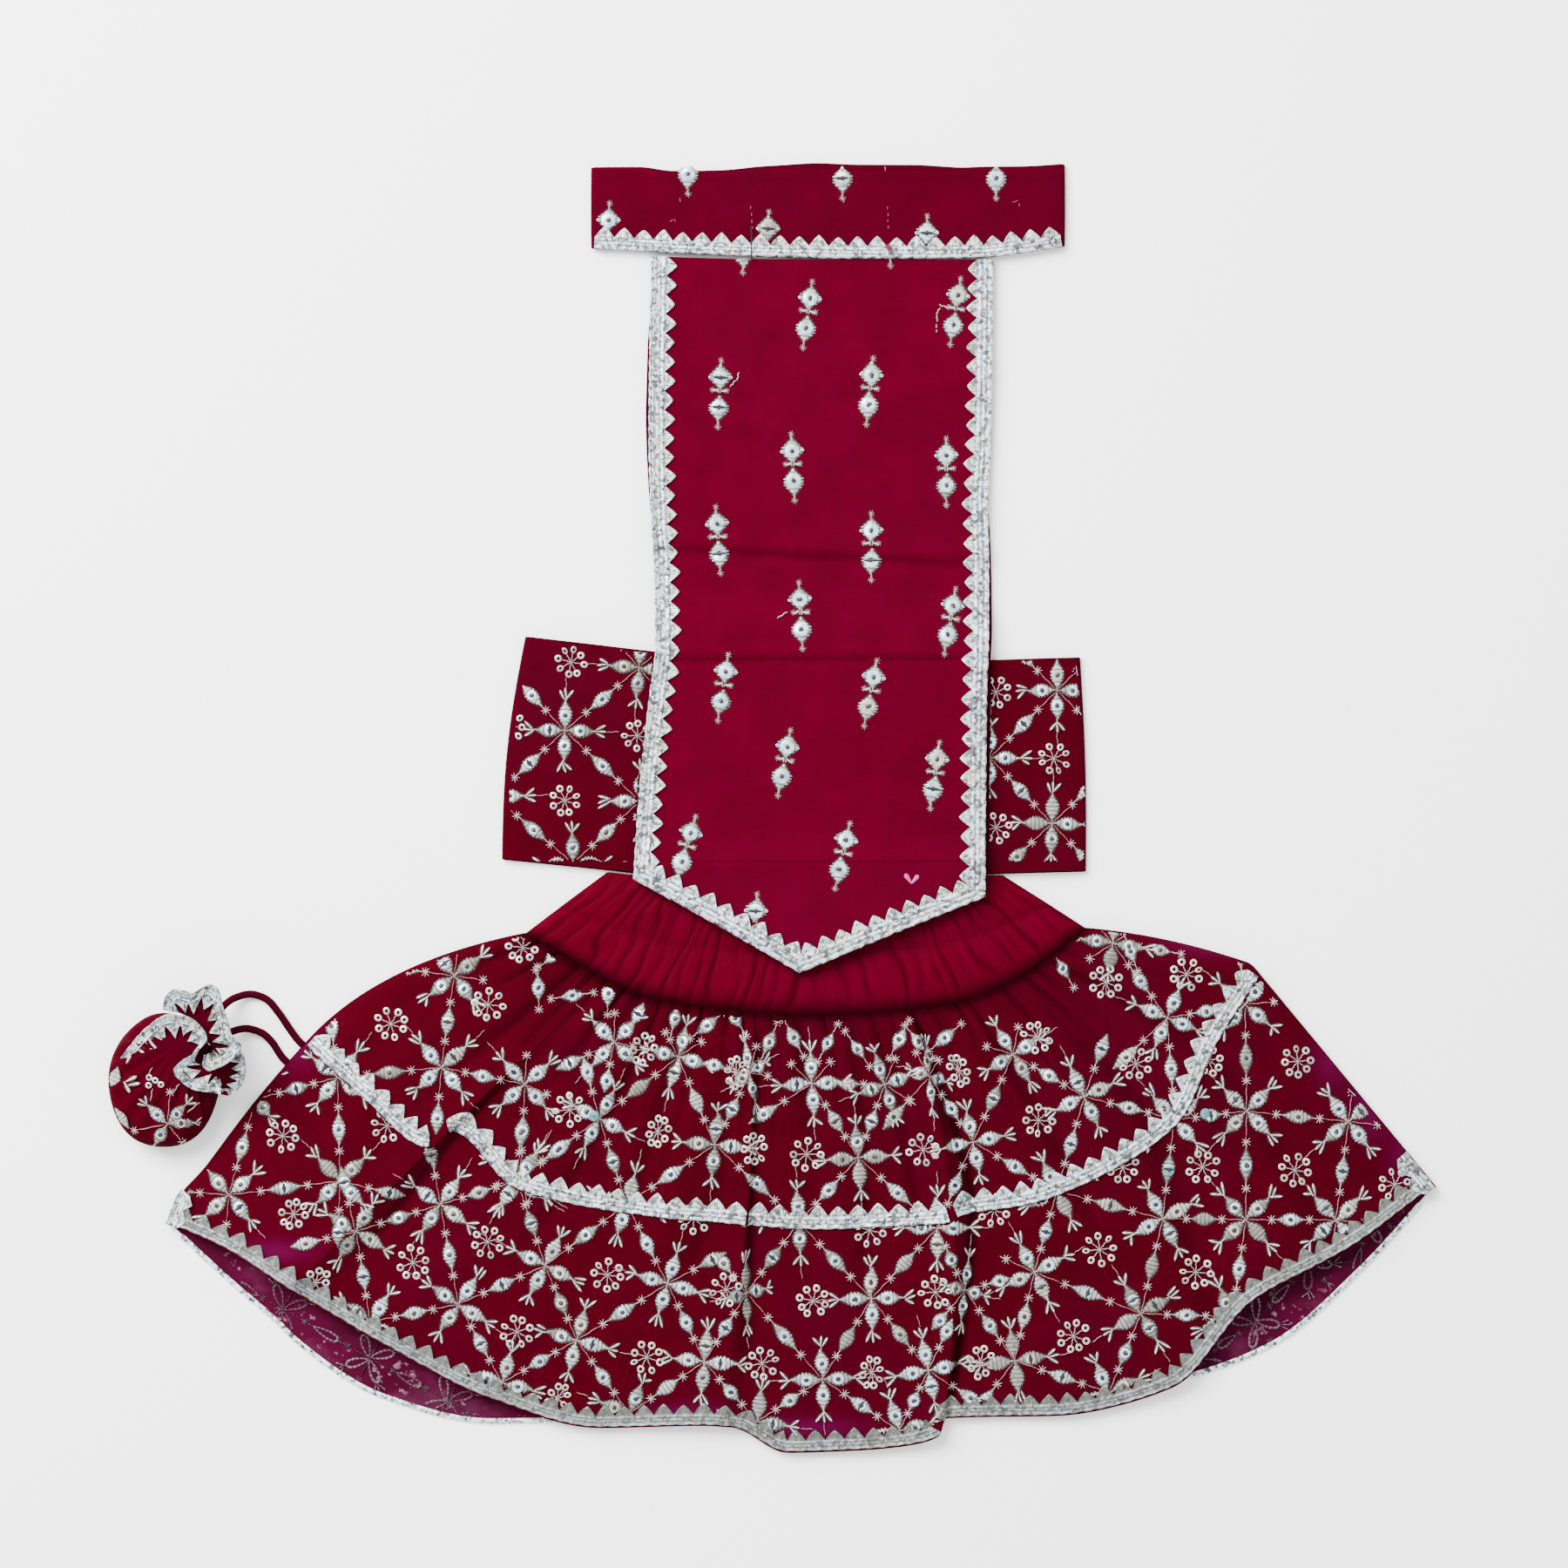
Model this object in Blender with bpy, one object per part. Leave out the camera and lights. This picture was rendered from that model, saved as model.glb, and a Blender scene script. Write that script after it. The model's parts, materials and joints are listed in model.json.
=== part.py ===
"""Dog lehenga laid flat on a table and seen from above.

A neck band, a pointed back panel, a belly band, a gathered elastic waistband and a flared
skirt lie on each other in layers.  Toothed lace edges the panel, the neck band and the
skirt, and a small drawstring pouch hangs from the skirt's left side seam.
+X is right and +Y is towards the neck, +Z is up.  All sizes below are in millimetres.
"""

import math

import bpy
import numpy as np
from mathutils import Vector
from mathutils.bvhtree import BVHTree

MM = 0.001
WALL = 1.2
GAP = 0.3
LIFT = WALL + GAP

# Toothed lace: a woven braid with a row of triangular teeth along one side
LACE_WALL = 0.9
BRAID = 5.2
TOOTH = 3.6
PITCH = 6.7
NECK_BRAID = 3.9
HEM_BRAID = 4.4

# Gathers: each is four columns of the wall wide
GATHERS = 32
COLUMNS = 4 * GATHERS
GATHER_HEIGHT = 0.85
WAIST_GATHER_HEIGHT = 0.55
GATHER_FADE = 0.17

# Skirt: how far the front stands off the back, and where its middle lace runs
SIDE_ROUNDING = 13.0
LACE_ROW = 0.46
SKIRT_WIDTHS = (208.0, 375.0, 480.0)
LAST_RIB = 15.0
BACK_RIBS = np.linspace(1.0, LAST_RIB, 71)

# Cord of the pouch
CORD_RADIUS = 1.3


def table(columns, *rows):
    """Each column's name with its values, one for each row."""
    values = np.array(rows, dtype=float).T
    return dict(zip(columns.split(), values))


# Skirt ribs from the left side to the right: points on the seam, lace, hem and back hem
RIBS = table(
    "rib seam_x seam_y lace_x lace_y hem_x hem_y back_x back_y",
    (1.0, -84.0, -43.0, -156.9, -78.1, -206.4, -143.2, -206.4, -143.2),
    (2.0, -70.5, -51.1, -136.5, -96.5, -186.9, -151.4, -186.9, -161.3),
    (2.9, -58.5, -57.8, -114.0, -113.3, -166.5, -164.0, -168.0, -177.8),
    (3.15, -55.5, -59.6, -106.5, -107.9, -162.9, -166.4, -163.5, -182.3),
    (4.0, -44.4, -64.3, -85.5, -126.8, -133.5, -183.8, -133.5, -201.8),
    (5.0, -32.1, -67.0, -58.5, -133.4, -97.5, -201.8, -96.0, -207.8),
    (6.0, -19.5, -68.8, -33.0, -136.7, -58.5, -211.1, -55.5, -206.6),
    (6.9, -7.5, -70.0, -9.0, -138.8, -21.9, -209.6, -21.9, -204.6),
    (7.15, -5.1, -70.3, -6.6, -139.1, -14.1, -212.6, -15.0, -205.7),
    (8.0, 9.9, -71.2, 15.0, -140.2, 6.0, -221.6, 6.0, -213.8),
    (9.0, 27.9, -70.6, 39.0, -139.3, 34.5, -220.4, 34.5, -213.8),
    (9.9, 45.6, -69.2, 60.9, -137.8, 57.6, -215.5, 57.0, -208.4),
    (10.15, 48.0, -68.9, 64.5, -136.0, 60.3, -209.8, 60.9, -204.4),
    (11.0, 61.5, -67.3, 88.5, -131.5, 97.5, -208.9, 97.5, -203.5),
    (12.0, 75.0, -63.1, 114.0, -120.8, 138.0, -198.7, 142.5, -195.2),
    (13.0, 87.0, -57.1, 138.0, -104.2, 165.3, -168.8, 172.5, -183.8),
    (14.0, 98.1, -49.4, 150.9, -75.8, 196.5, -152.2, 202.5, -158.3),
    (15.0, 108.0, -41.2, 165.6, -53.2, 228.0, -130.3, 228.0, -130.3),
)

# How much the ribs bow above and below the middle lace
RIB_BOW = table(
    "rib upper lower",
    (1.0, 1.6, 0.35),
    (4.0, 1.0, 0.50),
    (11.0, 0.8, 0.50),
    (15.0, 0.1, 0.00),
)

# Skirt folds: a soft slope on one side and a steep one on the other, in ribs
FOLDS = table(
    "rib height left_width right_width start full end",
    (2.0, 1.2, 0.40, 0.40, 0.05, 0.30, 1.00),
    (3.0, 4.2, 0.95, 0.20, 0.02, 0.12, 1.00),
    (4.1, 1.3, 0.30, 0.35, 0.03, 0.20, 0.80),
    (5.0, 1.8, 0.45, 0.30, 0.30, 0.60, 1.00),
    (5.9, 1.5, 0.28, 0.30, 0.05, 0.25, 0.90),
    (7.0, 3.0, 0.60, 0.18, 0.02, 0.10, 1.00),
    (8.3, 1.4, 0.35, 0.35, 0.05, 0.20, 0.70),
    (9.1, 1.2, 0.30, 0.40, 0.35, 0.60, 1.00),
    (10.0, 3.3, 0.60, 0.18, 0.05, 0.15, 1.00),
    (11.1, 1.6, 0.35, 0.30, 0.04, 0.20, 0.85),
    (12.1, 2.2, 0.50, 0.35, 0.10, 0.40, 1.00),
    (13.2, 2.6, 0.45, 0.45, 0.15, 0.50, 1.00),
    (14.2, 1.5, 0.40, 0.30, 0.10, 0.40, 1.00),
)

# Where the front hem is held up off the back layer
HEM_LIFTS = table(
    "rib height width",
    (3.4, 3.6, 1.5),
    (13.4, 4.4, 1.2),
)

# Height of the skirt front above the back layer, down its length
PUFF = table(
    "along height",
    (0.00, 0.9),
    (0.12, 3.2),
    (0.30, 4.0),
    (0.60, 3.0),
    (1.00, 0.9),
)

# Edges of the back panel from the neck to its lower corners
PANEL_EDGE = table(
    "y left right",
    (189.0, -41.1, 76.4),
    (160.0, -41.7, 76.1),
    (128.0, -42.0, 75.6),
    (104.0, -41.4, 74.6),
    (80.0, -40.2, 75.0),
    (56.0, -39.7, 74.7),
    (38.0, -41.8, 74.1),
    (8.0, -45.0, 73.8),
    (-24.4, -47.1, 73.5),
    (-30.4, -47.3, 73.5),
)
PANEL_TOP = table("across y", (0.0, 189.7), (0.25, 188.7), (0.7, 188.55), (1.0, 188.5))
PANEL_LEFT_CORNER = (-47.1, -24.4)
PANEL_TIP = (9.9, -56.5)
PANEL_RIGHT_CORNER = (73.5, -30.4)

# Height of the panel's lining off the table: it climbs over the belly band and the waistband
PANEL_CLIMB = table(
    "y height",
    (-60.0, 5.1),
    (-22.0, 5.1),
    (-8.0, 3.0),
    (57.0, 3.0),
    (76.0, 0.0),
    (190.0, 0.0),
)

# Soft creases across the panel: place, slope, height and width
PANEL_CREASES = table(
    "y tilt height width",
    (88.5, -0.045, 0.9, 5.0),
    (150.0, -0.10, 0.4, 6.0),
    (122.0, -0.25, 0.4, 6.0),
    (50.8, 0.0, 0.5, 3.5),
)

# How far the lining shows past the panel's sides
LINING_MARGIN = table(
    "y left right",
    (-30.0, -0.8, -0.8),
    (40.0, -0.6, 0.5),
    (60.0, -0.4, 1.2),
    (95.0, -0.2, 0.6),
    (110.0, 0.5, -0.3),
    (135.0, 1.1, -0.6),
    (160.0, 0.7, -0.6),
    (180.0, -0.5, -0.6),
)

# Neck band: its upper and lower edges
NECK_EDGE = table(
    "x top bottom",
    (-60.2, 219.4, 192.3),
    (-43.5, 219.0, 190.4),
    (-7.5, 219.4, 189.05),
    (19.5, 220.6, 189.0),
    (49.5, 220.4, 188.95),
    (76.5, 219.4, 188.9),
    (94.5, 219.6, 191.0),
    (100.6, 220.2, 193.5),
)

# How far the neck band's back shows above its front
NECK_PEEK = table(
    "x height",
    (-60.0, 0.8),
    (-35.0, 0.2),
    (19.5, 1.2),
    (49.5, 1.5),
    (70.0, 0.4),
    (100.0, 1.2),
)

# Belly band: its upper and lower edges, and how its side folds bow
BELLY_EDGE = table(
    "across top_x top_y bottom_x bottom_y",
    (0.0, -83.4, 58.9, -91.4, -17.4),
    (0.25, -40.5, 53.9, -46.5, -22.0),
    (0.75, 75.0, 50.9, 76.5, -22.3),
    (1.0, 105.3, 51.8, 108.0, -21.5),
)
BELLY_BOW = 2.2

# Waistband: its upper edge and its sides down to the skirt seam
WAIST_TOP = table("share x y", (0.0, -55.5, -22.1), (0.07, -46.0, -23.15), (1.0, 78.9, -23.15))
WAIST_SIDE_BOW = 1.6
WAIST_STITCH_ROW = 0.55

# Pouch: rings of the stuffed body from the table up, and the place of its mouth
POUCH_CENTRE = (-208.9, -94.0)
POUCH_HALF = (18.9, 23.0)
POUCH_MOUTH = (-199.3, -81.3)
POUCH_RINGS = table(
    "z size shift",
    (0.0, 0.66, 0.00),
    (1.2, 0.82, 0.00),
    (4.0, 0.95, 0.00),
    (8.0, 1.00, 0.00),
    (12.0, 0.95, 0.08),
    (15.5, 0.78, 0.28),
    (17.4, 0.52, 0.60),
    (18.4, 0.27, 1.00),
)

# Frill of the pouch: reach from the mouth and height of each ruffle, round from the right
FRILL = table(
    "turn reach rise",
    (0.00, 15.0, 0.5),
    (0.07, 19.0, 3.0),
    (0.14, 12.5, 0.2),
    (0.22, 17.5, 3.4),
    (0.30, 19.5, 1.0),
    (0.37, 12.0, 3.6),
    (0.45, 15.5, 0.8),
    (0.53, 21.5, 2.4),
    (0.61, 11.0, 3.8),
    (0.69, 12.0, 0.6),
    (0.77, 18.0, 2.8),
    (0.86, 13.0, 0.4),
    (0.93, 18.5, 3.4),
)
FRILL_HOLE = 3.8

# Routes of the pouch's two cords from its neck to the skirt's side seam
UPPER_CORD = table(
    "x y z",
    (-194.2, -79.3, 16.2),
    (-192.5, -77.4, 16.6),
    (-190.4, -73.0, 13.2),
    (-188.4, -68.9, 8.2),
    (-184.5, -65.4, 3.8),
    (-179.1, -64.0, 1.8),
    (-174.0, -65.5, 1.4),
    (-169.5, -70.3, 1.4),
    (-165.6, -76.0, 1.4),
    (-162.7, -79.9, 1.4),
    (-161.0, -81.6, 1.4),
)
LOWER_CORD = table(
    "x y z",
    (-192.1, -83.0, 15.2),
    (-190.2, -81.6, 15.0),
    (-187.6, -78.6, 10.4),
    (-185.2, -76.8, 6.0),
    (-180.6, -75.8, 2.6),
    (-175.5, -77.2, 1.5),
    (-171.6, -80.6, 1.4),
    (-169.3, -84.2, 1.4),
    (-167.8, -86.2, 1.4),
    (-166.4, -87.5, 1.4),
)

# Colours: red, green, blue, roughness and metallic
CREPE = (0.200, 0.002, 0.015, 0.75, 0.0)
SATIN = (0.190, 0.002, 0.012, 0.45, 0.0)
JAAL_CLOTH = (0.125, 0.002, 0.010, 0.75, 0.0)
WRONG_SIDE = (0.160, 0.010, 0.070, 0.80, 0.0)
LACE = (0.560, 0.540, 0.500, 0.45, 0.6)
CORD = (0.095, 0.004, 0.014, 0.60, 0.0)


def clear_scene():
    """Start from an empty scene."""
    for thing in list(bpy.data.objects):
        bpy.data.objects.remove(thing, do_unlink=True)


def material(name, colour):
    """A Principled material with the given colour, roughness and metallic value."""
    found = bpy.data.materials.get(name)
    if found:
        return found
    made = bpy.data.materials.new(name)
    made.use_nodes = True
    shader = made.node_tree.nodes["Principled BSDF"]
    shader.inputs["Base Color"].default_value = (*colour[:3], 1.0)
    shader.inputs["Roughness"].default_value = colour[3]
    shader.inputs["Metallic"].default_value = colour[4]
    return made


def add_object(name, points, faces, finish):
    """A mesh object from points in millimetres and faces that already look outward."""
    mesh = bpy.data.meshes.new(name)
    mesh.from_pydata([tuple(p) for p in np.asarray(points) * MM], [], faces)
    mesh.materials.append(material(finish[0], finish[1]))
    mesh.validate()
    thing = bpy.data.objects.new(name, mesh)
    bpy.context.scene.collection.objects.link(thing)
    return thing


def slopes(x, y):
    """Slopes of a curve through the points that never overshoots them."""
    step = np.diff(x)
    rise = np.diff(y) / step
    slope = np.zeros(len(x))
    slope[0], slope[-1] = rise[0], rise[-1]
    same = rise[:-1] * rise[1:] > 0
    weight_a = 2 * step[1:] + step[:-1]
    weight_b = step[1:] + 2 * step[:-1]
    before = np.where(same, rise[:-1], 1.0)
    after = np.where(same, rise[1:], 1.0)
    mean = (weight_a + weight_b) / (weight_a / before + weight_b / after)
    slope[1:-1] = np.where(same, mean, 0.0)
    return slope


def smooth(at, x, y):
    """Values at the given places on a smooth curve through the points (x, y)."""
    at = np.clip(np.asarray(at, dtype=float), x[0], x[-1])
    slope = slopes(x, y)
    i = np.clip(np.searchsorted(x, at, side="right") - 1, 0, len(x) - 2)
    step = x[i + 1] - x[i]
    f = (at - x[i]) / step
    keep = (1 + 2 * f) * (1 - f) ** 2 * y[i] + f * f * (3 - 2 * f) * y[i + 1]
    lean = f * (1 - f) ** 2 * step * slope[i] - f * f * (1 - f) * step * slope[i + 1]
    return keep + lean


def ease(f):
    """A smooth rise from 0 to 1 as f goes from 0 to 1."""
    f = np.clip(f, 0.0, 1.0)
    return f * f * (3 - 2 * f)


def grid_faces(rows, columns, closed=False):
    """Triangles of a grid's top, with diagonals that lean both ways in turn."""
    faces = []
    span = columns if closed else columns - 1
    for r in range(rows - 1):
        for c in range(span):
            a = r * columns + c
            b = r * columns + (c + 1) % columns
            d, e = a + columns, b + columns
            if c % 2:
                faces += [(a, d, e), (a, e, b)]
            else:
                faces += [(a, d, b), (b, d, e)]
    return faces


def rim_of(faces):
    """Edges that only one triangle has, in that triangle's direction."""
    edges = set()
    for a, b, c in faces:
        edges.update([(a, b), (b, c), (c, a)])
    return sorted(e for e in edges if (e[1], e[0]) not in edges)


def wall(name, top, faces, finish, thick=WALL, under=None):
    """A closed wall: the top faces, the same faces below them, and a strip round the rim."""
    top = np.asarray(top, dtype=float)
    if up_side(top, faces) < 0:
        faces = [(a, c, b) for a, b, c in faces]
    low = top.copy()
    low[:, 2] = top[:, 2] - thick if under is None else under
    count = len(top)
    solid = list(faces) + [(a + count, c + count, b + count) for a, b, c in faces]
    for a, b in rim_of(faces):
        solid += [(b, a, a + count), (b, a + count, b + count)]
    return add_object(name, np.vstack([top, low]), solid, finish)


def up_side(points, faces):
    """Above 0 where the faces look up."""
    index = np.array(faces)
    p, q, r = points[index[:, 0]], points[index[:, 1]], points[index[:, 2]]
    return np.cross(q - p, r - p)[:, 2].sum()


def sheet(name, x, y, z, finish, thick=WALL, under=None, closed=False):
    """A wall over a grid of points, given row by row."""
    top = np.stack([x.ravel(), y.ravel(), z.ravel()], axis=1)
    faces = grid_faces(x.shape[0], x.shape[1], closed)
    low = None if under is None else np.asarray(under).ravel()
    wall(name, top, faces, finish, thick, low)
    return Cloth(top, faces)


class Cloth:
    """The upper surface of one or more layers, which others can be laid on."""

    def __init__(self, top, faces):
        points = [Vector(p) for p in top]
        self.tree = BVHTree.FromPolygons(points, faces)

    def height(self, x, y, missing=-100.0):
        """Height of the surface at a place, or `missing` beside it."""
        hit = self.tree.ray_cast(Vector((x, y, 100.0)), Vector((0, 0, -1)))
        return hit[0][2] if hit[0] is not None else missing


def laid_on(xy, faces, cloth, gap=GAP):
    """Heights that lay a layer's underside on a cloth, a gap clear of it all over."""
    spots = np.array([(i, j, 6 - i - j) for i in range(7) for j in range(7 - i)]) / 6.0
    low = np.array([cloth.height(x, y) for x, y in xy]) + gap
    low[low < 0] = low[low >= 0].min()
    for _ in range(4):
        for face in faces:
            face = list(face)
            for share in spots:
                place = share @ xy[face]
                need = cloth.height(*place) + gap - share @ low[face]
                if need > 1e-4:
                    low[face] += need
    return low


def along_path(points, count):
    """Places that cut a path of points into equal lengths."""
    steps = np.hypot(*np.diff(points, axis=0).T)
    length = np.concatenate([[0], np.cumsum(steps)])
    at = np.linspace(0, length[-1], count)
    return np.stack([np.interp(at, length, points[:, k]) for k in range(2)], axis=1)


def inward(points):
    """Unit vectors to the left of a path of points."""
    run = np.gradient(points, axis=0)
    side = np.stack([-run[:, 1], run[:, 0]], axis=1)
    return side / np.linalg.norm(side, axis=1, keepdims=True)


def lace_outline(path, braid, cuts, steps):
    """A lace strip's points and triangles, its teeth to the left of the path."""
    length = np.hypot(*np.diff(path, axis=0).T).sum()
    teeth = max(2, int(round((length - sum(cuts) * 0.6) / PITCH)))
    fine = along_path(path, 40 * teeth + 1)
    side = inward(fine)
    whole = np.linspace(0, 1, len(fine))
    marks = np.linspace(0, 1, 2 * teeth + 1)
    inner_marks = cuts[0] / length + marks * (1 - sum(cuts) / length)
    skip = 3 - steps
    outer = resample(marks[::skip], whole, fine)
    inner = resample(inner_marks[::skip], whole, fine + side * braid)
    tips = resample(inner_marks[1::2], whole, fine + side * (braid + TOOTH))
    return np.vstack([outer, inner, tips]), lace_faces(teeth, steps)


def resample(marks, whole, points):
    """Points of a curve at the given shares of its length."""
    return np.stack([np.interp(marks, whole, points[:, k]) for k in range(2)], axis=1)


def lace_faces(teeth, steps=2, closed=False):
    """Triangles of a braid and its teeth, with one or two steps of the braid to each tooth."""
    total = steps * teeth
    count = total if closed else total + 1
    faces = []
    for i in range(total):
        j = (i + 1) % count
        if i % 2:
            faces += [(i, j, i + count), (j, j + count, i + count)]
        else:
            faces += [(i, j, j + count), (i, j + count, i + count)]
        tip = 2 * count + i // steps
        faces.append((i + count, j + count, tip))
    return faces


def lace(name, path, cloth, braid=BRAID, cuts=(0.0, 0.0), steps=1):
    """A toothed lace along a path, laid on a cloth."""
    xy, faces = lace_outline(np.asarray(path, dtype=float), braid, cuts, steps)
    low = laid_on(xy, faces, cloth)
    top = np.column_stack([xy, low + LACE_WALL])
    wall(name, top, faces, ("silver_lace", LACE), LACE_WALL)


def rib_curve(name, ribs):
    """Points of one of the skirt's guide curves at the given ribs."""
    x = smooth(ribs, RIBS["rib"], RIBS[name + "_x"])
    y = smooth(ribs, RIBS["rib"], RIBS[name + "_y"])
    return x, y


def skirt_plan(ribs, down, hem="hem"):
    """Plan of the skirt: each rib runs from seam to lace to hem, bowed by a share of a smooth arc."""
    (x0, y0), (x1, y1) = rib_curve("seam", ribs), rib_curve("lace", ribs)
    x2, y2 = rib_curve(hem, ribs)
    m = LACE_ROW
    a = (down - m) * (down - 1) / m
    b = down * (1 - down) / (m * (1 - m))
    c = down * (down - m) / (1 - m)
    above = np.clip(down / m, 0, 1)
    below = np.clip((down - m) / (1 - m), 0, 1)
    upper_bow = np.interp(ribs, RIB_BOW["rib"], RIB_BOW["upper"])
    lower_bow = np.interp(ribs, RIB_BOW["rib"], RIB_BOW["lower"])
    bow = np.where(down < m, upper_bow, lower_bow)
    plan = []
    for p0, p1, p2 in ((x0, x1, x2), (y0, y1, y2)):
        straight = p0 + (p1 - p0) * above + (p2 - p1) * below
        arc = a * p0 + b * p1 + c * p2
        plan.append(straight + bow * (arc - straight))
    return plan[0], plan[1]


def side_rounding(ribs, down):
    """0 on the skirt's side folds, rising to 1 a short way in."""
    width = np.interp(down, (0, LACE_ROW, 1), SKIRT_WIDTHS)
    share = (ribs - 1) / (LAST_RIB - 1)
    inside = np.minimum(share, 1 - share) * width / SIDE_ROUNDING
    return np.sqrt(1 - (1 - np.clip(inside, 0, 1)) ** 2)


def gather_wave(ribs):
    """The gathers' wave across the skirt, uneven in height."""
    turn = (ribs - 1) / (LAST_RIB - 1) * GATHERS
    uneven = 0.72 + 0.28 * np.sin(turn * 1.7 + 0.6) * np.cos(turn * 0.53)
    return np.sin(2 * math.pi * turn) * uneven


def fold_height(ribs, down):
    """Height of the large folds, all added together."""
    total = np.zeros(np.broadcast(ribs, down).shape)
    for i, rib in enumerate(FOLDS["rib"]):
        f = {key: FOLDS[key][i] for key in FOLDS}
        width = np.where(ribs < rib, f["left_width"], f["right_width"])
        ridge = np.exp(-(((ribs - rib) / width) ** 2))
        grow = ease((down - f["start"]) / (f["full"] - f["start"]))
        fade = 1 - ease((down - f["end"]) / 0.2)
        total = total + f["height"] * ridge * grow * fade
    return total


def skirt_height(ribs, down):
    """Height of the skirt front's upper side."""
    puff = smooth(down, PUFF["along"], PUFF["height"]) + fold_height(ribs, down)
    for rib, height, width in zip(HEM_LIFTS["rib"], HEM_LIFTS["height"], HEM_LIFTS["width"]):
        near = np.exp(-(((ribs - rib) / width) ** 2))
        puff = puff + height * near * ease((down - 0.62) / 0.38)
    fade = np.exp(-down / GATHER_FADE)
    gathers = (GATHER_HEIGHT * fade + 0.12) * (1 + gather_wave(ribs))
    return LIFT + WALL + side_rounding(ribs, down) * (puff * 0.85 + gathers * 0.8)


def skirt_pieces():
    """The skirt's front and back layers with their laces."""
    ribs = np.linspace(1, LAST_RIB, COLUMNS + 1)
    rows = np.array([0.0, 0.06, 0.14, 0.25, 0.38, 0.51, 0.64, 0.77, 0.89, 1.0])
    across, down = np.meshgrid(ribs, rows)
    x, y = skirt_plan(across, down)
    finish = ("jaal_cloth", JAAL_CLOTH)
    front = sheet("skirt_front", x, y, skirt_height(across, down), finish)
    skirt_lace("skirt_mid_lace", front, LACE_ROW + 0.028)
    skirt_lace("skirt_hem_lace", front, 0.995)
    across, down = np.meshgrid(BACK_RIBS, np.array([0.0, LACE_ROW, 1.0]))
    x, y = skirt_plan(across, down, "back")
    sheet("skirt_back", x, y, np.full(x.shape, WALL), ("jaal_wrong_side", WRONG_SIDE))
    back_hem_lace()


def skirt_lace(name, front, down):
    """A lace along the skirt from side to side, with its teeth towards the waist."""
    ribs = np.linspace(LAST_RIB - 0.02, 1.02, 600)
    x, y = skirt_plan(ribs, np.full(ribs.shape, down))
    path = np.stack([x, y], axis=1)[::-1]
    lace(name, path, front, HEM_BRAID, steps=2)


def back_hem_lace():
    """The edge of the back layer's lace, which shows just past its hem."""
    x, y = rib_curve("back", BACK_RIBS[1:-1])
    path = np.stack([x, y], axis=1)
    out = -inward(path)
    near, far = path + out * GAP * 1.3, path + out * 1.8
    x = np.stack([near[:, 0], far[:, 0]])
    y = np.stack([near[:, 1], far[:, 1]])
    sheet("skirt_back_hem_lace", x, y, np.full(x.shape, 1.1), ("silver_lace", LACE), 0.9)


def waist_plan(ribs, down):
    """Plan of the waistband from its upper edge to just short of the skirt seam."""
    share = (ribs - 1) / (LAST_RIB - 1)
    top_x = WAIST_TOP["x"][0] + share * (WAIST_TOP["x"][-1] - WAIST_TOP["x"][0])
    top_y = np.interp(share, WAIST_TOP["share"], WAIST_TOP["y"])
    seam_x, seam_y = rib_curve("seam", ribs)
    bow = WAIST_SIDE_BOW * np.sin(math.pi * down) * (2 * share - 1)
    x = top_x + (seam_x - top_x) * down + bow
    y = top_y + (seam_y + GAP - top_y) * down
    return x, y


def waist_height(ribs, down):
    """Height of the waistband's front: two padded channels with gathers across them."""
    stitch = np.where(down < WAIST_STITCH_ROW, down / WAIST_STITCH_ROW,
                      (down - WAIST_STITCH_ROW) / (1 - WAIST_STITCH_ROW))
    channel = np.sin(math.pi * stitch) ** 0.8 * 0.75
    share = (ribs - 1) / (LAST_RIB - 1)
    inside = np.clip(np.minimum(share, 1 - share) * 150 / 6.0, 0, 1)
    rounding = np.sqrt(1 - (1 - inside) ** 2)
    gathers = WAIST_GATHER_HEIGHT * (1 + gather_wave(ribs))
    return LIFT + WALL + rounding * (0.15 + channel + gathers)


def waistband():
    """The elastic waistband's front and back."""
    ribs = np.linspace(1, LAST_RIB, COLUMNS + 1)
    rows = np.array([0.0, 0.27, WAIST_STITCH_ROW, 0.78, 1.0])
    across, down = np.meshgrid(ribs, rows)
    x, y = waist_plan(across, down)
    finish = ("satin", SATIN)
    sheet("waistband_front", x, y, waist_height(across, down), finish)
    across, down = np.meshgrid(np.linspace(1, LAST_RIB, 29), np.array([0.0, 1.0]))
    x, y = waist_plan(across, down)
    sheet("waistband_back", x, y, np.full(x.shape, WALL), finish)


def panel_edge(y, side):
    """The panel's left or right edge at a height along it."""
    order = np.argsort(PANEL_EDGE["y"])
    return smooth(y, PANEL_EDGE["y"][order], PANEL_EDGE[side][order])


def panel_plan(across, down, margin=0.0):
    """Plan of the pointed panel, with the lining's uneven margin if asked."""
    tip_share = (PANEL_TIP[0] - PANEL_LEFT_CORNER[0]) / (PANEL_RIGHT_CORNER[0] - PANEL_LEFT_CORNER[0])
    knots = (0.0, tip_share, 1.0)
    low = np.interp(across, knots, (PANEL_LEFT_CORNER[1], PANEL_TIP[1], PANEL_RIGHT_CORNER[1]))
    side_low = PANEL_LEFT_CORNER[1] + (PANEL_RIGHT_CORNER[1] - PANEL_LEFT_CORNER[1]) * across
    bend = ease((down - 0.55) / 0.45)
    top = np.interp(across, PANEL_TOP["across"], PANEL_TOP["y"])
    edge_y = top + (side_low - top) * down
    y = edge_y + (low - side_low + margin * 0.6) * bend
    left, right = panel_edge(edge_y, "left"), panel_edge(edge_y, "right")
    left = left - margin * np.interp(edge_y, LINING_MARGIN["y"], LINING_MARGIN["left"])
    right = right + margin * np.interp(edge_y, LINING_MARGIN["y"], LINING_MARGIN["right"])
    return left + (right - left) * across, y


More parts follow.
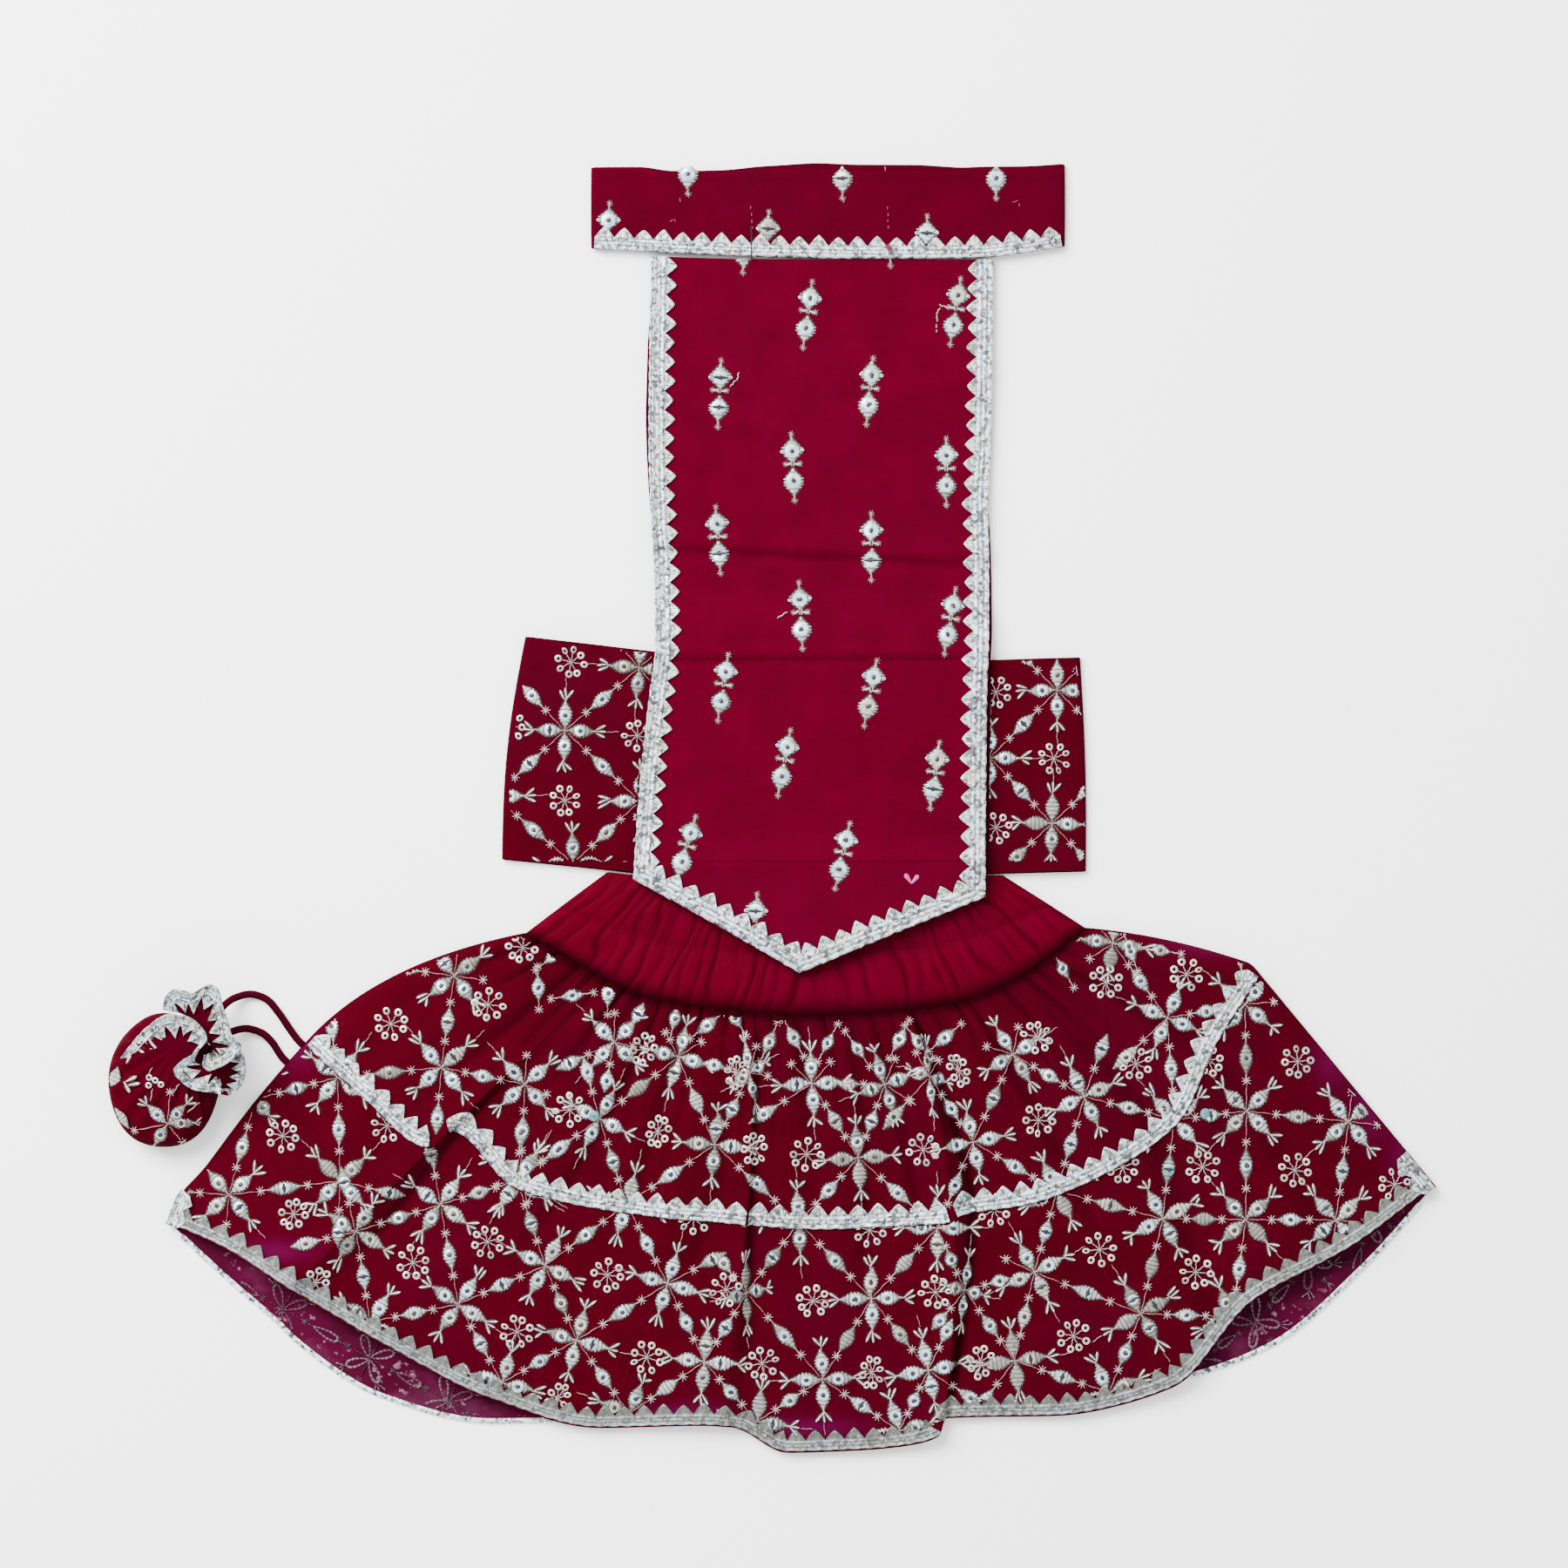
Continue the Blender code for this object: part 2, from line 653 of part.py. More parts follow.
def panel_height(x, y):
    """Height of the panel's own fall: its climb over the bands, with soft creases."""
    height = smooth(y, PANEL_CLIMB["y"], PANEL_CLIMB["height"])
    for i, place in enumerate(PANEL_CREASES["y"]):
        c = {key: PANEL_CREASES[key][i] for key in PANEL_CREASES}
        off = (y - place - c["tilt"] * (x - 15)) / c["width"]
        height = height + c["height"] * np.exp(-off * off)
    return height


def back_panel():
    """The pointed panel, its lining and the four lengths of lace round it."""
    rows = np.linspace(0, 1, 25)
    across, down = np.meshgrid(np.array([0, 0.23, 0.4726, 0.73, 1.0]), rows)
    x, y = panel_plan(across, down, 1.0)
    low = panel_height(x, y)
    sheet("back_panel_lining", x, y, low + WALL, ("lining", CREPE))
    x, y = panel_plan(across, down)
    cloth = sheet("back_panel", x, y, low + WALL + LIFT, ("crepe", CREPE))
    panel_laces(cloth)


def panel_laces(cloth):
    """Lace down both sides and along the point, mitred where the lengths meet."""
    side = np.linspace(0, 1, 80)
    left = panel_plan(np.zeros(80), side)
    right = panel_plan(np.ones(80), side)
    left = np.stack(left, axis=1) + (0.05, 0)
    right = np.stack(right, axis=1) - (0.05, 0)
    left_mitre, right_mitre, tip_mitre = BRAID * 0.65, BRAID * 0.76, BRAID * 0.54
    lace("panel_lace_left", left, cloth, cuts=(0.0, left_mitre))
    lace("panel_lace_right", right[::-1], cloth, cuts=(right_mitre, 0.0))
    shift = GAP * 1.3
    a, b, c = (np.array(p) for p in (PANEL_LEFT_CORNER, PANEL_TIP, PANEL_RIGHT_CORNER))
    slope_a, slope_c = (b - a) / np.linalg.norm(b - a), (c - b) / np.linalg.norm(c - b)
    first = np.array([a + slope_a * shift, b - slope_a * shift * 0.5])
    second = np.array([b + slope_c * shift * 0.5, c - slope_c * shift])
    lace("panel_lace_point_left", first, cloth, cuts=(left_mitre, tip_mitre))
    lace("panel_lace_point_right", second, cloth, cuts=(tip_mitre, right_mitre))


def neck_band():
    """The neck band's front and back, flattened on each other, and the lace at its foot."""
    xs = np.linspace(NECK_EDGE["x"][0], NECK_EDGE["x"][-1], 23)
    share = np.array([0.0, 0.5, 1.0])[:, None]
    top = smooth(xs, NECK_EDGE["x"], NECK_EDGE["top"])
    bottom = smooth(xs, NECK_EDGE["x"], NECK_EDGE["bottom"])
    y = bottom + (top - bottom) * share
    x = np.broadcast_to(xs, y.shape) + 0.8 * np.sin(math.pi * share) * np.sign(xs - 20) * 0.3
    finish = ("crepe", CREPE)
    inside = np.minimum(xs - xs[0], xs[-1] - xs) / 5.0
    rounding = 0.5 * np.sqrt(1 - (1 - np.clip(inside, 0, 1)) ** 2)
    z = np.full(y.shape, LIFT + WALL) + rounding
    front = sheet("neck_band_front", x, y, z, finish)
    peek = smooth(xs, NECK_PEEK["x"], NECK_PEEK["height"])
    y = bottom + 0.8 + (top + peek - bottom - 0.8) * share
    sheet("neck_band_back", x, y, np.full(y.shape, WALL), finish)
    path = np.stack([xs, bottom + 0.05], axis=1)
    path[0, 0] += 0.2
    path[-1, 0] -= 0.2
    lace("neck_lace", path, front, NECK_BRAID)


def belly_band():
    """The belly band's front and back layers, flattened on each other."""
    across = np.array([0, 0.01, 0.03, 0.12, 0.25, 0.5, 0.75, 0.88, 0.97, 0.99, 1.0])
    edge = {key: np.interp(across, BELLY_EDGE["across"], BELLY_EDGE[key]) for key in BELLY_EDGE}
    down = np.array([0.0, 0.25, 0.5, 0.75, 1.0])[:, None]
    side = np.where(across < 0.25, across / 0.25 - 1, np.where(across > 0.75, (across - 0.75) / 0.25, 0))
    x = edge["top_x"] + (edge["bottom_x"] - edge["top_x"]) * down
    x = x + BELLY_BOW * np.sin(math.pi * down) * side
    y = edge["top_y"] + (edge["bottom_y"] - edge["top_y"]) * down
    inside = np.minimum(across, 1 - across) * 200 / 5.0
    rounding = 0.3 * np.sqrt(1 - (1 - np.clip(inside, 0, 1)) ** 2)
    z = np.full(y.shape, LIFT + WALL) + rounding * np.where(np.abs(side) > 0, 1.0, 0.0)
    sheet("belly_band_front", x, y, z, ("jaal_cloth", JAAL_CLOTH))
    sheet("belly_band_back", x + side * 0.4, y - 0.5 * down, np.full(y.shape, WALL),
          ("jaal_plain", CREPE))


def pouch_ring(turn, size, shift):
    """A ring of the pouch's body, moved towards the mouth by its share."""
    x = POUCH_CENTRE[0] + (POUCH_MOUTH[0] - POUCH_CENTRE[0]) * shift
    y = POUCH_CENTRE[1] + (POUCH_MOUTH[1] - POUCH_CENTRE[1]) * shift
    pucker = 1 + 0.035 * shift * np.cos(12 * turn)
    return x + POUCH_HALF[0] * size * pucker * np.cos(turn), y + POUCH_HALF[1] * size * pucker * np.sin(turn)


def pouch_body():
    """The stuffed pouch: rings from its flat foot up to its mouth."""
    count = 36
    turn = np.arange(count) * 2 * math.pi / count
    rings = []
    for z, size, shift in zip(POUCH_RINGS["z"], POUCH_RINGS["size"], POUCH_RINGS["shift"]):
        x, y = pouch_ring(turn, size, shift)
        rings.append(np.stack([x, y, np.full(count, z)], axis=1))
    points = np.vstack(rings + [rings[0].mean(axis=0), rings[-1].mean(axis=0)])
    last = len(rings) * count
    faces = []
    for r in range(len(rings) - 1):
        for c in range(count):
            a, b = r * count + c, r * count + (c + 1) % count
            faces += [(a, b, b + count), (a, b + count, a + count)]
    for c in range(count):
        a, b = c, (c + 1) % count
        faces.append((b, a, last))
        faces.append((last - count + a, last - count + b, last + 1))
    add_object("pouch_body", points, faces, ("jaal_cloth", JAAL_CLOTH))
    return Cloth(points, faces)


def frill_place(turn, share):
    """Plan of the frill: from the hole at the mouth out to the ruffled edge."""
    turns = np.append(FRILL["turn"], 1.0)
    reach = np.append(FRILL["reach"], FRILL["reach"][0])
    rise = np.append(FRILL["rise"], FRILL["rise"][0])
    at = turn / (2 * math.pi)
    r = FRILL_HOLE + (smooth(at, turns, reach) - FRILL_HOLE) * share
    x = POUCH_MOUTH[0] + r * np.cos(turn)
    y = POUCH_MOUTH[1] + r * np.sin(turn)
    return x, y, smooth(at, turns, rise) * share, r


def pouch_frill(body):
    """The ruffled frill round the mouth, spread over the body, and its lace."""
    count = 64
    turn, share = np.meshgrid(np.arange(count) * 2 * math.pi / count, np.array([0.0, 0.4, 0.7, 1.0]))
    x, y, rise, r = frill_place(turn, share)
    rest = np.array([body.height(*p) for p in np.stack([x.ravel(), y.ravel()], axis=1)])
    rest = np.maximum(rest.reshape(x.shape), 13.5)
    low = np.maximum(rest, 18.4 - 0.9 * np.maximum(r - 7, 0) * 0.35) + 0.7 + rise
    cloth = sheet("pouch_frill", x, y, low + WALL, ("jaal_cloth", JAAL_CLOTH), closed=True)
    frill_lace(cloth)


def frill_lace(cloth):
    """The lace round the frill's edge, its teeth towards the mouth."""
    teeth = 20
    turn = np.arange(2 * teeth) * math.pi / teeth
    rows = []
    for share in (0.985, 0.70):
        x, y, _, _ = frill_place(turn, share)
        rows.append(np.stack([x, y], axis=1))
    x, y, _, _ = frill_place(turn[1::2], 0.48)
    xy = np.vstack(rows + [np.stack([x, y], axis=1)])
    faces = lace_faces(teeth, 2, closed=True)
    low = laid_on(xy, faces, cloth)
    wall("pouch_frill_lace", np.column_stack([xy, low + LACE_WALL]), faces, ("silver_lace", LACE), LACE_WALL)


def cord(name, route, steps=16):
    """A round cord along a smooth curve through its route, with closed ends."""
    points = np.stack([route["x"], route["y"], route["z"]], axis=1)
    length = np.concatenate([[0], np.cumsum(np.linalg.norm(np.diff(points, axis=0), axis=1))])
    at = np.linspace(0, length[-1], steps)
    places = np.stack([smooth(at, length, points[:, k]) for k in range(3)], axis=1)
    curve = bpy.data.curves.new(name, "CURVE")
    curve.dimensions = "3D"
    curve.bevel_depth = CORD_RADIUS * MM
    curve.bevel_resolution = 2
    curve.use_fill_caps = True
    spline = curve.splines.new("POLY")
    spline.points.add(steps - 1)
    for point, place in zip(spline.points, places * MM):
        point.co = (*place, 1.0)
    curve.materials.append(material("cord", CORD))
    thing = bpy.data.objects.new(name, curve)
    bpy.context.scene.collection.objects.link(thing)


def build():
    """All the pieces, from the table up."""
    clear_scene()
    skirt_pieces()
    waistband()
    belly_band()
    back_panel()
    neck_band()
    pouch_frill(pouch_body())
    cord("pouch_cord_upper", UPPER_CORD)
    cord("pouch_cord_lower", LOWER_CORD, 12)


build()
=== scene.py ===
"""Looks of a dog lehenga that lies flat and is seen from straight above.

Builds the finished cloth, lace, embroidery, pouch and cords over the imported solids, and the
studio round them.  Sizes in the settings are metres; the surfaces are worked out in
millimetres, with +X right, +Y towards the neck and +Z up.
"""

import json
import math

import bpy
import numpy as np
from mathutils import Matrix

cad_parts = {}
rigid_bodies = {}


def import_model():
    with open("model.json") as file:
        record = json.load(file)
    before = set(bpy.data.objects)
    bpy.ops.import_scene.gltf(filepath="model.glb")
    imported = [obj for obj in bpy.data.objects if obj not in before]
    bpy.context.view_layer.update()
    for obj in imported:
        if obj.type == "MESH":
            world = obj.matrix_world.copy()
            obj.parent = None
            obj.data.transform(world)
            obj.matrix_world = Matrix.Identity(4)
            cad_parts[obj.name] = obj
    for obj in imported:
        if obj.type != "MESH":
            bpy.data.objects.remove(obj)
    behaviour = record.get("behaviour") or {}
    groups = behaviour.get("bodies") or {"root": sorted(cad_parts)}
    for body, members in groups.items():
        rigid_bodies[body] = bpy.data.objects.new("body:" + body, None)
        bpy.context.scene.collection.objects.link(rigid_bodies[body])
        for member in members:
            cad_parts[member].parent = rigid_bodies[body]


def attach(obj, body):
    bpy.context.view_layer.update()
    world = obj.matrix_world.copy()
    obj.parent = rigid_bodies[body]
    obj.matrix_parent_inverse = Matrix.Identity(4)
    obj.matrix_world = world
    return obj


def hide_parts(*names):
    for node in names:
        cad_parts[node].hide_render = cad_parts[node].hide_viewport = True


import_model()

bl_info = {
    "name": "Dog lehenga",
    "version": (1, 0, 0),
    "blender": (4, 5, 0),
    "location": "3D View > Sidebar > Lehenga",
    "description": "Cloth, lace, embroidery, pouch and studio of a dog lehenga",
    "category": "Object",
}

# A millimetre in metres
MM = 0.001

# A layer's wall, the gap between two layers, and the height of the upper layer's underside
WALL = 1.2
GAP = 0.3
LIFT = WALL + GAP

# How far down the skirt are its middle guide curve and its two laces, in shares of the way
GUIDE_ROW = 0.46
MID_LACE_ROW = GUIDE_ROW + 0.028
HEM_LACE_ROW = 0.995

# The skirt's ribs are counted from 1; lace and stitches stay a little inside its sides
LAST_RIB = 15.0
FIRST_LACED = 1.02
LAST_LACED = LAST_RIB - 0.02

# Gathers, widths at the seam, middle and hem, and how far in the side folds are round
GATHERS = 32
SKIRT_WIDTHS = (208.0, 375.0, 480.0)
SIDE_ROUNDING = 13.0

# How far down the waistband its row of stitches is, and how far the bands' sides bow out
WAIST_STITCH_ROW = 0.55
WAIST_SIDE_BOW = 0.2
BELLY_BOW = 2.2

# Where the camera of the photograph stood over the table
CAMERA_OVER = (4.5, 8.25, 1500.0)


def table(columns, *rows):
    """Each column's name with its values, one for each row."""
    return dict(zip(columns.split(), np.array(rows, dtype=float).T))


# Skirt ribs from the left side to the right: points on the seam, lace, hem and back hem
RIBS = table(
    "rib seam_x seam_y lace_x lace_y hem_x hem_y back_x back_y",
    (1, -84, -43, -156.9, -78.1, -206.4, -143.2, -206.4, -143.2),
    (2, -70.5, -51.1, -136.5, -96.5, -186.9, -151.4, -186.9, -161.3),
    (2.9, -58.5, -57.8, -114, -113.3, -166.5, -164, -168, -177.8),
    (3.15, -55.5, -59.6, -106.5, -107.9, -162.9, -166.4, -163.5, -182.3),
    (4, -44.4, -64.3, -85.5, -126.8, -133.5, -183.8, -133.5, -201.8),
    (5, -32.1, -67, -58.5, -133.4, -97.5, -202.4, -96, -210.4),
    (6, -19.5, -68.8, -33, -136.7, -58.5, -213, -55.5, -209.4),
    (6.9, -7.5, -70, -9, -138.8, -21.9, -212, -21.9, -207),
    (7.15, -5.1, -70.3, -6.6, -139.1, -14.1, -212.6, -15, -205.7),
    (8, 9.9, -71.2, 15, -140.2, 6, -221.6, 6, -213.8),
    (9, 27.9, -70.6, 39, -139.3, 34.5, -220.4, 34.5, -213.8),
    (9.9, 45.6, -69.2, 60.9, -137.8, 57.6, -215.5, 57, -208.4),
    (10.15, 48, -68.9, 64.5, -136, 60.3, -209.8, 60.9, -204.4),
    (11, 61.5, -67.3, 88.5, -131.5, 97.5, -208.9, 97.5, -203.5),
    (12, 75, -63.1, 114, -120.8, 138, -198.7, 142.5, -195.2),
    (13, 87, -57.1, 138, -104.2, 165.3, -168.8, 172.5, -183.8),
    (14, 98.1, -49.4, 150.9, -75.8, 196.5, -152.2, 202.5, -158.3),
    (15, 108, -41.2, 164.4, -53.5, 228, -130.3, 228, -130.3),
)
# How far each rib bows above and below the middle guide curve, as a share of an arc
RIB_BOW = table("rib upper lower", (1, 1.7, 0.35), (4, 1, 0.5), (11, 0.8, 0.5), (15, 0.3, 0))

# Skirt folds: a soft slope on one side and a steep one on the other, in ribs
FOLDS = table(
    "rib height left_width right_width start full end",
    (2, 1.2, 0.4, 0.4, 0.05, 0.3, 1), (3, 3.6, 0.95, 0.22, 0.1, 0.3, 1),
    (4.1, 1.3, 0.3, 0.35, 0.03, 0.2, 0.8), (5, 1.8, 0.45, 0.3, 0.3, 0.6, 1),
    (5.9, 1.5, 0.28, 0.3, 0.05, 0.25, 0.9), (7, 3, 0.6, 0.18, 0.02, 0.1, 1),
    (8.3, 1.4, 0.35, 0.35, 0.05, 0.2, 0.7), (9.1, 1.2, 0.3, 0.4, 0.35, 0.6, 1),
    (10, 3.3, 0.6, 0.18, 0.05, 0.15, 1), (11.1, 1.6, 0.35, 0.3, 0.04, 0.2, 0.85),
    (12.1, 2.2, 0.5, 0.35, 0.1, 0.4, 1), (13.2, 2.6, 0.45, 0.45, 0.15, 0.5, 1),
    (14.2, 1.5, 0.4, 0.3, 0.1, 0.4, 1),
)
# The swell of the skirt's left side: how far down it is, how far out and how long
SIDE_SWELL = (0.925, 2.0, 0.055)

# Narrow creases at the foot of the folds' steep sides
CREASES = table(
    "rib depth width start full end",
    (3.26, 1.3, 0.05, 0.3, 0.4, 0.75), (4.55, 0.7, 0.09, 0.02, 0.15, 0.5),
    (5.45, 0.6, 0.1, 0.02, 0.1, 0.4), (6.35, 0.8, 0.08, 0.02, 0.15, 0.5),
    (7.24, 1.2, 0.09, 0.01, 0.06, 0.7), (8.75, 0.8, 0.09, 0.02, 0.12, 0.45),
    (9.5, 0.7, 0.08, 0.02, 0.12, 0.38), (10.25, 2.1, 0.07, 0.01, 0.08, 1),
    (11.6, 0.9, 0.09, 0.02, 0.15, 0.5), (12.6, 0.7, 0.12, 0.03, 0.25, 0.9),
    (13.8, 0.6, 0.12, 0.1, 0.4, 1),
)

# Where the hem stands off the back layer, and the height of the skirt's puffed fall
HEM_LIFTS = table("rib height width", (3.4, 3.6, 1.5), (13.4, 4.4, 1.2))
PUFF = table("along height", (0, 0.9), (0.12, 3.2), (0.3, 4), (0.6, 3), (1, 0.9))

# Patches of painted magenta sheen on the skirt's cloth
PAINTED_SHEEN = table(
    "x y wide tall share",
    (-28.5, -209.6, 15, 4.2, 0.75), (12, -213, 18, 3, 0.6), (193, -86, 6, 9, 0.5),
    (206, -103, 6, 9, 0.55), (219, -120, 6, 9, 0.5), (153, -46.5, 15, 4, 0.5), (-163, -81, 8, 8, 0.45),
    (-170, -152, 12, 4, 0.5), (70, -207, 16, 3, 0.3),
)

# Edges of the back panel, its corners, its seams, its climb over the bands and its creases
PANEL_EDGE = table(
    "y left right",
    (-30.4, -47.3, 73.5), (-24.4, -47.1, 73.5), (8, -45, 73.8), (38, -41.8, 74.1), (56, -39.7, 74.7),
    (80, -40.2, 75), (104, -41.4, 74.6), (128, -42, 75.6), (160, -41.7, 76.1), (189, -41.1, 76.4),
)
PANEL_TOP = table("across y", (0, 189.7), (0.25, 188.7), (0.7, 188.55), (1, 188.5))
PANEL_LEFT_CORNER = (-47.1, -24.4)
PANEL_TIP = (9.9, -56.5)
PANEL_RIGHT_CORNER = (73.5, -30.4)
PANEL_SEAMS = (51.1, -18.2)
PANEL_CLIMB = table("y height", (-60, 5.1), (-22, 5.1), (-8, 3), (57, 3), (76, 0), (190, 0))
PANEL_CREASES = table(
    "x y tilt height width reach",
    (15, 89.5, -0.045, 1.1, 4, 90), (15, 85.3, -0.05, -1.1, 1.9, 70), (15, 150, -0.1, 0.5, 6, 60),
    (-15, 126, -0.25, 0.6, 3, 26), (60, 132, 0.3, 0.5, 4, 30), (15, 53.4, 0, 0.7, 2.6, 90),
    (30, 50.6, 0.01, -0.8, 1.2, 60), (20, -18, 0.03, 0.5, 2.2, 60), (-20, 20, 0.12, 0.4, 4, 30),
    (50, 5, -0.15, 0.4, 5, 35), (5, 150.6, 0, -0.25, 0.5, 7),
)

# How far the lining shows at either side of the panel
LINING_MARGIN = table(
    "y left right",
    (-30, -0.8, -0.8), (40, -0.6, 0.5), (60, -0.4, 1.2), (95, -0.2, 0.6), (110, 0.5, -0.3),
    (135, 1.1, -0.6), (160, 0.7, -0.6), (180, -0.5, -0.6),
)

# Edges of the neck band, and how far its back shows above its front
NECK_EDGE = table(
    "x top bottom",
    (-60.9, 219.9, 192.2), (-44.7, 220.1, 191.4), (-33.9, 218.9, 190.7), (-15.9, 219.2, 189.9),
    (-1.5, 219.8, 189.4), (12.9, 219.6, 189), (30.9, 218.9, 188.8), (51.3, 218.9, 188.8),
    (63.3, 219.2, 188.9), (72.9, 219.8, 189.2), (87.3, 220, 190.9), (100.2, 220.8, 192.9),
)
NECK_PEEK = table(
    "x height",
    (-60, 0.7), (-20, 0.4), (0, 1.3), (19.5, 2.6), (49.5, 2.5), (70, 1), (100, 0.9),
)

# Edges of the belly band, and the waistband's upper edge
BELLY_EDGE = table(
    "across top_x top_y bottom_x bottom_y",
    (0, -83.4, 58.9, -91.4, -17.4), (0.25, -40.5, 53.9, -46.5, -22), (0.75, 75, 50.9, 76.5, -22.3),
    (1, 105.2, 51.8, 107.2, -21.5),
)
WAIST_TOP = table("share x y", (0, -55.5, -22.1), (0.07, -46, -23.15), (1, 78.9, -23.15))

# Pouch: its middle, its half widths, its mouth and star, and its rings from the table up
POUCH_CENTRE = (-208.0, -93.6)
POUCH_HALF = (18.9, 23.0)
POUCH_MOUTH = (-199.3, -81.3)
POUCH_STAR = (-207.6, -108.7, 14.5)
POUCH_RINGS = table(
    "place z size shift",
    (0, 0, 0.66, 0), (1, 1.2, 0.82, 0), (2, 4, 0.95, 0), (3, 8, 1, 0), (4, 12, 0.95, 0.08),
    (5, 15.5, 0.78, 0.28), (6, 17.4, 0.52, 0.6), (7, 18.4, 0.27, 1),
)

# Frill of the pouch: its three flaps, from the laced edge in to the neck
FLAP_LEFT = table(
    "x y z in_x in_y in_z",
    (-223.9, -86.1, 13, -212.7, -88.4, 15.5), (-219.9, -80.8, 15.5, -210.6, -85.9, 16),
    (-214.4, -75, 18, -207.7, -83.4, 16.5), (-207.2, -71, 20.5, -205.1, -80.8, 17),
    (-201.4, -71.6, 22, -203, -79.6, 17.3), (-195.9, -75.4, 22.8, -202.2, -80, 17.6),
    (-194, -79.2, 22.6, -201.6, -81.7, 17.8), (-197.1, -83.4, 22.3, -198.8, -87.6, 18),
    (-203, -87.2, 21.8, -196.3, -88.4, 18), (-205.8, -90.5, 21.3, -194.6, -89.3, 18),
    (-203, -94.3, 20.8, -193.4, -90.5, 18), (-198, -97.3, 19.5, -192.1, -91.8, 17.8),
    (-192.1, -98.1, 18.5, -190.4, -92.6, 17.4), (-187, -99.2, 17.5, -187.9, -93.9, 17),
)
FLAP_TOP = table(
    "x y z in_x in_y in_z",
    (-209.6, -69.3, 17, -205.6, -70.3, 17.2), (-208.5, -64.6, 19, -203.5, -70.7, 17.3),
    (-205.1, -62.3, 20.5, -201.4, -71.6, 17.5), (-199.2, -63.4, 21.5, -199.2, -72.9, 17.8),
    (-193.4, -60.6, 22, -198, -74.1, 18), (-190.2, -62.7, 22.5, -197.1, -75.4, 18),
    (-188.7, -68.2, 23, -196.3, -76.6, 18), (-186.8, -73.7, 23.3, -195.5, -78.3, 18),
    (-185.6, -78.3, 23.5, -194.6, -80, 18.2), (-182.4, -82.1, 22.5, -193.4, -81.3, 18.5),
    (-184.5, -85.7, 23.2, -192.5, -82.1, 18.8), (-188.7, -88.9, 23.6, -192.1, -83, 19),
    (-193.4, -90.6, 23.8, -191.9, -83.6, 19.5), (-195.7, -88.4, 23.8, -191.7, -83.8, 20),
    (-195.2, -85.1, 23.5, -191.5, -83.8, 20.5),
)
FLAP_RIGHT = table(
    "x y z in_x in_y in_z",
    (-184.1, -81.7, 21, -191.2, -85.1, 20.5), (-181.4, -85.5, 19, -192.1, -88.4, 19.8),
    (-180.8, -90.5, 17, -192.5, -91.4, 19), (-182.4, -95.6, 15.5, -192.1, -94.3, 18),
    (-186.6, -99.2, 15, -190.8, -96.8, 17),
)

# Routes of the pouch's two cords from its neck to the skirt's side seam
UPPER_CORD = table(
    "x y z",
    (-194.2, -79.3, 16.2), (-192.5, -77.4, 16.6), (-190.4, -73, 13.2), (-188.4, -68.9, 8.2),
    (-184.5, -65.4, 3.8), (-179.1, -64, 1.8), (-174, -65.5, 1.4), (-169.5, -70.3, 1.4),
    (-165.6, -76, 1.4), (-162.7, -79.9, 1.4), (-161, -81.6, 1.4),
)
LOWER_CORD = table(
    "x y z",
    (-192.1, -83, 15.2), (-190.2, -81.6, 15), (-187.6, -78.6, 10.4), (-185.2, -76.8, 6),
    (-180.6, -75.8, 2.6), (-175.5, -77.2, 1.5), (-171.6, -80.6, 1.4), (-169.3, -84.2, 1.4),
    (-167.8, -86.2, 1.4), (-166.4, -87.5, 1.4),
)

# Centres of the skirt's embroidered stars, and of the round flowers between them
SKIRT_STARS = table(
    "x y squash",
    (-147.6, -127.7, 1), (-142.2, -145.1, 1), (-113.4, -136.1, 1), (-107.1, -170.1, 1),
    (-137.4, -176.1, 1), (-87, -127.7, 1), (-92.1, -197.1, 1), (-77.4, -156.9, 1), (-66.6, -182.6, 1),
    (-48.6, -207.9, 1), (-49.5, -135.8, 1), (-35.4, -163.1, 1), (-22.8, -189.8, 1), (-8.4, -166.4, 0.6),
    (-4.8, -210.8, 1), (9.6, -142.1, 1), (17.7, -196.1, 1), (34.5, -168.2, 1), (44.1, -213.8, 1),
    (54, -192.8, 1), (57, -143.9, 1), (66.6, -165.5, 0.6), (83.7, -189.8, 1), (90.3, -159.2, 1),
    (116.1, -200.6, 1), (126.9, -173.3, 1), (134.4, -140.9, 1), (158.1, -174.5, 1), (162.6, -140.9, 1),
    (193.5, -141.2, 1), (163.2, -104, 1), (198.3, -107.6, 1), (138.3, -106.7, 1), (162.6, -67.4, 1),
    (135.9, -71.9, 1), (107.4, -98.9, 1), (98.1, -131.3, 1), (69.3, -114.5, 1), (83.1, -84.5, 0.9),
    (39, -94.8, 0.85), (54.3, -91.9, 0.5), (30, -119.9, 1), (14.1, -94.5, 0.95), (-7.2, -90.8, 0.5),
    (-19.2, -115.4, 1), (-31.8, -85.4, 0.9), (-53.7, -80.3, 0.95), (-58.8, -106.5, 0.9),
    (-84.3, -94.7, 1), (-85.8, -126.5, 1), (-112.8, -88.8, 1), (-108.6, -57.6, 1), (-148.5, -92.3, 1),
    (117.3, -46.5, 0.9), (-186, -132.8, 1), (-177, -100, 0.7),
)
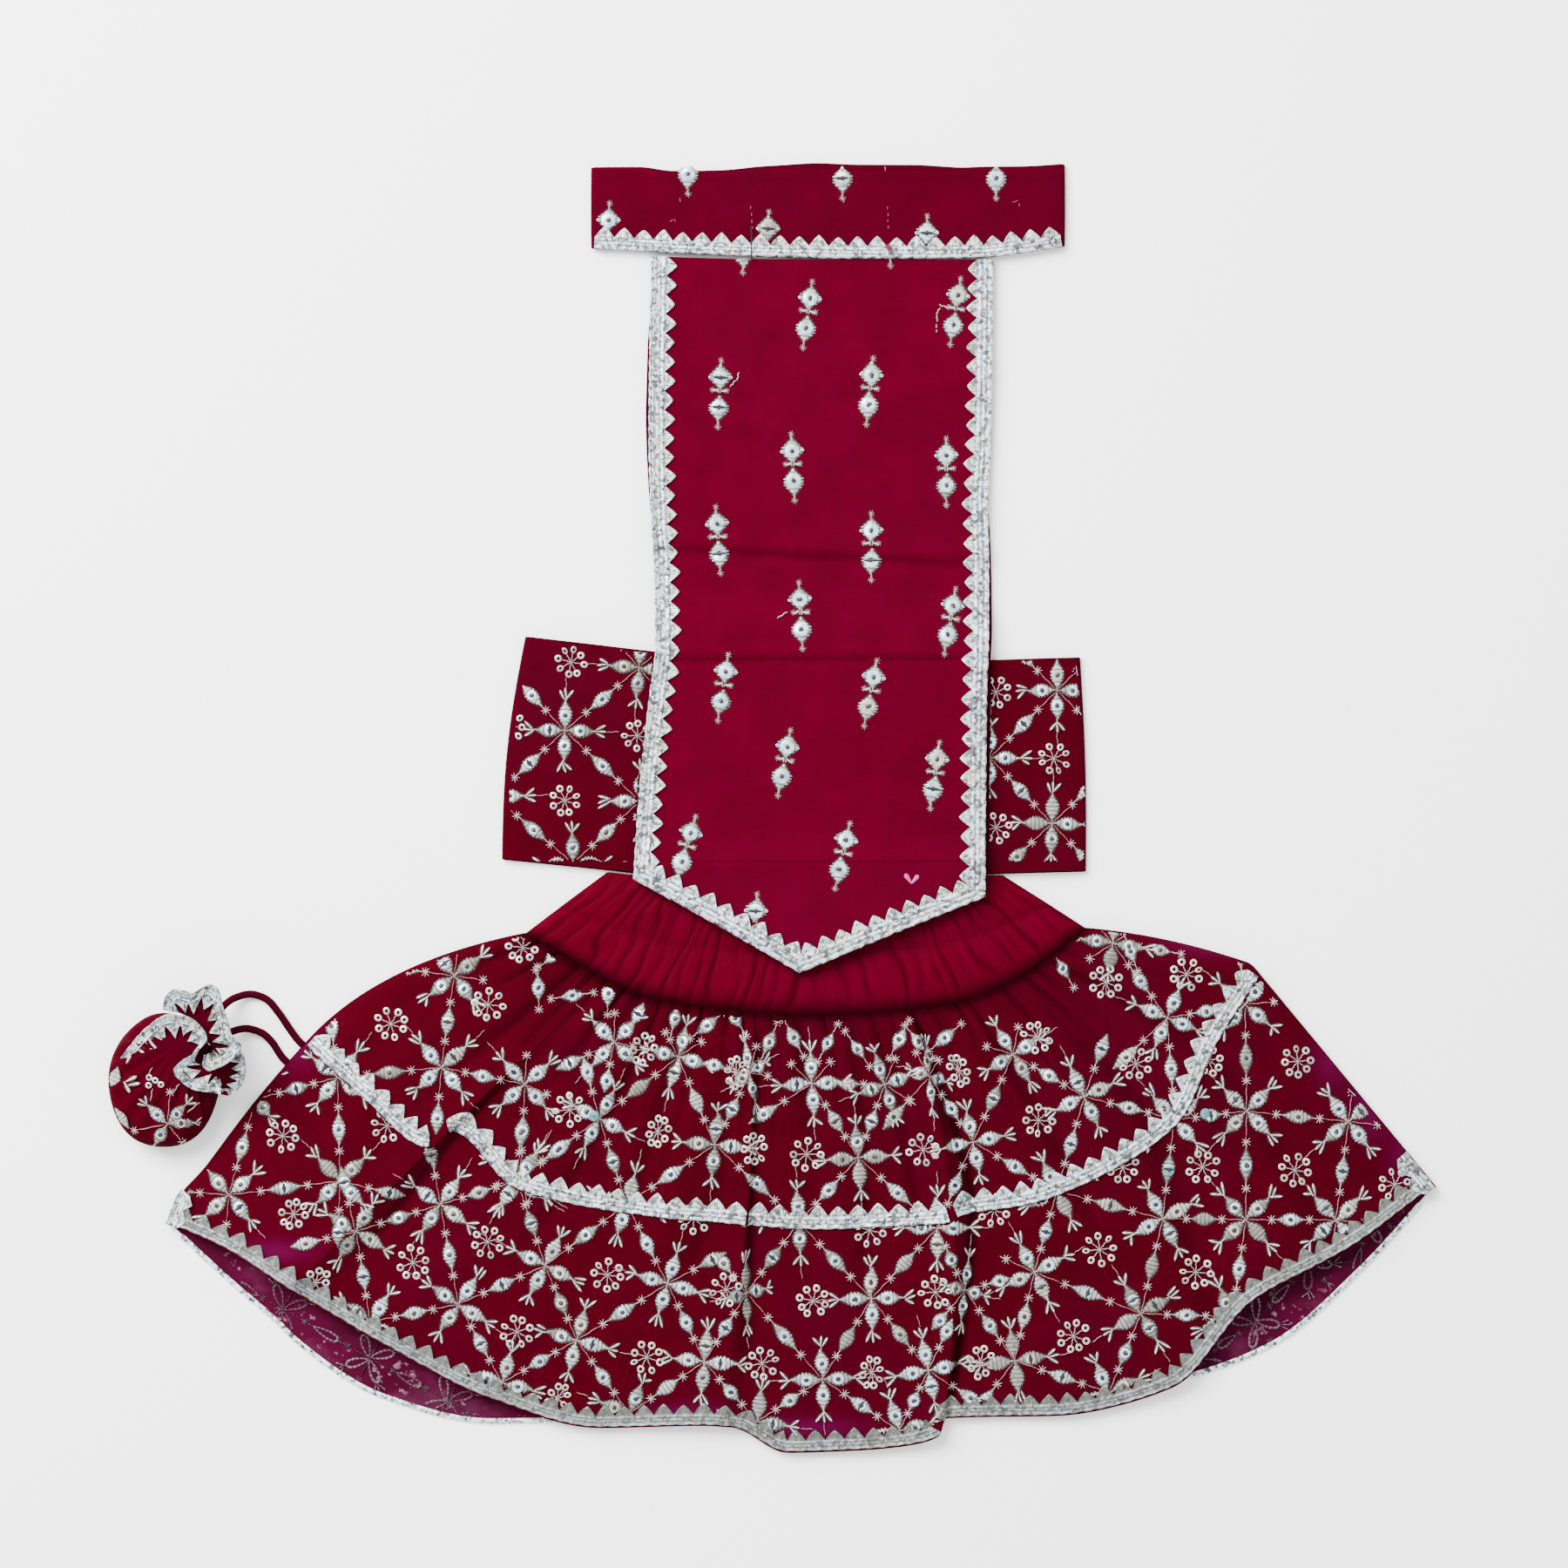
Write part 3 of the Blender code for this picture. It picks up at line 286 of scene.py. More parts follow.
SKIRT_FLOWERS = table(
    "x y squash",
    (-167.4, -112.5, 1), (-163.5, -139.1, 0.8), (-122.7, -155.9, 1), (-97.2, -148.7, 1), (-87, -179.6, 1),
    (-156, -162.6, 0.7), (-73.2, -202.7, 0.65), (-56.1, -160.2, 1), (-42.6, -188.4, 1), (-15.3, -165, 1),
    (-3, -190.7, 1), (14.4, -169.1, 1), (-26.4, -140.6, 1), (33.9, -144.8, 1), (34.6, -193.7, 0.65),
    (56.4, -165.9, 1), (72, -190.1, 0.8), (76.5, -137.9, 1), (103.8, -181.1, 1), (112.8, -151.4, 1),
    (120.6, -123, 1), (145.8, -159.2, 1), (147.9, -123, 1), (179.7, -124.1, 1), (214.2, -129.2, 1),
    (150.3, -86.6, 0.8), (180.8, -86.9, 1), (125.1, -87.6, 1), (91.8, -107.1, 1), (91.2, -78.5, 0.9),
    (64.4, -89.9, 0.55), (52.2, -117, 1), (12.3, -118.7, 1), (-5.7, -116.6, 0.75), (-12, -90.6, 0.6),
    (-38.7, -110.9, 0.7), (-43.5, -82.8, 0.75), (-69, -103.4, 1), (-96.9, -67.4, 1), (-130.2, -74, 1),
    (-131.4, -108.8, 1), (-85.2, -47.9, 0.9), (142.5, -57, 1), (114.9, -59.7, 1),
)
BACK_STARS = table(
    "x y squash",
    (-168, -172.5, 1), (-138, -189.5, 1), (-111, -204, 1), (184.5, -157, 1), (166.5, -177, 1),
    (205, -142, 1), (147, -190, 1),
)
BELLY_STARS = table(
    "x y",
    (-70.8, 26.6), (-45.3, 48.2), (-45, 2.3), (98.4, 40.4), (75.3, 17.3), (96.6, -5.3), (-95, 4),
    (-68, -19),
)
BELLY_FLOWERS = table(
    "x y",
    (-68.7, 50.1), (-70.8, 2.6), (-45.9, 24.8), (97.2, 17), (77.4, 39.8), (77.4, -6.8), (-90, 28),
)

# Sprigs on the panel: the middles between their two sequins, and how much each leans
PANEL_SPRIGS = table(
    "x y lean",
    (12.8, 170.6, -8), (63.6, 171.6, -9), (-17.6, 143.4, -3), (34.1, 144.2, -6), (7.5, 118.1, 3),
    (60.3, 116.6, 0), (-18.2, 93.1, 4), (34.5, 90.8, 0), (10.2, 67.1, 3), (61.7, 65.1, -10),
    (-16.2, 42.3, -9), (34.4, 40.4, -11), (4.8, 16.5, -11), (56.4, 12.2, -8), (-28.8, -12.9, -17),
    (24.8, -15.4, -13), (-5.4, -39.8, -4), (-9.6, 196.4, 0), (41.1, 198.8, 0),
)
NECK_SPRIGS = table(
    "x y lean top",
    (-28.5, 223.5, 0, 0), (24.6, 222, 0, 0), (77.4, 222, 0, 0), (-56.1, 197.4, -4, 1),
    (-1.2, 194.5, -3, 1), (53.4, 193, -2, 1),
)

# Single leaves along the skirt's seam, and three sequins of another colour
SEAM_LEAVES = table(
    "x y way size",
    (-79.8, -61.7, 92, 0.95), (-68.1, -64.4, 8, 0.9), (-55.8, -63.5, 88, 1), (-45.6, -70.7, 62, 0.9),
    (-33, -72.2, 78, 0.85), (-21.9, -74.6, 38, 1), (-12.3, -72, -58, 0.9), (-0.6, -80.3, 66, 0.95),
    (7.8, -78.8, -62, 0.95), (19.5, -80.6, 62, 0.8), (29.7, -82.6, -55, 0.8), (44.1, -79.4, 62, 0.95),
    (50.7, -80.2, -50, 0.9), (59.7, -78.8, 40, 1), (-75, -50.9, 40, 0.8), (123.3, -49.1, -70, 0.9),
    (133.5, -48.8, -10, 0.8), (100.2, -55.2, -60, 0.8),
)
TEAL_SEQUINS = ((-60.6, -105.5), (136.5, -124.4), (148.8, -104.6))

# Drawings in millimetres: shape, x, y, turn, length, width and lift above the cloth
PETAL = (
    ("strand", 0.9, 0.0, 0, 1.8, 0.6, 0.2),
    ("leaf", 5.7, 0.0, 0, 10.2, 4.4, 0.0),
    ("strand", 10.9, 0.0, 0, 1.8, 0.8, 0.1),
    ("finger", 12.9, 1.35, 36, 3.9, 0.85, 0.1),
    ("finger", 13.3, 0.0, 4, 3.6, 0.75, 0.25),
    ("finger", 12.9, -1.35, -34, 3.9, 0.85, 0.15),
)
SPRIG_TOP = (
    ("knot", 0.0, 10.3, 10, 1.25, 1.35, 0.0),
    ("strand", 0.0, 8.8, 90, 1.8, 0.9, 0.1),
    ("leaf", 0.0, 4.8, 90, 8.4, 6.6, 0.0),
    ("ring", -3.5, 4.5, 12, 1.3, 1.1, 0.3),
    ("ring", 3.5, 4.8, -12, 1.3, 1.1, 0.3),
)
SPRIG_BOW = (
    ("knot", -2.5, 0.2, 30, 1.2, 1.1, 0.1),
    ("knot", 2.5, 0.1, 80, 1.2, 1.1, 0.1),
    ("finger", -1.5, 0.1, 5, 2.4, 0.9, 0.2),
    ("finger", 1.5, 0.0, -8, 2.4, 0.9, 0.2),
    ("strand", -0.35, 0.2, 92, 2.2, 0.7, 0.3),
    ("strand", 0.45, 0.2, 86, 2.2, 0.7, 0.3),
)
SPRIG_FOOT = (
    ("leaf", 0.0, -6.0, 90, 9.4, 6.2, 0.0),
    ("strand", 0.0, -10.9, 90, 1.9, 0.9, 0.1),
    ("knot", 0.0, -12.5, 50, 1.25, 1.35, 0.0),
)

# Radius of the ring of sequins in a flower
FLOWER_RING = 4.6

# Loose ends of thread on the panel
THREAD_ENDS = table(
    "x y turn length",
    (59.4, 172.4, 160, 3.6), (57.5, 170.8, 240, 2.6), (57.1, 168.4, 275, 2.6), (56.9, 165.6, 90, 1.3),
    (57, 163.9, 90, 1), (-11.3, 148.3, 80, 3), (-13, 145.9, 50, 3.2), (4, 66.3, 33, 4.4),
)

# Basting in the neck band, its tangle (place and size) and its slit (x, lower and upper end)
BASTING = table(
    "x y turn length",
    (-6.9, 206.4, 92, 1.2), (-6.6, 204, 88, 1), (-6.5, 201.6, 90, 1.3), (-6.3, 199.4, 90, 0.9),
    (40.1, 206.2, 90, 1.1), (40.3, 203.9, 90, 1.2), (40.2, 201.8, 88, 0.9), (40.4, 199.6, 92, 1.2),
    (39.3, 219.6, 92, 1.7), (24, 209.3, 20, 1.6), (25.1, 208.4, 70, 1.2), (-31.2, 209, 100, 1.6),
    (-34.2, 201.8, 40, 1.4), (-33, 202, 110, 1.1), (84, 208.4, 15, 2.2), (85.4, 207.2, 80, 1.1),
)
TANGLE = (40.8, 192.4, 2.0)
BASTING_CUT = (-6.7, 189.2, 198.6)

# A tack of pink thread on the panel
PANEL_MARK = table("x y turn length", (47.1, -24.2, 125, 4), (49.4, -24.4, 51, 3.6))


# Settings


def length_setting(name, description, default):
    """A length in metres."""
    return bpy.props.FloatProperty(name=name, description=description, default=default, min=0.0,
                                   unit="LENGTH", subtype="DISTANCE", precision=5)


def colour_setting(name, description, default):
    """A colour."""
    return bpy.props.FloatVectorProperty(name=name, description=description, default=default,
                                         size=3, subtype="COLOR", min=0, max=1)


class LehengaCloth(bpy.types.PropertyGroup):
    """Sizes and colours of the cloth."""

    gather_height: length_setting("Gather height", "Height of the skirt's gathers at the seam", 0.0017)
    waist_gather: length_setting("Waist gather height", "Height of the waistband's gathers", 0.0012)
    crease_depth: bpy.props.FloatProperty(
        name="Crease depth", description="Share of the drawn depth of the skirt's creases",
        default=1.0, subtype="FACTOR", min=0.0, max=2.0)
    crepe: colour_setting("Crepe", "Maroon crepe of the panel and the neck band", (0.048, 0.0001, 0.0054))
    satin: colour_setting("Satin", "Maroon satin of the waistband", (0.053, 0.0001, 0.0047))
    jaal: colour_setting(
        "Skirt cloth", "Maroon cloth under the embroidered net of stars", (0.032, 0.0001, 0.0028))
    wrong_side: colour_setting(
        "Wrong side", "Magenta inner side of the skirt cloth", (0.036, 0.0003, 0.0105))
    cord: colour_setting("Cord", "Dark maroon cord of the pouch", (0.024, 0.0001, 0.0036))
    cord_diameter: length_setting("Cord diameter", "Diameter of the pouch's cord", 0.0026)


class LehengaLace(bpy.types.PropertyGroup):
    """Sizes and colours of the toothed lace."""

    pitch: length_setting("Tooth pitch", "Length of lace from one tooth to the next", 0.0067)
    braid: length_setting("Panel braid", "Width of the braid round the panel", 0.0052)
    hem_braid: length_setting("Skirt braid", "Width of the braid on the skirt", 0.0044)
    neck_braid: length_setting("Neck braid", "Width of the braid on the neck band", 0.0039)
    tooth: length_setting("Tooth height", "Height of a tooth over the braid", 0.0036)
    silver: colour_setting("Silver", "Silver thread of the lace", (0.42, 0.465, 0.49))
    gold: colour_setting("Gold", "Dull gold thread in the lace's teeth", (0.13, 0.125, 0.085))


class LehengaNeedlework(bpy.types.PropertyGroup):
    """Sizes and colours of the embroidery."""

    sequin: length_setting("Sequin", "Diameter of a large sequin", 0.0039)
    small_sequin: length_setting("Small sequin", "Diameter of a flower's sequin", 0.0027)
    thread: colour_setting("Thread", "Pale silver thread with a pink cast", (0.34, 0.335, 0.335))
    line: colour_setting(
        "Line thread", "Pinkish thread of the stems, loops and knots", (0.56, 0.45, 0.455))
    shine: colour_setting("Sequin colour", "Cool white of the sequins", (0.44, 0.59, 0.69))


class LehengaStage(bpy.types.PropertyGroup):
    """Light and floor of the studio."""

    key_power: bpy.props.FloatProperty(
        name="Key light", description="Power of the large soft light", default=100.0, unit="POWER")
    sky: bpy.props.FloatProperty(
        name="Sky", description="Strength of the even light all round", default=1.95,
        subtype="FACTOR", min=0.0, soft_max=4.0)
    floor: colour_setting("Floor", "Pale floor", (0.975, 0.975, 0.975))
    camera_height: length_setting("Camera height", "Height of the camera over the table", 1.5)
    field: length_setting("Field", "Width of the picture on the table", 0.54)


def settings(group):
    """One of the scene's groups of settings."""
    return getattr(bpy.context.scene, "lehenga_" + group)


# Curves and grids


def slopes(x, y):
    """Slopes of a curve through the points that never overshoots them."""
    step = np.diff(x)
    rise = np.diff(y) / step
    slope = np.zeros(len(x))
    slope[0], slope[-1] = rise[0], rise[-1]
    same = rise[:-1] * rise[1:] > 0
    weight_a = 2 * step[1:] + step[:-1]
    weight_b = step[1:] + 2 * step[:-1]
    before = np.where(same, rise[:-1], 1.0)
    after = np.where(same, rise[1:], 1.0)
    mean = (weight_a + weight_b) / (weight_a / before + weight_b / after)
    slope[1:-1] = np.where(same, mean, 0.0)
    return slope


def smooth(at, x, y):
    """Values at the given places on a smooth curve through the points (x, y)."""
    at = np.clip(np.asarray(at, dtype=float), x[0], x[-1])
    slope = slopes(x, y)
    i = np.clip(np.searchsorted(x, at, side="right") - 1, 0, len(x) - 2)
    step = x[i + 1] - x[i]
    f = (at - x[i]) / step
    keep = (1 + 2 * f) * (1 - f) ** 2 * y[i] + f * f * (3 - 2 * f) * y[i + 1]
    lean = f * (1 - f) ** 2 * step * slope[i] - f * f * (1 - f) * step * slope[i + 1]
    return keep + lean


def on_curve(rows, key, at):
    """A column of a table at places in its first column, on a smooth curve."""
    return smooth(at, next(iter(rows.values())), rows[key])


def on_line(rows, key, at):
    """A column of a table at places in its first column, on straight lines."""
    return np.interp(at, next(iter(rows.values())), rows[key])


def xyz(x, y, z):
    """Points from their three coordinates."""
    return np.stack(np.broadcast_arrays(x, y, z), axis=-1)


def unit(f):
    """A number kept from 0 to 1."""
    return np.clip(f, 0.0, 1.0)


def ease(f):
    """A smooth rise from 0 to 1 as f goes from 0 to 1."""
    f = unit(f)
    return f * f * (3 - 2 * f)


def rounded(f):
    """A quarter circle's rise from 0 to 1 as f goes from 0 to 1."""
    return np.sqrt(1 - (1 - unit(f)) ** 2)


def bell(off, width):
    """A bell curve: 1 where off is 0, and a third of that at the width."""
    return np.exp(-((off / width) ** 2))


def shares(count):
    """Evenly spaced numbers from 0 to 1."""
    return np.linspace(0, 1, count)


def all_ribs(count):
    """Evenly spaced ribs from the skirt's left side to its right."""
    return np.linspace(1, LAST_RIB, count)


def heading(turn):
    """Cosine and sine of an angle in degrees."""
    return np.cos(np.radians(turn)), np.sin(np.radians(turn))


def each_row(rows):
    """The rows of a table, each as its values by their columns' names."""
    return [dict(zip(rows, values)) for values in zip(*rows.values())]


def through(points, count):
    """A smooth curve through points, cut into equal lengths."""
    points = np.asarray(points, dtype=float)
    length = np.append(0, np.cumsum(np.linalg.norm(np.diff(points, axis=0), axis=1)))
    at = np.linspace(0, length[-1], 30 * len(points))
    fine = np.stack([smooth(at, length, part) for part in points.T], axis=1)
    return evenly(fine, count)


def evenly(points, count):
    """Points along a broken line at equal lengths."""
    length = np.append(0, np.cumsum(np.linalg.norm(np.diff(points, axis=0), axis=1)))
    at = np.linspace(0, length[-1], count)
    return np.stack([np.interp(at, length, part) for part in points.T], axis=1)


def run_length(points):
    """Length of a broken line."""
    return float(np.linalg.norm(np.diff(points, axis=0), axis=1).sum())


def inward(points):
    """Unit vectors to the left of a flat path, evened out along it."""
    run = np.gradient(points, axis=0)
    kernel = np.ones(9) / 9
    padded = np.pad(run, ((4, 4), (0, 0)), mode="edge")
    run = np.stack([np.convolve(part, kernel, mode="valid") for part in padded.T], axis=1)
    side = np.stack([-run[:, 1], run[:, 0]], axis=1)
    return side / np.linalg.norm(side, axis=1, keepdims=True)


def grid_quads(rows, columns, closed=False):
    """Quads of a grid of points, row by row, joined round each row if it is closed."""
    row = np.arange(rows - 1)[:, None]
    across = np.arange(columns if closed else columns - 1)[None, :]
    here = row * columns + across
    after = row * columns + (across + 1) % columns
    return np.stack([here + 0 * after, after, after + columns, here + columns], axis=-1).reshape(-1, 4)


def surface_normals(points, closed=False):
    """Unit normals of a grid of points from its differences along rows and columns."""
    if closed:
        wide = np.concatenate([points[:, -1:], points, points[:, :1]], axis=1)
        across = np.gradient(wide, axis=1)[:, 1:-1]
    else:
        across = np.gradient(points, axis=1)
    down = np.gradient(points, axis=0)
    normal = np.cross(down, across)
    return normal / np.maximum(np.linalg.norm(normal, axis=2, keepdims=True), 1e-9)


def make_object(name, points, faces, materials, slots=None, attributes=None, smooth_angle=60):
    """A smooth-shaded mesh object from points in millimetres, faces and named point values."""
    mesh = bpy.data.meshes.new(name)
    faces = faces if isinstance(faces, list) else faces.tolist()
    mesh.from_pydata((np.asarray(points) * MM).tolist(), [], faces)
    for material in materials:
        mesh.materials.append(material)
    if slots is not None:
        mesh.polygons.foreach_set("material_index", np.asarray(slots, dtype=np.int32))
    for key, values in (attributes or {}).items():
        made = mesh.attributes.new(key, "FLOAT", "POINT")
        made.data.foreach_set("value", np.asarray(values, dtype=np.float32).ravel())
    mesh.validate()
    mesh.shade_smooth()
    mesh.set_sharp_from_angle(angle=math.radians(smooth_angle))
    thing = bpy.data.objects.new(name, mesh)
    bpy.context.scene.collection.objects.link(thing)
    if len(mesh.polygons) == 0:
        raise RuntimeError(name + " has no faces")
    return thing


def finish_piece(thing, nodes=()):
    """The piece moves with the object and stands for its solids, which it hides."""
    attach(thing, "root")
    if nodes:
        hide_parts(*nodes)
    return thing


def rim(first, second):
    """Quads between two rings of points, given by their numbers."""
    return np.stack([np.roll(first, -1), first, second, np.roll(second, -1)], axis=1)


def shell_faces(rows, columns):
    """Faces of a closed shell: the upper grid, the lower one turned over, and a rim."""
    top = grid_quads(rows, columns)
    count = rows * columns
    row, last = np.arange(columns), np.arange(rows) * columns
    border = np.concatenate([
        row[:-1], last[:-1] + columns - 1, row[:0:-1] + count - columns, last[:0:-1]])
    return top, top[:, ::-1] + count, rim(border, border + count)


def faces_down(points, quads):
    """Whether quads of a grid of points face the table on the whole."""
    here, after, below = (points.reshape(-1, 3)[quads[:, k]] for k in (0, 1, 3))
    return np.cross(after - here, below - here)[:, 2].sum() < 0


def cloth_shell(name, top, thick, materials, attributes=None, floor=None):
    """A closed shell under a grid of upper points, with the underside straight below it."""
    low = top.copy()
    low[..., 2] = top[..., 2] - thick if floor is None else floor
    upper, under, side = shell_faces(*top.shape[:2])
    faces = np.concatenate([upper, under, side])
    if faces_down(top, upper):
        faces = faces[:, ::-1]
    slots = np.zeros(len(faces), dtype=int)
    slots[len(upper):] = len(materials) - 1
    points = np.concatenate([top.reshape(-1, 3), low.reshape(-1, 3)])
    doubled = {key: np.tile(values.ravel(), 2) for key, values in (attributes or {}).items()}
    return make_object(name, points, faces, materials, slots, doubled)


def tube_shell(name, front, back, thick, outside, inside, values=None):
    """A flattened loop of cloth: front and back grids joined by rounded folds at both sides.

    The outer skin runs over the front from left to right, round the right fold and back
    under the table side; the inner skin is the outer one moved inward by the thickness.
    The named values are given for the front's points and are 0 on the rest."""
    def fold(upper, lower, sense):
        """Three columns on a half ellipse from the upper edge round to the lower one."""
        bend = np.array([0.25, 0.5, 0.75])[None, :, None] * math.pi
        middle, half = (upper + lower) / 2, (upper - lower) / 2
        out = np.abs(half[..., 2:3]) * 0.7 * np.sin(bend) * np.array([sense, 0, 0])
        return middle + half * np.cos(bend) + out

    right = fold(front[:, -1:], back[:, -1:], 1.0)
    left = fold(back[:, :1], front[:, :1], -1.0)
    outer = np.concatenate([front, right, back[:, ::-1], left], axis=1)
    normal = surface_normals(outer, closed=True)
    if normal[:, : front.shape[1], 2].mean() < 0:
        normal = -normal
    inner = outer - normal * thick
    rows, columns = outer.shape[:2]
    count = rows * columns
    skin = grid_quads(rows, columns, closed=True)
    head = np.arange(columns)
    foot = head + count - columns
    rims = np.concatenate([rim(head, head + count), rim(foot, foot + count)[:, ::-1]])
    faces = np.concatenate([skin, skin[:, ::-1] + count, rims])
    if faces_down(outer, skin[:5]):
        faces = faces[:, ::-1]
    slots = np.repeat([0, 1, 0], [len(skin), len(skin), len(rims)])
    points = np.concatenate([outer.reshape(-1, 3), inner.reshape(-1, 3)])
    spread = {}
    for key, grid in (values or {}).items():
        whole = np.zeros((rows, columns))
        whole[:, : front.shape[1]] = grid
        spread[key] = np.tile(whole.ravel(), 2)
    return make_object(name, points, faces, [outside, inside], slots, spread)


# Materials


class Look:
    """A material's node tree, built node by node."""

    def __init__(self, name):
        """An empty surface with places in object space."""
        self.material = bpy.data.materials.new(name)
        self.material.use_nodes = True
        self.tree = self.material.node_tree
        self.shader = self.tree.nodes["Principled BSDF"]
        self.place = self.node("ShaderNodeTexCoord").outputs["Object"]

    def put(self, socket, value):
        """Links an output to a socket, or sets its value; a colour is made opaque."""
        if isinstance(value, bpy.types.NodeSocket):
            self.tree.links.new(value, socket)
        else:
            socket.default_value = (*value, 1.0) if socket.type == "RGBA" else value

    def node(self, kind, options=None, **inputs):
        """A node with its options and inputs; an underscore in an input's name is a space."""
        made = self.tree.nodes.new(kind)
        for key, value in (options or {}).items():
            setattr(made, key, value)
        for key, value in inputs.items():
            self.put(made.inputs[key.replace("_", " ")], value)
        return made

    def noise(self, scale, detail=2.0, stretch=(1, 1, 1), roughness=0.5):
        """Values of a noise in object space, stretched along the axes."""
        place = self.place
        if stretch != (1, 1, 1):
            place = self.node("ShaderNodeMapping", Vector=place, Scale=stretch).outputs[0]
        made = self.node("ShaderNodeTexNoise", Vector=place, Scale=scale, Detail=detail,
                         Roughness=roughness)
        return made.outputs["Fac"]

    def cloud(self, scale, detail, low, high, to_low=0.0, to_high=1.0, stretch=(1, 1, 1)):
        """A noise moved from one range into another and kept inside it."""
        return self.remap(self.noise(scale, detail, stretch), low, high, to_low, to_high)

    def bands(self, pitch, direction, warp=0.0):
        """Even waves across an axis, with the pitch in metres."""
        made = self.node("ShaderNodeTexWave", {"bands_direction": direction},
                         Vector=self.place, Scale=2 * math.pi / (20 * pitch), Distortion=warp)
        return made.outputs["Fac"]

    def facets(self, scale):
        """Values that are even inside small ragged cells and differ from cell to cell."""
        shift = self.node("ShaderNodeTexNoise", Vector=self.place, Scale=scale * 0.7, Detail=2.0)
        bent = self.node("ShaderNodeMix", {"data_type": "VECTOR"})
        for place, value in ((0, 0.0006), (4, self.place), (5, shift.outputs["Color"])):
            self.put(bent.inputs[place], value)
        cells = self.node("ShaderNodeTexVoronoi", Vector=bent.outputs[1], Scale=scale)
        return self.node("ShaderNodeSeparateColor", Color=cells.outputs["Color"]).outputs[0]

    def value(self, name):
        """A named value of the mesh's points."""
        return self.node("ShaderNodeAttribute", {"attribute_name": name}).outputs["Fac"]

    def math(self, operation, a, b=0.5):
        """Two values combined."""
        made = self.node("ShaderNodeMath", {"operation": operation})
        self.put(made.inputs[0], a)
        self.put(made.inputs[1], b)
        return made.outputs[0]

    def times(self, a, b):
        """Two values multiplied."""
        return self.math("MULTIPLY", a, b)

    def remap(self, value, low, high, to_low=0.0, to_high=1.0):
        """A value moved from one range into another and kept inside it."""
        made = self.node("ShaderNodeMapRange", Value=value)
        for socket, number in zip(("From Min", "From Max", "To Min", "To Max"),
                                  (low, high, to_low, to_high)):
            made.inputs[socket].default_value = number
        return made.outputs[0]

    def mix(self, share, a, b):
        """Two colours mixed by a share."""
        made = self.node("ShaderNodeMix", {"data_type": "RGBA"})
        for place, value in ((0, share), (6, a), (7, b)):
            self.put(made.inputs[place], value)
        return made.outputs[2]

    def bump(self, height, strength, depth):
        """Bump from a height, on top of any bump already there."""
        made = self.node("ShaderNodeBump", Height=height, Strength=strength, Distance=depth)
        last = self.shader.inputs["Normal"]
        if last.links:
            self.tree.links.new(last.links[0].from_socket, made.inputs["Normal"])
        self.tree.links.new(made.outputs[0], last)

    def finish(self, colour, roughness, metallic=0.0, specular=0.5):
        """Sets the surface's main values and returns the material."""
        for name, value in (("Base Color", colour), ("Roughness", roughness),
                            ("Metallic", metallic), ("Specular IOR Level", specular)):
            self.put(self.shader.inputs[name], value)
        return self.material


def shade(colour, factor, red=1.0, blue=1.0):
    """A colour made lighter or darker, with its red and blue moved."""
    return (colour[0] * factor * red, colour[1] * factor, colour[2] * factor * blue)


def made_once(build):
    """A material's function that makes it the first time and finds it by its name after that."""
    def found_or_made(name, *options, **more):
        """The material of this name, built if it isn't there."""
        return bpy.data.materials.get(name) or build(Look(name), *options, **more)
    return found_or_made


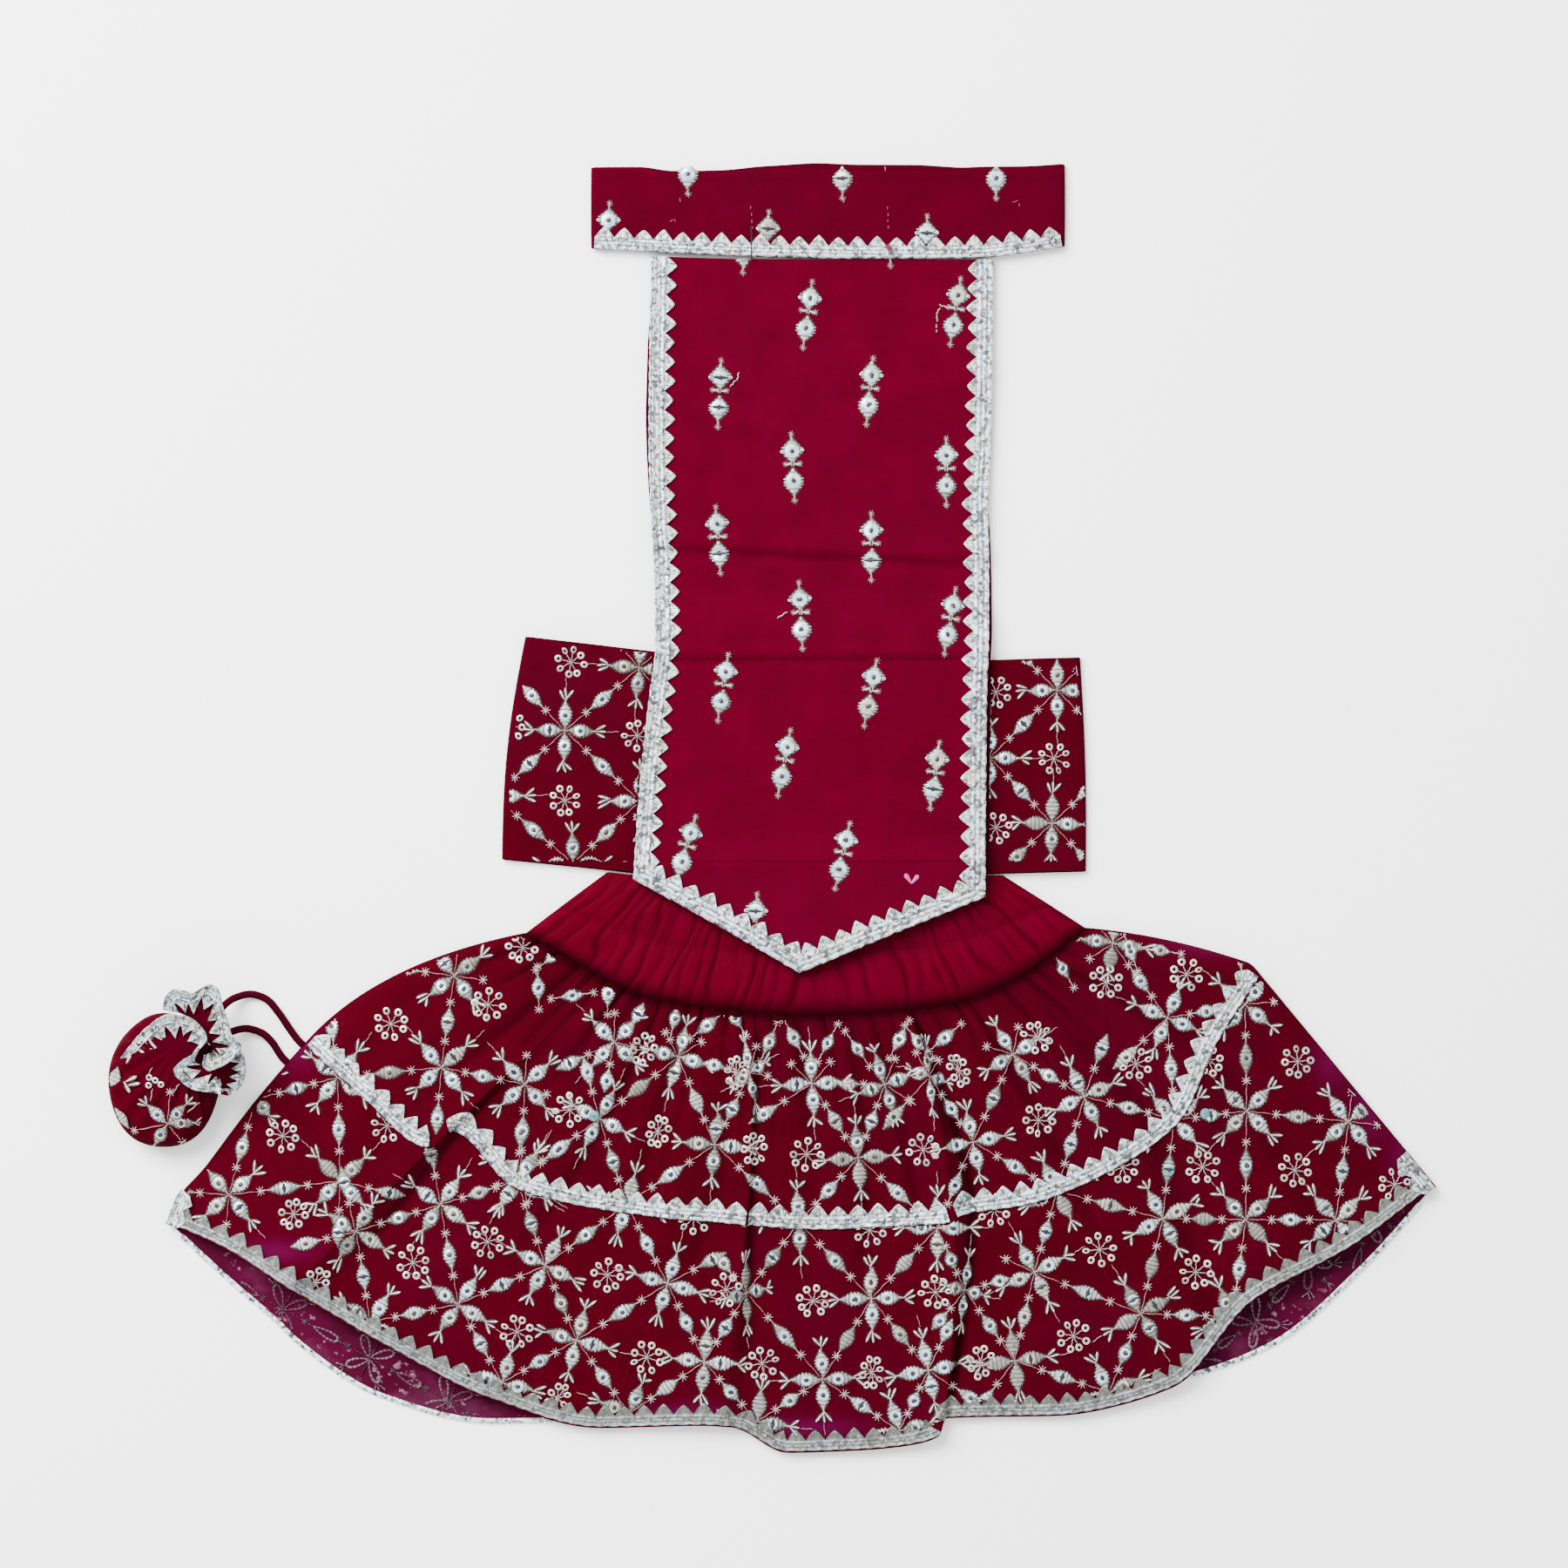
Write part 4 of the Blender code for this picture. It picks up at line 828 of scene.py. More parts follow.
@made_once
def cloth_look(look, colour, tint=0.35, roughness=0.78, specular=0.008, pitch=0.00062, grain=0.30,
               folds=0.0, seams=()):
    """Woven cloth: two crossing sets of threads, slubs, and slow drifts of shade and tint.

    With folds, patches of painted magenta sheen come from a point value, painted shade darkens
    the cloth where the point value 'fold' is high, and fine crinkles run with the gathers: noise
    over the point values 'turn', which counts gathers, and 'down', that bumps the cloth and paints
    shade into the crinkles' troughs.
    Seams are dark sewn lines across the cloth at the given y."""
    drift = look.cloud(11, 3, 0.45, 0.68)
    mottle = look.cloud(90, 4, 0.3, 0.7)
    slub = look.cloud(420, 2, 0.35, 0.75, stretch=(1, 7, 1))
    base = look.mix(mottle, shade(colour, 0.86), shade(colour, 1.10))
    base = look.mix(look.times(drift, tint), base, shade(colour, 1.04, 0.94, 1.8))
    base = look.mix(look.times(slub, 0.22), base, shade(colour, 1.3))
    if seams:
        y = look.node("ShaderNodeSeparateXYZ", Vector=look.place).outputs["Y"]
        y = look.math("ADD", y, look.times(look.noise(60, 2), 0.0012))
        stitch = look.remap(look.bands(0.0021, "X"), 0.3, 0.6, 0.15, 0.45)
        for seam in seams:
            off = look.math("ABSOLUTE", look.math("SUBTRACT", y, seam * MM + 0.0006))
            line = look.times(look.remap(off, 0.0002, 0.0005, 1.0, 0.0), stitch)
            base = look.mix(line, base, shade(colour, 0.25))
    if folds:
        # Painted magenta sheen in patches given by a point value
        base = look.mix(look.value("painted_sheen"), base, shade(colour, 2.0, 1.0, 5.6))
        # Painted shade: darker where the point value 'fold' is high, in valleys, creases and by seams
        base = look.mix(look.value("fold"), base, shade(colour, 0.13))
        fan = look.node("ShaderNodeCombineXYZ", X=look.value("turn"), Y=look.value("down"))
        place = look.node("ShaderNodeMapping", Vector=fan.outputs[0], Scale=(3.2, 3.4, 1))
        crinkle = look.node("ShaderNodeTexNoise", Vector=place.outputs[0], Scale=1.0, Detail=3.0)
        near = look.remap(look.value("down"), 0.0, folds, 1.0, 0.0)
        ridge = look.times(crinkle.outputs["Fac"], near)
        # Painted shade in the troughs of the crinkles near the seam
        dark = look.remap(crinkle.outputs["Fac"], 0.46, 0.32, 0.0, 0.40)
        base = look.mix(look.times(dark, near), base, shade(colour, 0.30))
        look.bump(ridge, 0.55, 0.0014)
    weft, warp = look.bands(pitch, "X", 0.4), look.bands(pitch, "Y", 0.4)
    weave = look.times(weft, warp)
    look.bump(weave, grain, 0.00012)
    look.bump(look.noise(1500, 3), 0.25, 0.00010)
    look.bump(look.noise(70, 3), 0.20, 0.0006)
    rough = look.remap(mottle, 0, 1, roughness - 0.06, roughness + 0.06)
    return look.finish(base, rough, specular=specular)


@made_once
def silver_look(look, colour, gold):
    """Lace of metal thread: crumpled foil with painted glints and painted shade on its facets.

    The point value 'across' runs from 0 at the outer edge through 1 at the braid's inner edge
    to 2 at the teeth's tips; 'core' is 1 in the middle of a tooth."""
    # Painted glints and painted shade: each small facet of the foil gets its own brightness
    fine = look.facets(900)
    broad = look.facets(430)
    light = look.math("ADD", look.times(fine, 0.80), look.times(broad, 0.20))
    light = look.math("POWER", look.remap(light, 0.12, 0.60), 1.3)
    run = look.math("ADD", look.value("along"), look.times(look.noise(160, 2), 1.2))
    across = look.value("across")
    slant = look.times(across, 11.0)
    one = look.math("SINE", look.math("ADD", look.times(run, 6.6), slant))
    two = look.math("SINE", look.math("SUBTRACT", look.times(run, 6.6), slant))
    woven = look.remap(look.times(one, two), -0.35, 0.35)
    hatch = look.remap(look.math("SINE", look.times(run, 7.5)), -0.5, 0.5)
    threads = look.mix(look.remap(across, 1.0, 1.08), woven, hatch)
    light = look.times(light, look.remap(threads, 0.0, 1.0, 0.34, 1.0))
    patch = look.cloud(250, 2, 0.44, 0.56)
    slow = look.cloud(24, 2, 0.44, 0.60)
    high = look.mix(patch, shade(colour, 1.95, 0.90, 1.10), shade(colour, 1.70, 1.02, 0.94))
    high = look.mix(look.times(slow, 0.32), high, shade(colour, 1.35, 1.12, 0.70))
    base = look.mix(light, shade(colour, 0.085, 0.95, 1.15), high)
    core = look.times(look.value("core"), look.remap(fine, 0.2, 0.6, 1.0, 0.35))
    base = look.mix(look.times(core, 0.45), base, gold)
    tips = look.remap(across, 1.55, 1.95, 0.0, 0.45)
    base = look.mix(tips, base, shade(colour, 1.3))
    broken = look.cloud(300, 2, 0.38, 0.56, 0.2, 1.0)
    # Painted shade in the grooves between the braid's ropes and at the teeth's foot, broken here and there
    for middle, half, depth in ((0.34, 0.10, 0.8), (0.66, 0.08, 0.6), (1.06, 0.09, 0.95)):
        off = look.math("ABSOLUTE", look.math("SUBTRACT", across, middle))
        line = look.times(look.remap(off, half * 0.4, half, depth, 0.0), broken)
        base = look.mix(line, base, shade(colour, 0.08, 0.95, 1.30))
    # Painted shade on the hem lace, strongest on its teeth
    grey = look.remap(across, 0.95, 1.15, 0.70, 0.88)
    base = look.mix(look.times(look.value("hem_shade"), grey), base, shade(colour, 0.12, 1.10, 0.78))
    # Painted shade: dark specks as of small pits in the foil
    pits = look.cloud(520, 2, 0.61, 0.66, 0.0, 0.85)
    base = look.mix(pits, base, shade(colour, 0.07))
    look.bump(fine, 1.0, 0.0010)
    look.bump(look.noise(520, 3, roughness=0.7), 0.8, 0.0006)
    rough = look.remap(patch, 0, 1, 0.34, 0.52)
    return look.finish(base, rough, metallic=0.25, specular=0.5)


@made_once
def thread_look(look, colour, hatch=0.75, dull=(0.135, 0.130, 0.105)):
    """Stitched thread: strands across the stitch, tinted here and there.

    The point value 'tone' runs from the bright colour at 0 to the dull one at 1, and the
    point value 'along' counts strands."""
    strands = look.math("SINE", look.times(look.value("along"), 17.0))
    strands = look.remap(strands, 0.0, 0.9)
    tone = look.value("tone")
    base = look.mix(look.math("POWER", tone, 1.4), colour, dull)
    pink = look.cloud(260, 2, 0.46, 0.62)
    base = look.mix(look.times(pink, 0.35), base, shade(colour, 0.72, 1.10, 1.02))
    facets = look.remap(look.facets(850), 0.05, 0.5, 1.0, 0.0)
    dark = look.math("MAXIMUM", look.times(strands, hatch), look.times(facets, hatch * 0.8))
    base = look.mix(dark, base, shade(colour, 0.11, 1.05, 1.05))
    look.bump(strands, 0.6, 0.0003)
    return look.finish(base, 0.46, metallic=0.1, specular=0.3)


@made_once
def sequin_look(look, colour):
    """Thin shiny plastic: the point value 'tone' runs from cool white to dull gold."""
    tone = look.value("tone")
    base = look.mix(look.remap(tone, 0.42, 0.62), colour, (0.47, 0.385, 0.29))
    base = look.mix(look.remap(tone, 0.68, 1.0), base, (0.15, 0.125, 0.095))
    base = look.mix(look.remap(tone, 1.4, 1.5), base, (0.02, 0.20, 0.20))
    smear = look.cloud(420, 2, 0.46, 0.58)
    base = look.mix(look.times(smear, 0.6), base, shade(colour, 0.45, 0.92, 1.05))
    cuts = look.remap(look.facets(800), 0.0, 0.30, 0.6, 0.0)
    base = look.mix(cuts, base, shade(colour, 0.14))
    look.bump(look.noise(700, 2), 0.20, 0.0003)
    return look.finish(base, 0.25, metallic=0.25, specular=0.5)


@made_once
def plain_look(look, colour, roughness=0.6):
    """One colour with a little grain."""
    base = look.mix(look.cloud(400, 2, 0.3, 0.7), shade(colour, 0.85), shade(colour, 1.15))
    look.bump(look.noise(900, 2), 0.3, 0.0002)
    return look.finish(base, roughness)


def crepe():
    """The panel's and neck band's crepe."""
    return cloth_look("Crepe", shade(settings("cloth").crepe, 0.80), tint=0.25)


def satin():
    """The waistband's satin, a little smoother."""
    return cloth_look("Satin", settings("cloth").satin, 0.2, 0.62, folds=1.3)


def jaal():
    """The skirt's cloth."""
    return cloth_look("Skirt cloth", settings("cloth").jaal, tint=0.4, folds=0.45)


@made_once
def wrong_side_look(look, colour):
    """The skirt cloth's inner side, with faint sheens where it turns to the light."""
    base = look.mix(look.cloud(60, 3, 0.35, 0.65), shade(colour, 0.7), shade(colour, 1.2))
    sheen = look.cloud(38, 4, 0.55, 0.72, 0.0, 0.35, stretch=(1, 1.6, 1))
    base = look.mix(sheen, base, (0.10, 0.022, 0.062))
    specks = look.cloud(520, 2, 0.60, 0.66, 0.0, 0.6)
    near = look.cloud(90, 2, 0.50, 0.60)
    base = look.mix(look.times(specks, near), base, (0.20, 0.10, 0.15))
    weft, warp = look.bands(0.00062, "X", 0.4), look.bands(0.00062, "Y", 0.4)
    look.bump(look.times(weft, warp), 0.3, 0.00012)
    return look.finish(base, 0.6, specular=0.02)


def wrong_side():
    """The skirt cloth's inner side."""
    return wrong_side_look("Wrong side", settings("cloth").wrong_side)


def silver():
    """The lace."""
    return silver_look("Silver lace", settings("lace").silver, settings("lace").gold)


def thread():
    """The embroidery's thread."""
    return thread_look("Silver thread", settings("needlework").thread)


def sequins():
    """The sequins."""
    return sequin_look("Sequin", settings("needlework").shine)


def shade_thread():
    """The dark edge of holes and shadow round the stitches."""
    return plain_look("Stitch edge", (0.008, 0.0002, 0.0009), 0.9)


def basting_thread():
    """The bright basting thread left in the neck band."""
    return plain_look("Basting thread", (0.38, 0.03, 0.14), 0.6)


def dark_thread():
    """The dark beads and stitches that hold the sequins."""
    return plain_look("Dark thread", (0.004, 0.004, 0.007), 0.5)


def panel_crepe():
    """The panel's crepe, with the two rows of stitches that cross it."""
    return cloth_look("Panel crepe", settings("cloth").crepe, tint=0.25, seams=PANEL_SEAMS)


def line_thread():
    """The thinner thread: knots and claws are pale, stems pink where they are thin."""
    return thread_look("Line thread", settings("needlework").line, hatch=0.25, dull=(0.36, 0.12, 0.135))


def pink_thread():
    """A tack of pink thread on the panel."""
    return plain_look("Pink thread", (0.36, 0.018, 0.17), 0.6)


# Skirt and waistband


def rib_curve(name, ribs):
    """Points of one of the skirt's guide curves at the given ribs."""
    return on_curve(RIBS, name + "_x", ribs), on_curve(RIBS, name + "_y", ribs)


def skirt_plan(ribs, down, hem="hem"):
    """Plan of the skirt: each rib runs from seam to lace to hem, bowed by a share of an arc."""
    (seam_x, seam_y), (lace_x, lace_y) = rib_curve("seam", ribs), rib_curve("lace", ribs)
    hem_x, hem_y = rib_curve(hem, ribs)
    middle = GUIDE_ROW
    seam_part = (down - middle) * (down - 1) / middle
    middle_part = down * (1 - down) / (middle * (1 - middle))
    hem_part = down * (down - middle) / (1 - middle)
    above = unit(down / middle)
    below = unit((down - middle) / (1 - middle))
    upper_bow = on_line(RIB_BOW, "upper", ribs)
    lower_bow = on_line(RIB_BOW, "lower", ribs)
    bow = np.where(down < middle, upper_bow, lower_bow)
    plan = []
    for seam, lace, low in ((seam_x, lace_x, hem_x), (seam_y, lace_y, hem_y)):
        straight = seam + (lace - seam) * above + (low - lace) * below
        arc = seam_part * seam + middle_part * lace + hem_part * low
        plan.append(straight + bow * (arc - straight))
    place, far, reach = SIDE_SWELL
    swell = far * np.exp(-(((down - place) / reach) ** 2) - ((ribs - 1) / 0.45) ** 2)
    return plan[0] - swell, plan[1] + 0.3 * swell


def side_rounding(ribs, down):
    """0 on the skirt's side folds, rising to 1 a short way in."""
    width = np.interp(down, (0, GUIDE_ROW, 1), SKIRT_WIDTHS)
    share = (ribs - 1) / (LAST_RIB - 1)
    inside = np.minimum(share, 1 - share) * width / SIDE_ROUNDING
    return rounded(inside)


def gather_turn(ribs):
    """The gathers counted across, unevenly spaced."""
    turn = (ribs - 1) / (LAST_RIB - 1) * GATHERS
    return turn + 0.17 * np.sin(1.3 * turn + 0.5) + 0.10 * np.sin(2.9 * turn + 1.1)


def gather_crest(ribs, sharp=0.6):
    """Broad crests with narrow valleys between them: a power of |sine|, uneven in height."""
    turn = gather_turn(ribs)
    uneven = 0.66 + 0.34 * np.sin(turn * 1.7 + 0.6) * np.cos(turn * 0.53)
    return np.abs(np.sin(math.pi * turn)) ** sharp * uneven


def ridges(ribs, down, rows, shape):
    """Ridges or troughs that follow the ribs, each a bell curve that grows and then fades."""
    total = np.zeros(np.broadcast(ribs, down).shape)
    for row in each_row(rows):
        sides = (row["width"],) * 2 if "width" in row else (row["left_width"], row["right_width"])
        wander = 0.10 * np.sin(down * 5.0 + row["rib"] * 3.0) if shape == "depth" else 0.0
        off = ribs - row["rib"] - wander
        hill = bell(off, np.where(off < 0, *sides))
        grow = ease((down - row["start"]) / (row["full"] - row["start"]))
        total = total + row[shape] * hill * grow * (1 - ease((down - row["end"]) / 0.2))
    return total


def valley(ribs, down, reach):
    """How deep in a gather's valley a place is, from 0 to 1; every valley has its own length."""
    turn = gather_turn(ribs)
    strong = 0.5 + 0.5 * np.sin(np.round(turn) * 2.4 + 0.9)
    narrow = bell(np.abs(turn - np.round(turn)), 0.16)
    length = reach * (0.35 + 0.9 * strong)
    return narrow * (0.25 + 0.75 * strong) * bell(down, length)


def skirt_top(ribs, down):
    """Height of the skirt's upper side: a puffed fall with folds, hem lifts and gathers.

    Each gather fades down the skirt over its own length."""
    puff = on_curve(PUFF, "height", down) + ridges(ribs, down, FOLDS, "height")
    for rib, height, width in zip(*HEM_LIFTS.values()):
        puff = puff + height * bell(ribs - rib, width) * ease((down - 0.62) / 0.38)
    group = settings("cloth")
    turn = gather_turn(ribs)
    fade = 0.08 + 0.13 * (0.5 + 0.5 * np.sin(turn * 2.1 + 1.0))
    tall = group.gather_height / MM * np.exp(-down / fade) + 0.25 * np.exp(-down / 0.5)
    waves = 0.22 * np.sin(ribs * 4.3 + down * 3.0) + 0.18 * np.sin(ribs * 7.9 - down * 5.0)
    crease = ridges(ribs, down, CREASES, "depth") * group.crease_depth
    body = puff * 0.85 + tall * gather_crest(ribs) + waves - crease * 0.85
    body = body - 0.55 * valley(ribs, down, 0.24)
    return LIFT + WALL + side_rounding(ribs, down) * np.maximum(body, 0.15)


def skirt_spot(x, y):
    """Rib and share of the way down at places in the plan, by Newton's method.

    The first guess takes the rib from the angle round a point above the waistband, and the
    share from the distance between the seam and the hem at that angle."""
    centre = (12.0, 60.0)
    marks = all_ribs(141)
    angle = np.zeros(len(marks))
    reach = []
    for name in ("seam", "lace", "hem"):
        mark_x, mark_y = rib_curve(name, marks)
        angle += np.arctan2(mark_y - centre[1], mark_x - centre[0]) / 3
        reach.append(np.hypot(mark_x - centre[0], mark_y - centre[1]))
    angle = np.maximum.accumulate(np.where(angle > 0, angle - 2 * math.pi, angle))
    turn = np.arctan2(y - centre[1], x - centre[0])
    turn = np.where(turn > 0, turn - 2 * math.pi, turn)
    ribs = np.interp(turn, angle + np.arange(len(marks)) * 1e-6, marks)
    near, far = np.interp(ribs, marks, reach[0]), np.interp(ribs, marks, reach[2])
    down = (np.hypot(x - centre[0], y - centre[1]) - near) / (far - near)
    down = np.clip(down, -0.05, 1.05)
    step = 1e-3
    for _ in range(14):
        px, py = skirt_plan(ribs, down)
        ax, ay = skirt_plan(ribs + step, down)
        bx, by = skirt_plan(ribs, down + step)
        ax, ay, bx, by = (ax - px) / step, (ay - py) / step, (bx - px) / step, (by - py) / step
        det = ax * by - ay * bx
        det = np.where(np.abs(det) < 200, -200, det)
        ex, ey = x - px, y - py
        ribs = np.clip(ribs + np.clip((ex * by - ey * bx) / det, -0.5, 0.5), 0.9, LAST_RIB + 0.1)
        down = np.clip(down + np.clip((ey * ax - ex * ay) / det, -0.1, 0.1), -0.08, 1.08)
    px, py = skirt_plan(ribs, down)
    return ribs, down, np.hypot(x - px, y - py) < 1.0


def skirt():
    """The skirt: a flared loop, gathered into its seam, that lies in front and back layers."""
    rows = np.concatenate([np.linspace(0, 0.2, 21), np.linspace(0.2, 1, 52)[1:]])
    across, down = np.meshgrid(all_ribs(331), rows)
    x, y = skirt_plan(across, down)
    front = xyz(x, y, skirt_top(across, down))
    # Painted shade for 'fold': gather valleys, creases and a band along the seam under the waistband
    crease = ridges(across, down, CREASES, "depth") / 2.2 * settings("cloth").crease_depth
    fold = unit(np.maximum(valley(across, down, 0.24) * 0.55, crease * 0.9))
    fold = np.maximum(fold, 0.85 * bell(down, 0.016))
    # Patches of painted magenta sheen, kept as a point value
    painted_sheen = np.zeros(x.shape)
    for spot_x, spot_y, wide, tall, share in zip(*PAINTED_SHEEN.values()):
        painted_sheen += share * np.exp(-(((x - spot_x) / wide) ** 2) - ((y - spot_y) / tall) ** 2)
    across_back, down_back = np.meshgrid(all_ribs(61), rows)
    x, y = skirt_plan(across_back, down_back, "back")
    back = xyz(x, y, 0)
    values = {"fold": fold, "turn": gather_turn(across), "down": down, "painted_sheen": unit(painted_sheen)}
    thing = tube_shell("skirt", front, back, 0.7, jaal(), wrong_side(), values)
    return finish_piece(thing, ("skirt_front", "skirt_back"))


def waist_plan(ribs, down):
    """Plan of the waistband from its upper edge to the skirt seam, which its edge covers."""
    share = (ribs - 1) / (LAST_RIB - 1)
    top_x = WAIST_TOP["x"][0] + share * (WAIST_TOP["x"][-1] - WAIST_TOP["x"][0])
    top_y = on_line(WAIST_TOP, "y", share)
    seam_x, seam_y = rib_curve("seam", ribs)
    bow = WAIST_SIDE_BOW * np.sin(math.pi * down) * (2 * share - 1)
    return top_x + (seam_x - top_x) * down + bow, top_y + (seam_y - 0.5 - top_y) * down


def waist_shift(ribs, down):
    """Ribs with the wander of the waistband's gathers."""
    return ribs + 0.10 * np.sin(down * 6 + ribs * 1.9) + 0.05 * np.sin(down * 13 + ribs * 5)


def waist_top(ribs, down):
    """Height of the waistband: two padded channels, drawn into gathers by the elastic."""
    row = WAIST_STITCH_ROW
    stitch = np.where(down < row, down / row, (down - row) / (1 - row))
    channel = np.sin(math.pi * unit(stitch)) ** 0.55
    share = (ribs - 1) / (LAST_RIB - 1)
    rounding = rounded(np.minimum(share, 1 - share) * 25)
    shifted = waist_shift(ribs, down)
    crest = gather_crest(shifted, 0.75)
    fine = gather_crest(shifted * 2.3 + 3.1, 1.0)
    slack = 0.30 * np.sin(ribs * 2.9 + 1) * np.sin(down * 3.0 + ribs) + 0.3
    tall = settings("cloth").waist_gather / MM
    body = 0.05 + channel * (0.75 + slack) + tall * 0.7 * crest * (0.45 + 0.55 * channel)
    body = body + 0.09 * fine * channel - 0.30 * valley(shifted, 1 - down, 1.2) * channel
    return LIFT + WALL + rounding * np.maximum(body, 0.05)


def waistband():
    """The elastic waistband, a gathered loop."""
    across, down = np.meshgrid(all_ribs(361), shares(34))
    x, y = waist_plan(across, down)
    front = xyz(x, y, waist_top(across, down))
    # Painted shade for 'fold': gather valleys, the lower edge by the seam and the row of stitches
    shifted = waist_shift(across, down)
    fold = 0.55 * np.maximum(valley(shifted, 1 - down, 0.9), 1.2 * valley(shifted, 1 - down, 0.4))
    edge = 0.85 * bell(1 - down, 0.10)
    row = 0.2 * bell(down - WAIST_STITCH_ROW, 0.03)
    fold = np.maximum(np.maximum(fold, edge), row)
    values = {"fold": fold, "turn": gather_turn(across), "down": down}
    across, down = np.meshgrid(all_ribs(41), shares(34))
    x, y = waist_plan(across, down)
    back = xyz(x, y, 0)
    thing = tube_shell("waistband", front, back, 0.6, satin(), satin(), values)
    return finish_piece(thing, ("waistband_front", "waistband_back"))


# Panel, neck and belly


def panel_plan(across, down, margin=0.0):
    """Plan of the pointed panel, with the lining's uneven margin if asked."""
    left_x, right_x = PANEL_LEFT_CORNER[0], PANEL_RIGHT_CORNER[0]
    tip_share = (PANEL_TIP[0] - left_x) / (right_x - left_x)
    lows = (PANEL_LEFT_CORNER[1], PANEL_TIP[1], PANEL_RIGHT_CORNER[1])
    low = np.interp(across, (0.0, tip_share, 1.0), lows)
    side_low = lows[0] + (lows[2] - lows[0]) * across
    top = on_line(PANEL_TOP, "y", across)
    edge_y = top + (side_low - top) * down
    y = edge_y + (low - side_low + margin * 0.6) * ease((down - 0.55) / 0.45)
    left = on_curve(PANEL_EDGE, "left", edge_y)
    right = on_curve(PANEL_EDGE, "right", edge_y)
    left = left - margin * on_line(LINING_MARGIN, "left", edge_y)
    right = right + margin * on_line(LINING_MARGIN, "right", edge_y)
    return left + (right - left) * across, y


def panel_fall(x, y):
    """Height of the panel's fall: its climb over the bands, with soft creases."""
    height = on_curve(PANEL_CLIMB, "height", y)
    for row in each_row(PANEL_CREASES):
        off = (y - row["y"] - row["tilt"] * (x - 15)) / row["width"]
        near = np.exp(-(((x - row["x"]) / row["reach"]) ** 4))
        height = height + row["height"] * np.exp(-off * off) * near
    slow = 0.12 * np.sin(x * 0.09 + y * 0.05) + 0.10 * np.sin(y * 0.11 - x * 0.04)
    return height + slow + 0.2


def panel_top(x, y):
    """Height of the panel's upper side."""
    return panel_fall(x, y) + WALL + LIFT


def panel():
    """The pointed back panel and its lining, two thin layers."""
    under = cloth_look("Lining", shade(settings("cloth").crepe, 0.8), tint=0.3)
    made = []
    for name, node, slot, look, lift, margin, columns, rows in (
            ("back_panel_cloth", "back_panel", "crepe", panel_crepe(), WALL + LIFT, 0, 71, 201),
            ("panel_lining_cloth", "back_panel_lining", "lining", under, WALL, 1, 51, 81)):
        x, y = panel_plan(*np.meshgrid(shares(columns), shares(rows)), margin)
        piece = cloth_shell(name, xyz(x, y, panel_fall(x, y) + lift), 0.6, [look])
        made.append(finish_piece(piece, (node,)))
    return made


def neck_rows(xs, share, back=False):
    """Plan of the neck band's front or back between its lower and upper edges."""
    top = on_curve(NECK_EDGE, "top", xs)
    bottom = on_curve(NECK_EDGE, "bottom", xs)
    if back:
        top = top + on_curve(NECK_PEEK, "height", xs)
        bottom = bottom + 0.8
    return bottom + (top - bottom) * share


def neck_top(x, y):
    """Height of the neck band: flat, round at its side folds, with slow waves."""
    left, right = NECK_EDGE["x"][0], NECK_EDGE["x"][-1]
    inside = unit(np.minimum(x - left, right - x) / 5.0)
    slow = 0.14 * np.sin(x * 0.17 + 1) * np.sin(y * 0.21) + 0.12 * np.sin(x * 0.075 - y * 0.12)
    hem = 0.35 * bell(y - 217.5 - 0.3 * np.sin(x * 0.1), 1.2)
    return LIFT + WALL + 0.5 * np.sqrt(1 - (1 - inside) ** 2) + (slow + hem) * inside


def neck_band():
    """The neck band, a flattened loop whose back shows a little above its front."""
    share = np.linspace(1, 0, 26)[:, None]
    xs = np.linspace(NECK_EDGE["x"][0], NECK_EDGE["x"][-1], 141)
    y = neck_rows(xs, share)
    x = xs + 0.24 * np.sin(math.pi * share) * np.sign(xs - 20) * np.abs((xs - 20) / 80)
    front = xyz(x, y, neck_top(x, y))
    xs = np.linspace(NECK_EDGE["x"][0], NECK_EDGE["x"][-1], 81)
    y = neck_rows(xs, share, back=True)
    back = np.stack([np.broadcast_to(xs, y.shape), y, np.zeros(y.shape)], axis=-1)
    thing = tube_shell("neck_band", front, back, 0.7, crepe(), crepe())
    return finish_piece(thing, ("neck_band_front", "neck_band_back"))


def belly_plan(across, down):
    """Plan of the belly band, whose side folds bow outward, and where its sides begin."""
    edge = {key: np.interp(across, BELLY_EDGE["across"], BELLY_EDGE[key]) for key in BELLY_EDGE}
    side = np.where(across < 0.25, across / 0.25 - 1, np.where(across > 0.75, (across - 0.75) / 0.25, 0))
    x = edge["top_x"] + (edge["bottom_x"] - edge["top_x"]) * down
    x = x + BELLY_BOW * np.sin(math.pi * down) * np.where(side > 0, 0.4 * side, side)
    return x, edge["top_y"] + (edge["bottom_y"] - edge["top_y"]) * down, side


def belly_top(x, y):
    """Height of the belly band, flat with shallow waves near its sides."""
    left = np.interp(y, (-20, 58), (-91.4, -83.4))
    right = np.interp(y, (-20, 58), (108, 105.3))
    inside = np.clip(np.minimum(x - left, right - x), 0, 40)
    rounding = 0.3 * rounded(inside / 5)
    beside = bell(inside - 14, 14) * unit(inside / 5)
    waves = 0.22 * np.sin(y * 0.16 + x * 0.05) + 0.18 * np.sin(y * 0.31 - x * 0.11 + 1)
    pull = 0.45 * bell(y - 20 + (x - 90) * 0.4, 5) * np.where(x > 70, 1, 0)
    return LIFT + WALL + rounding * unit((30 - inside) / 10) + (waves + pull) * beside


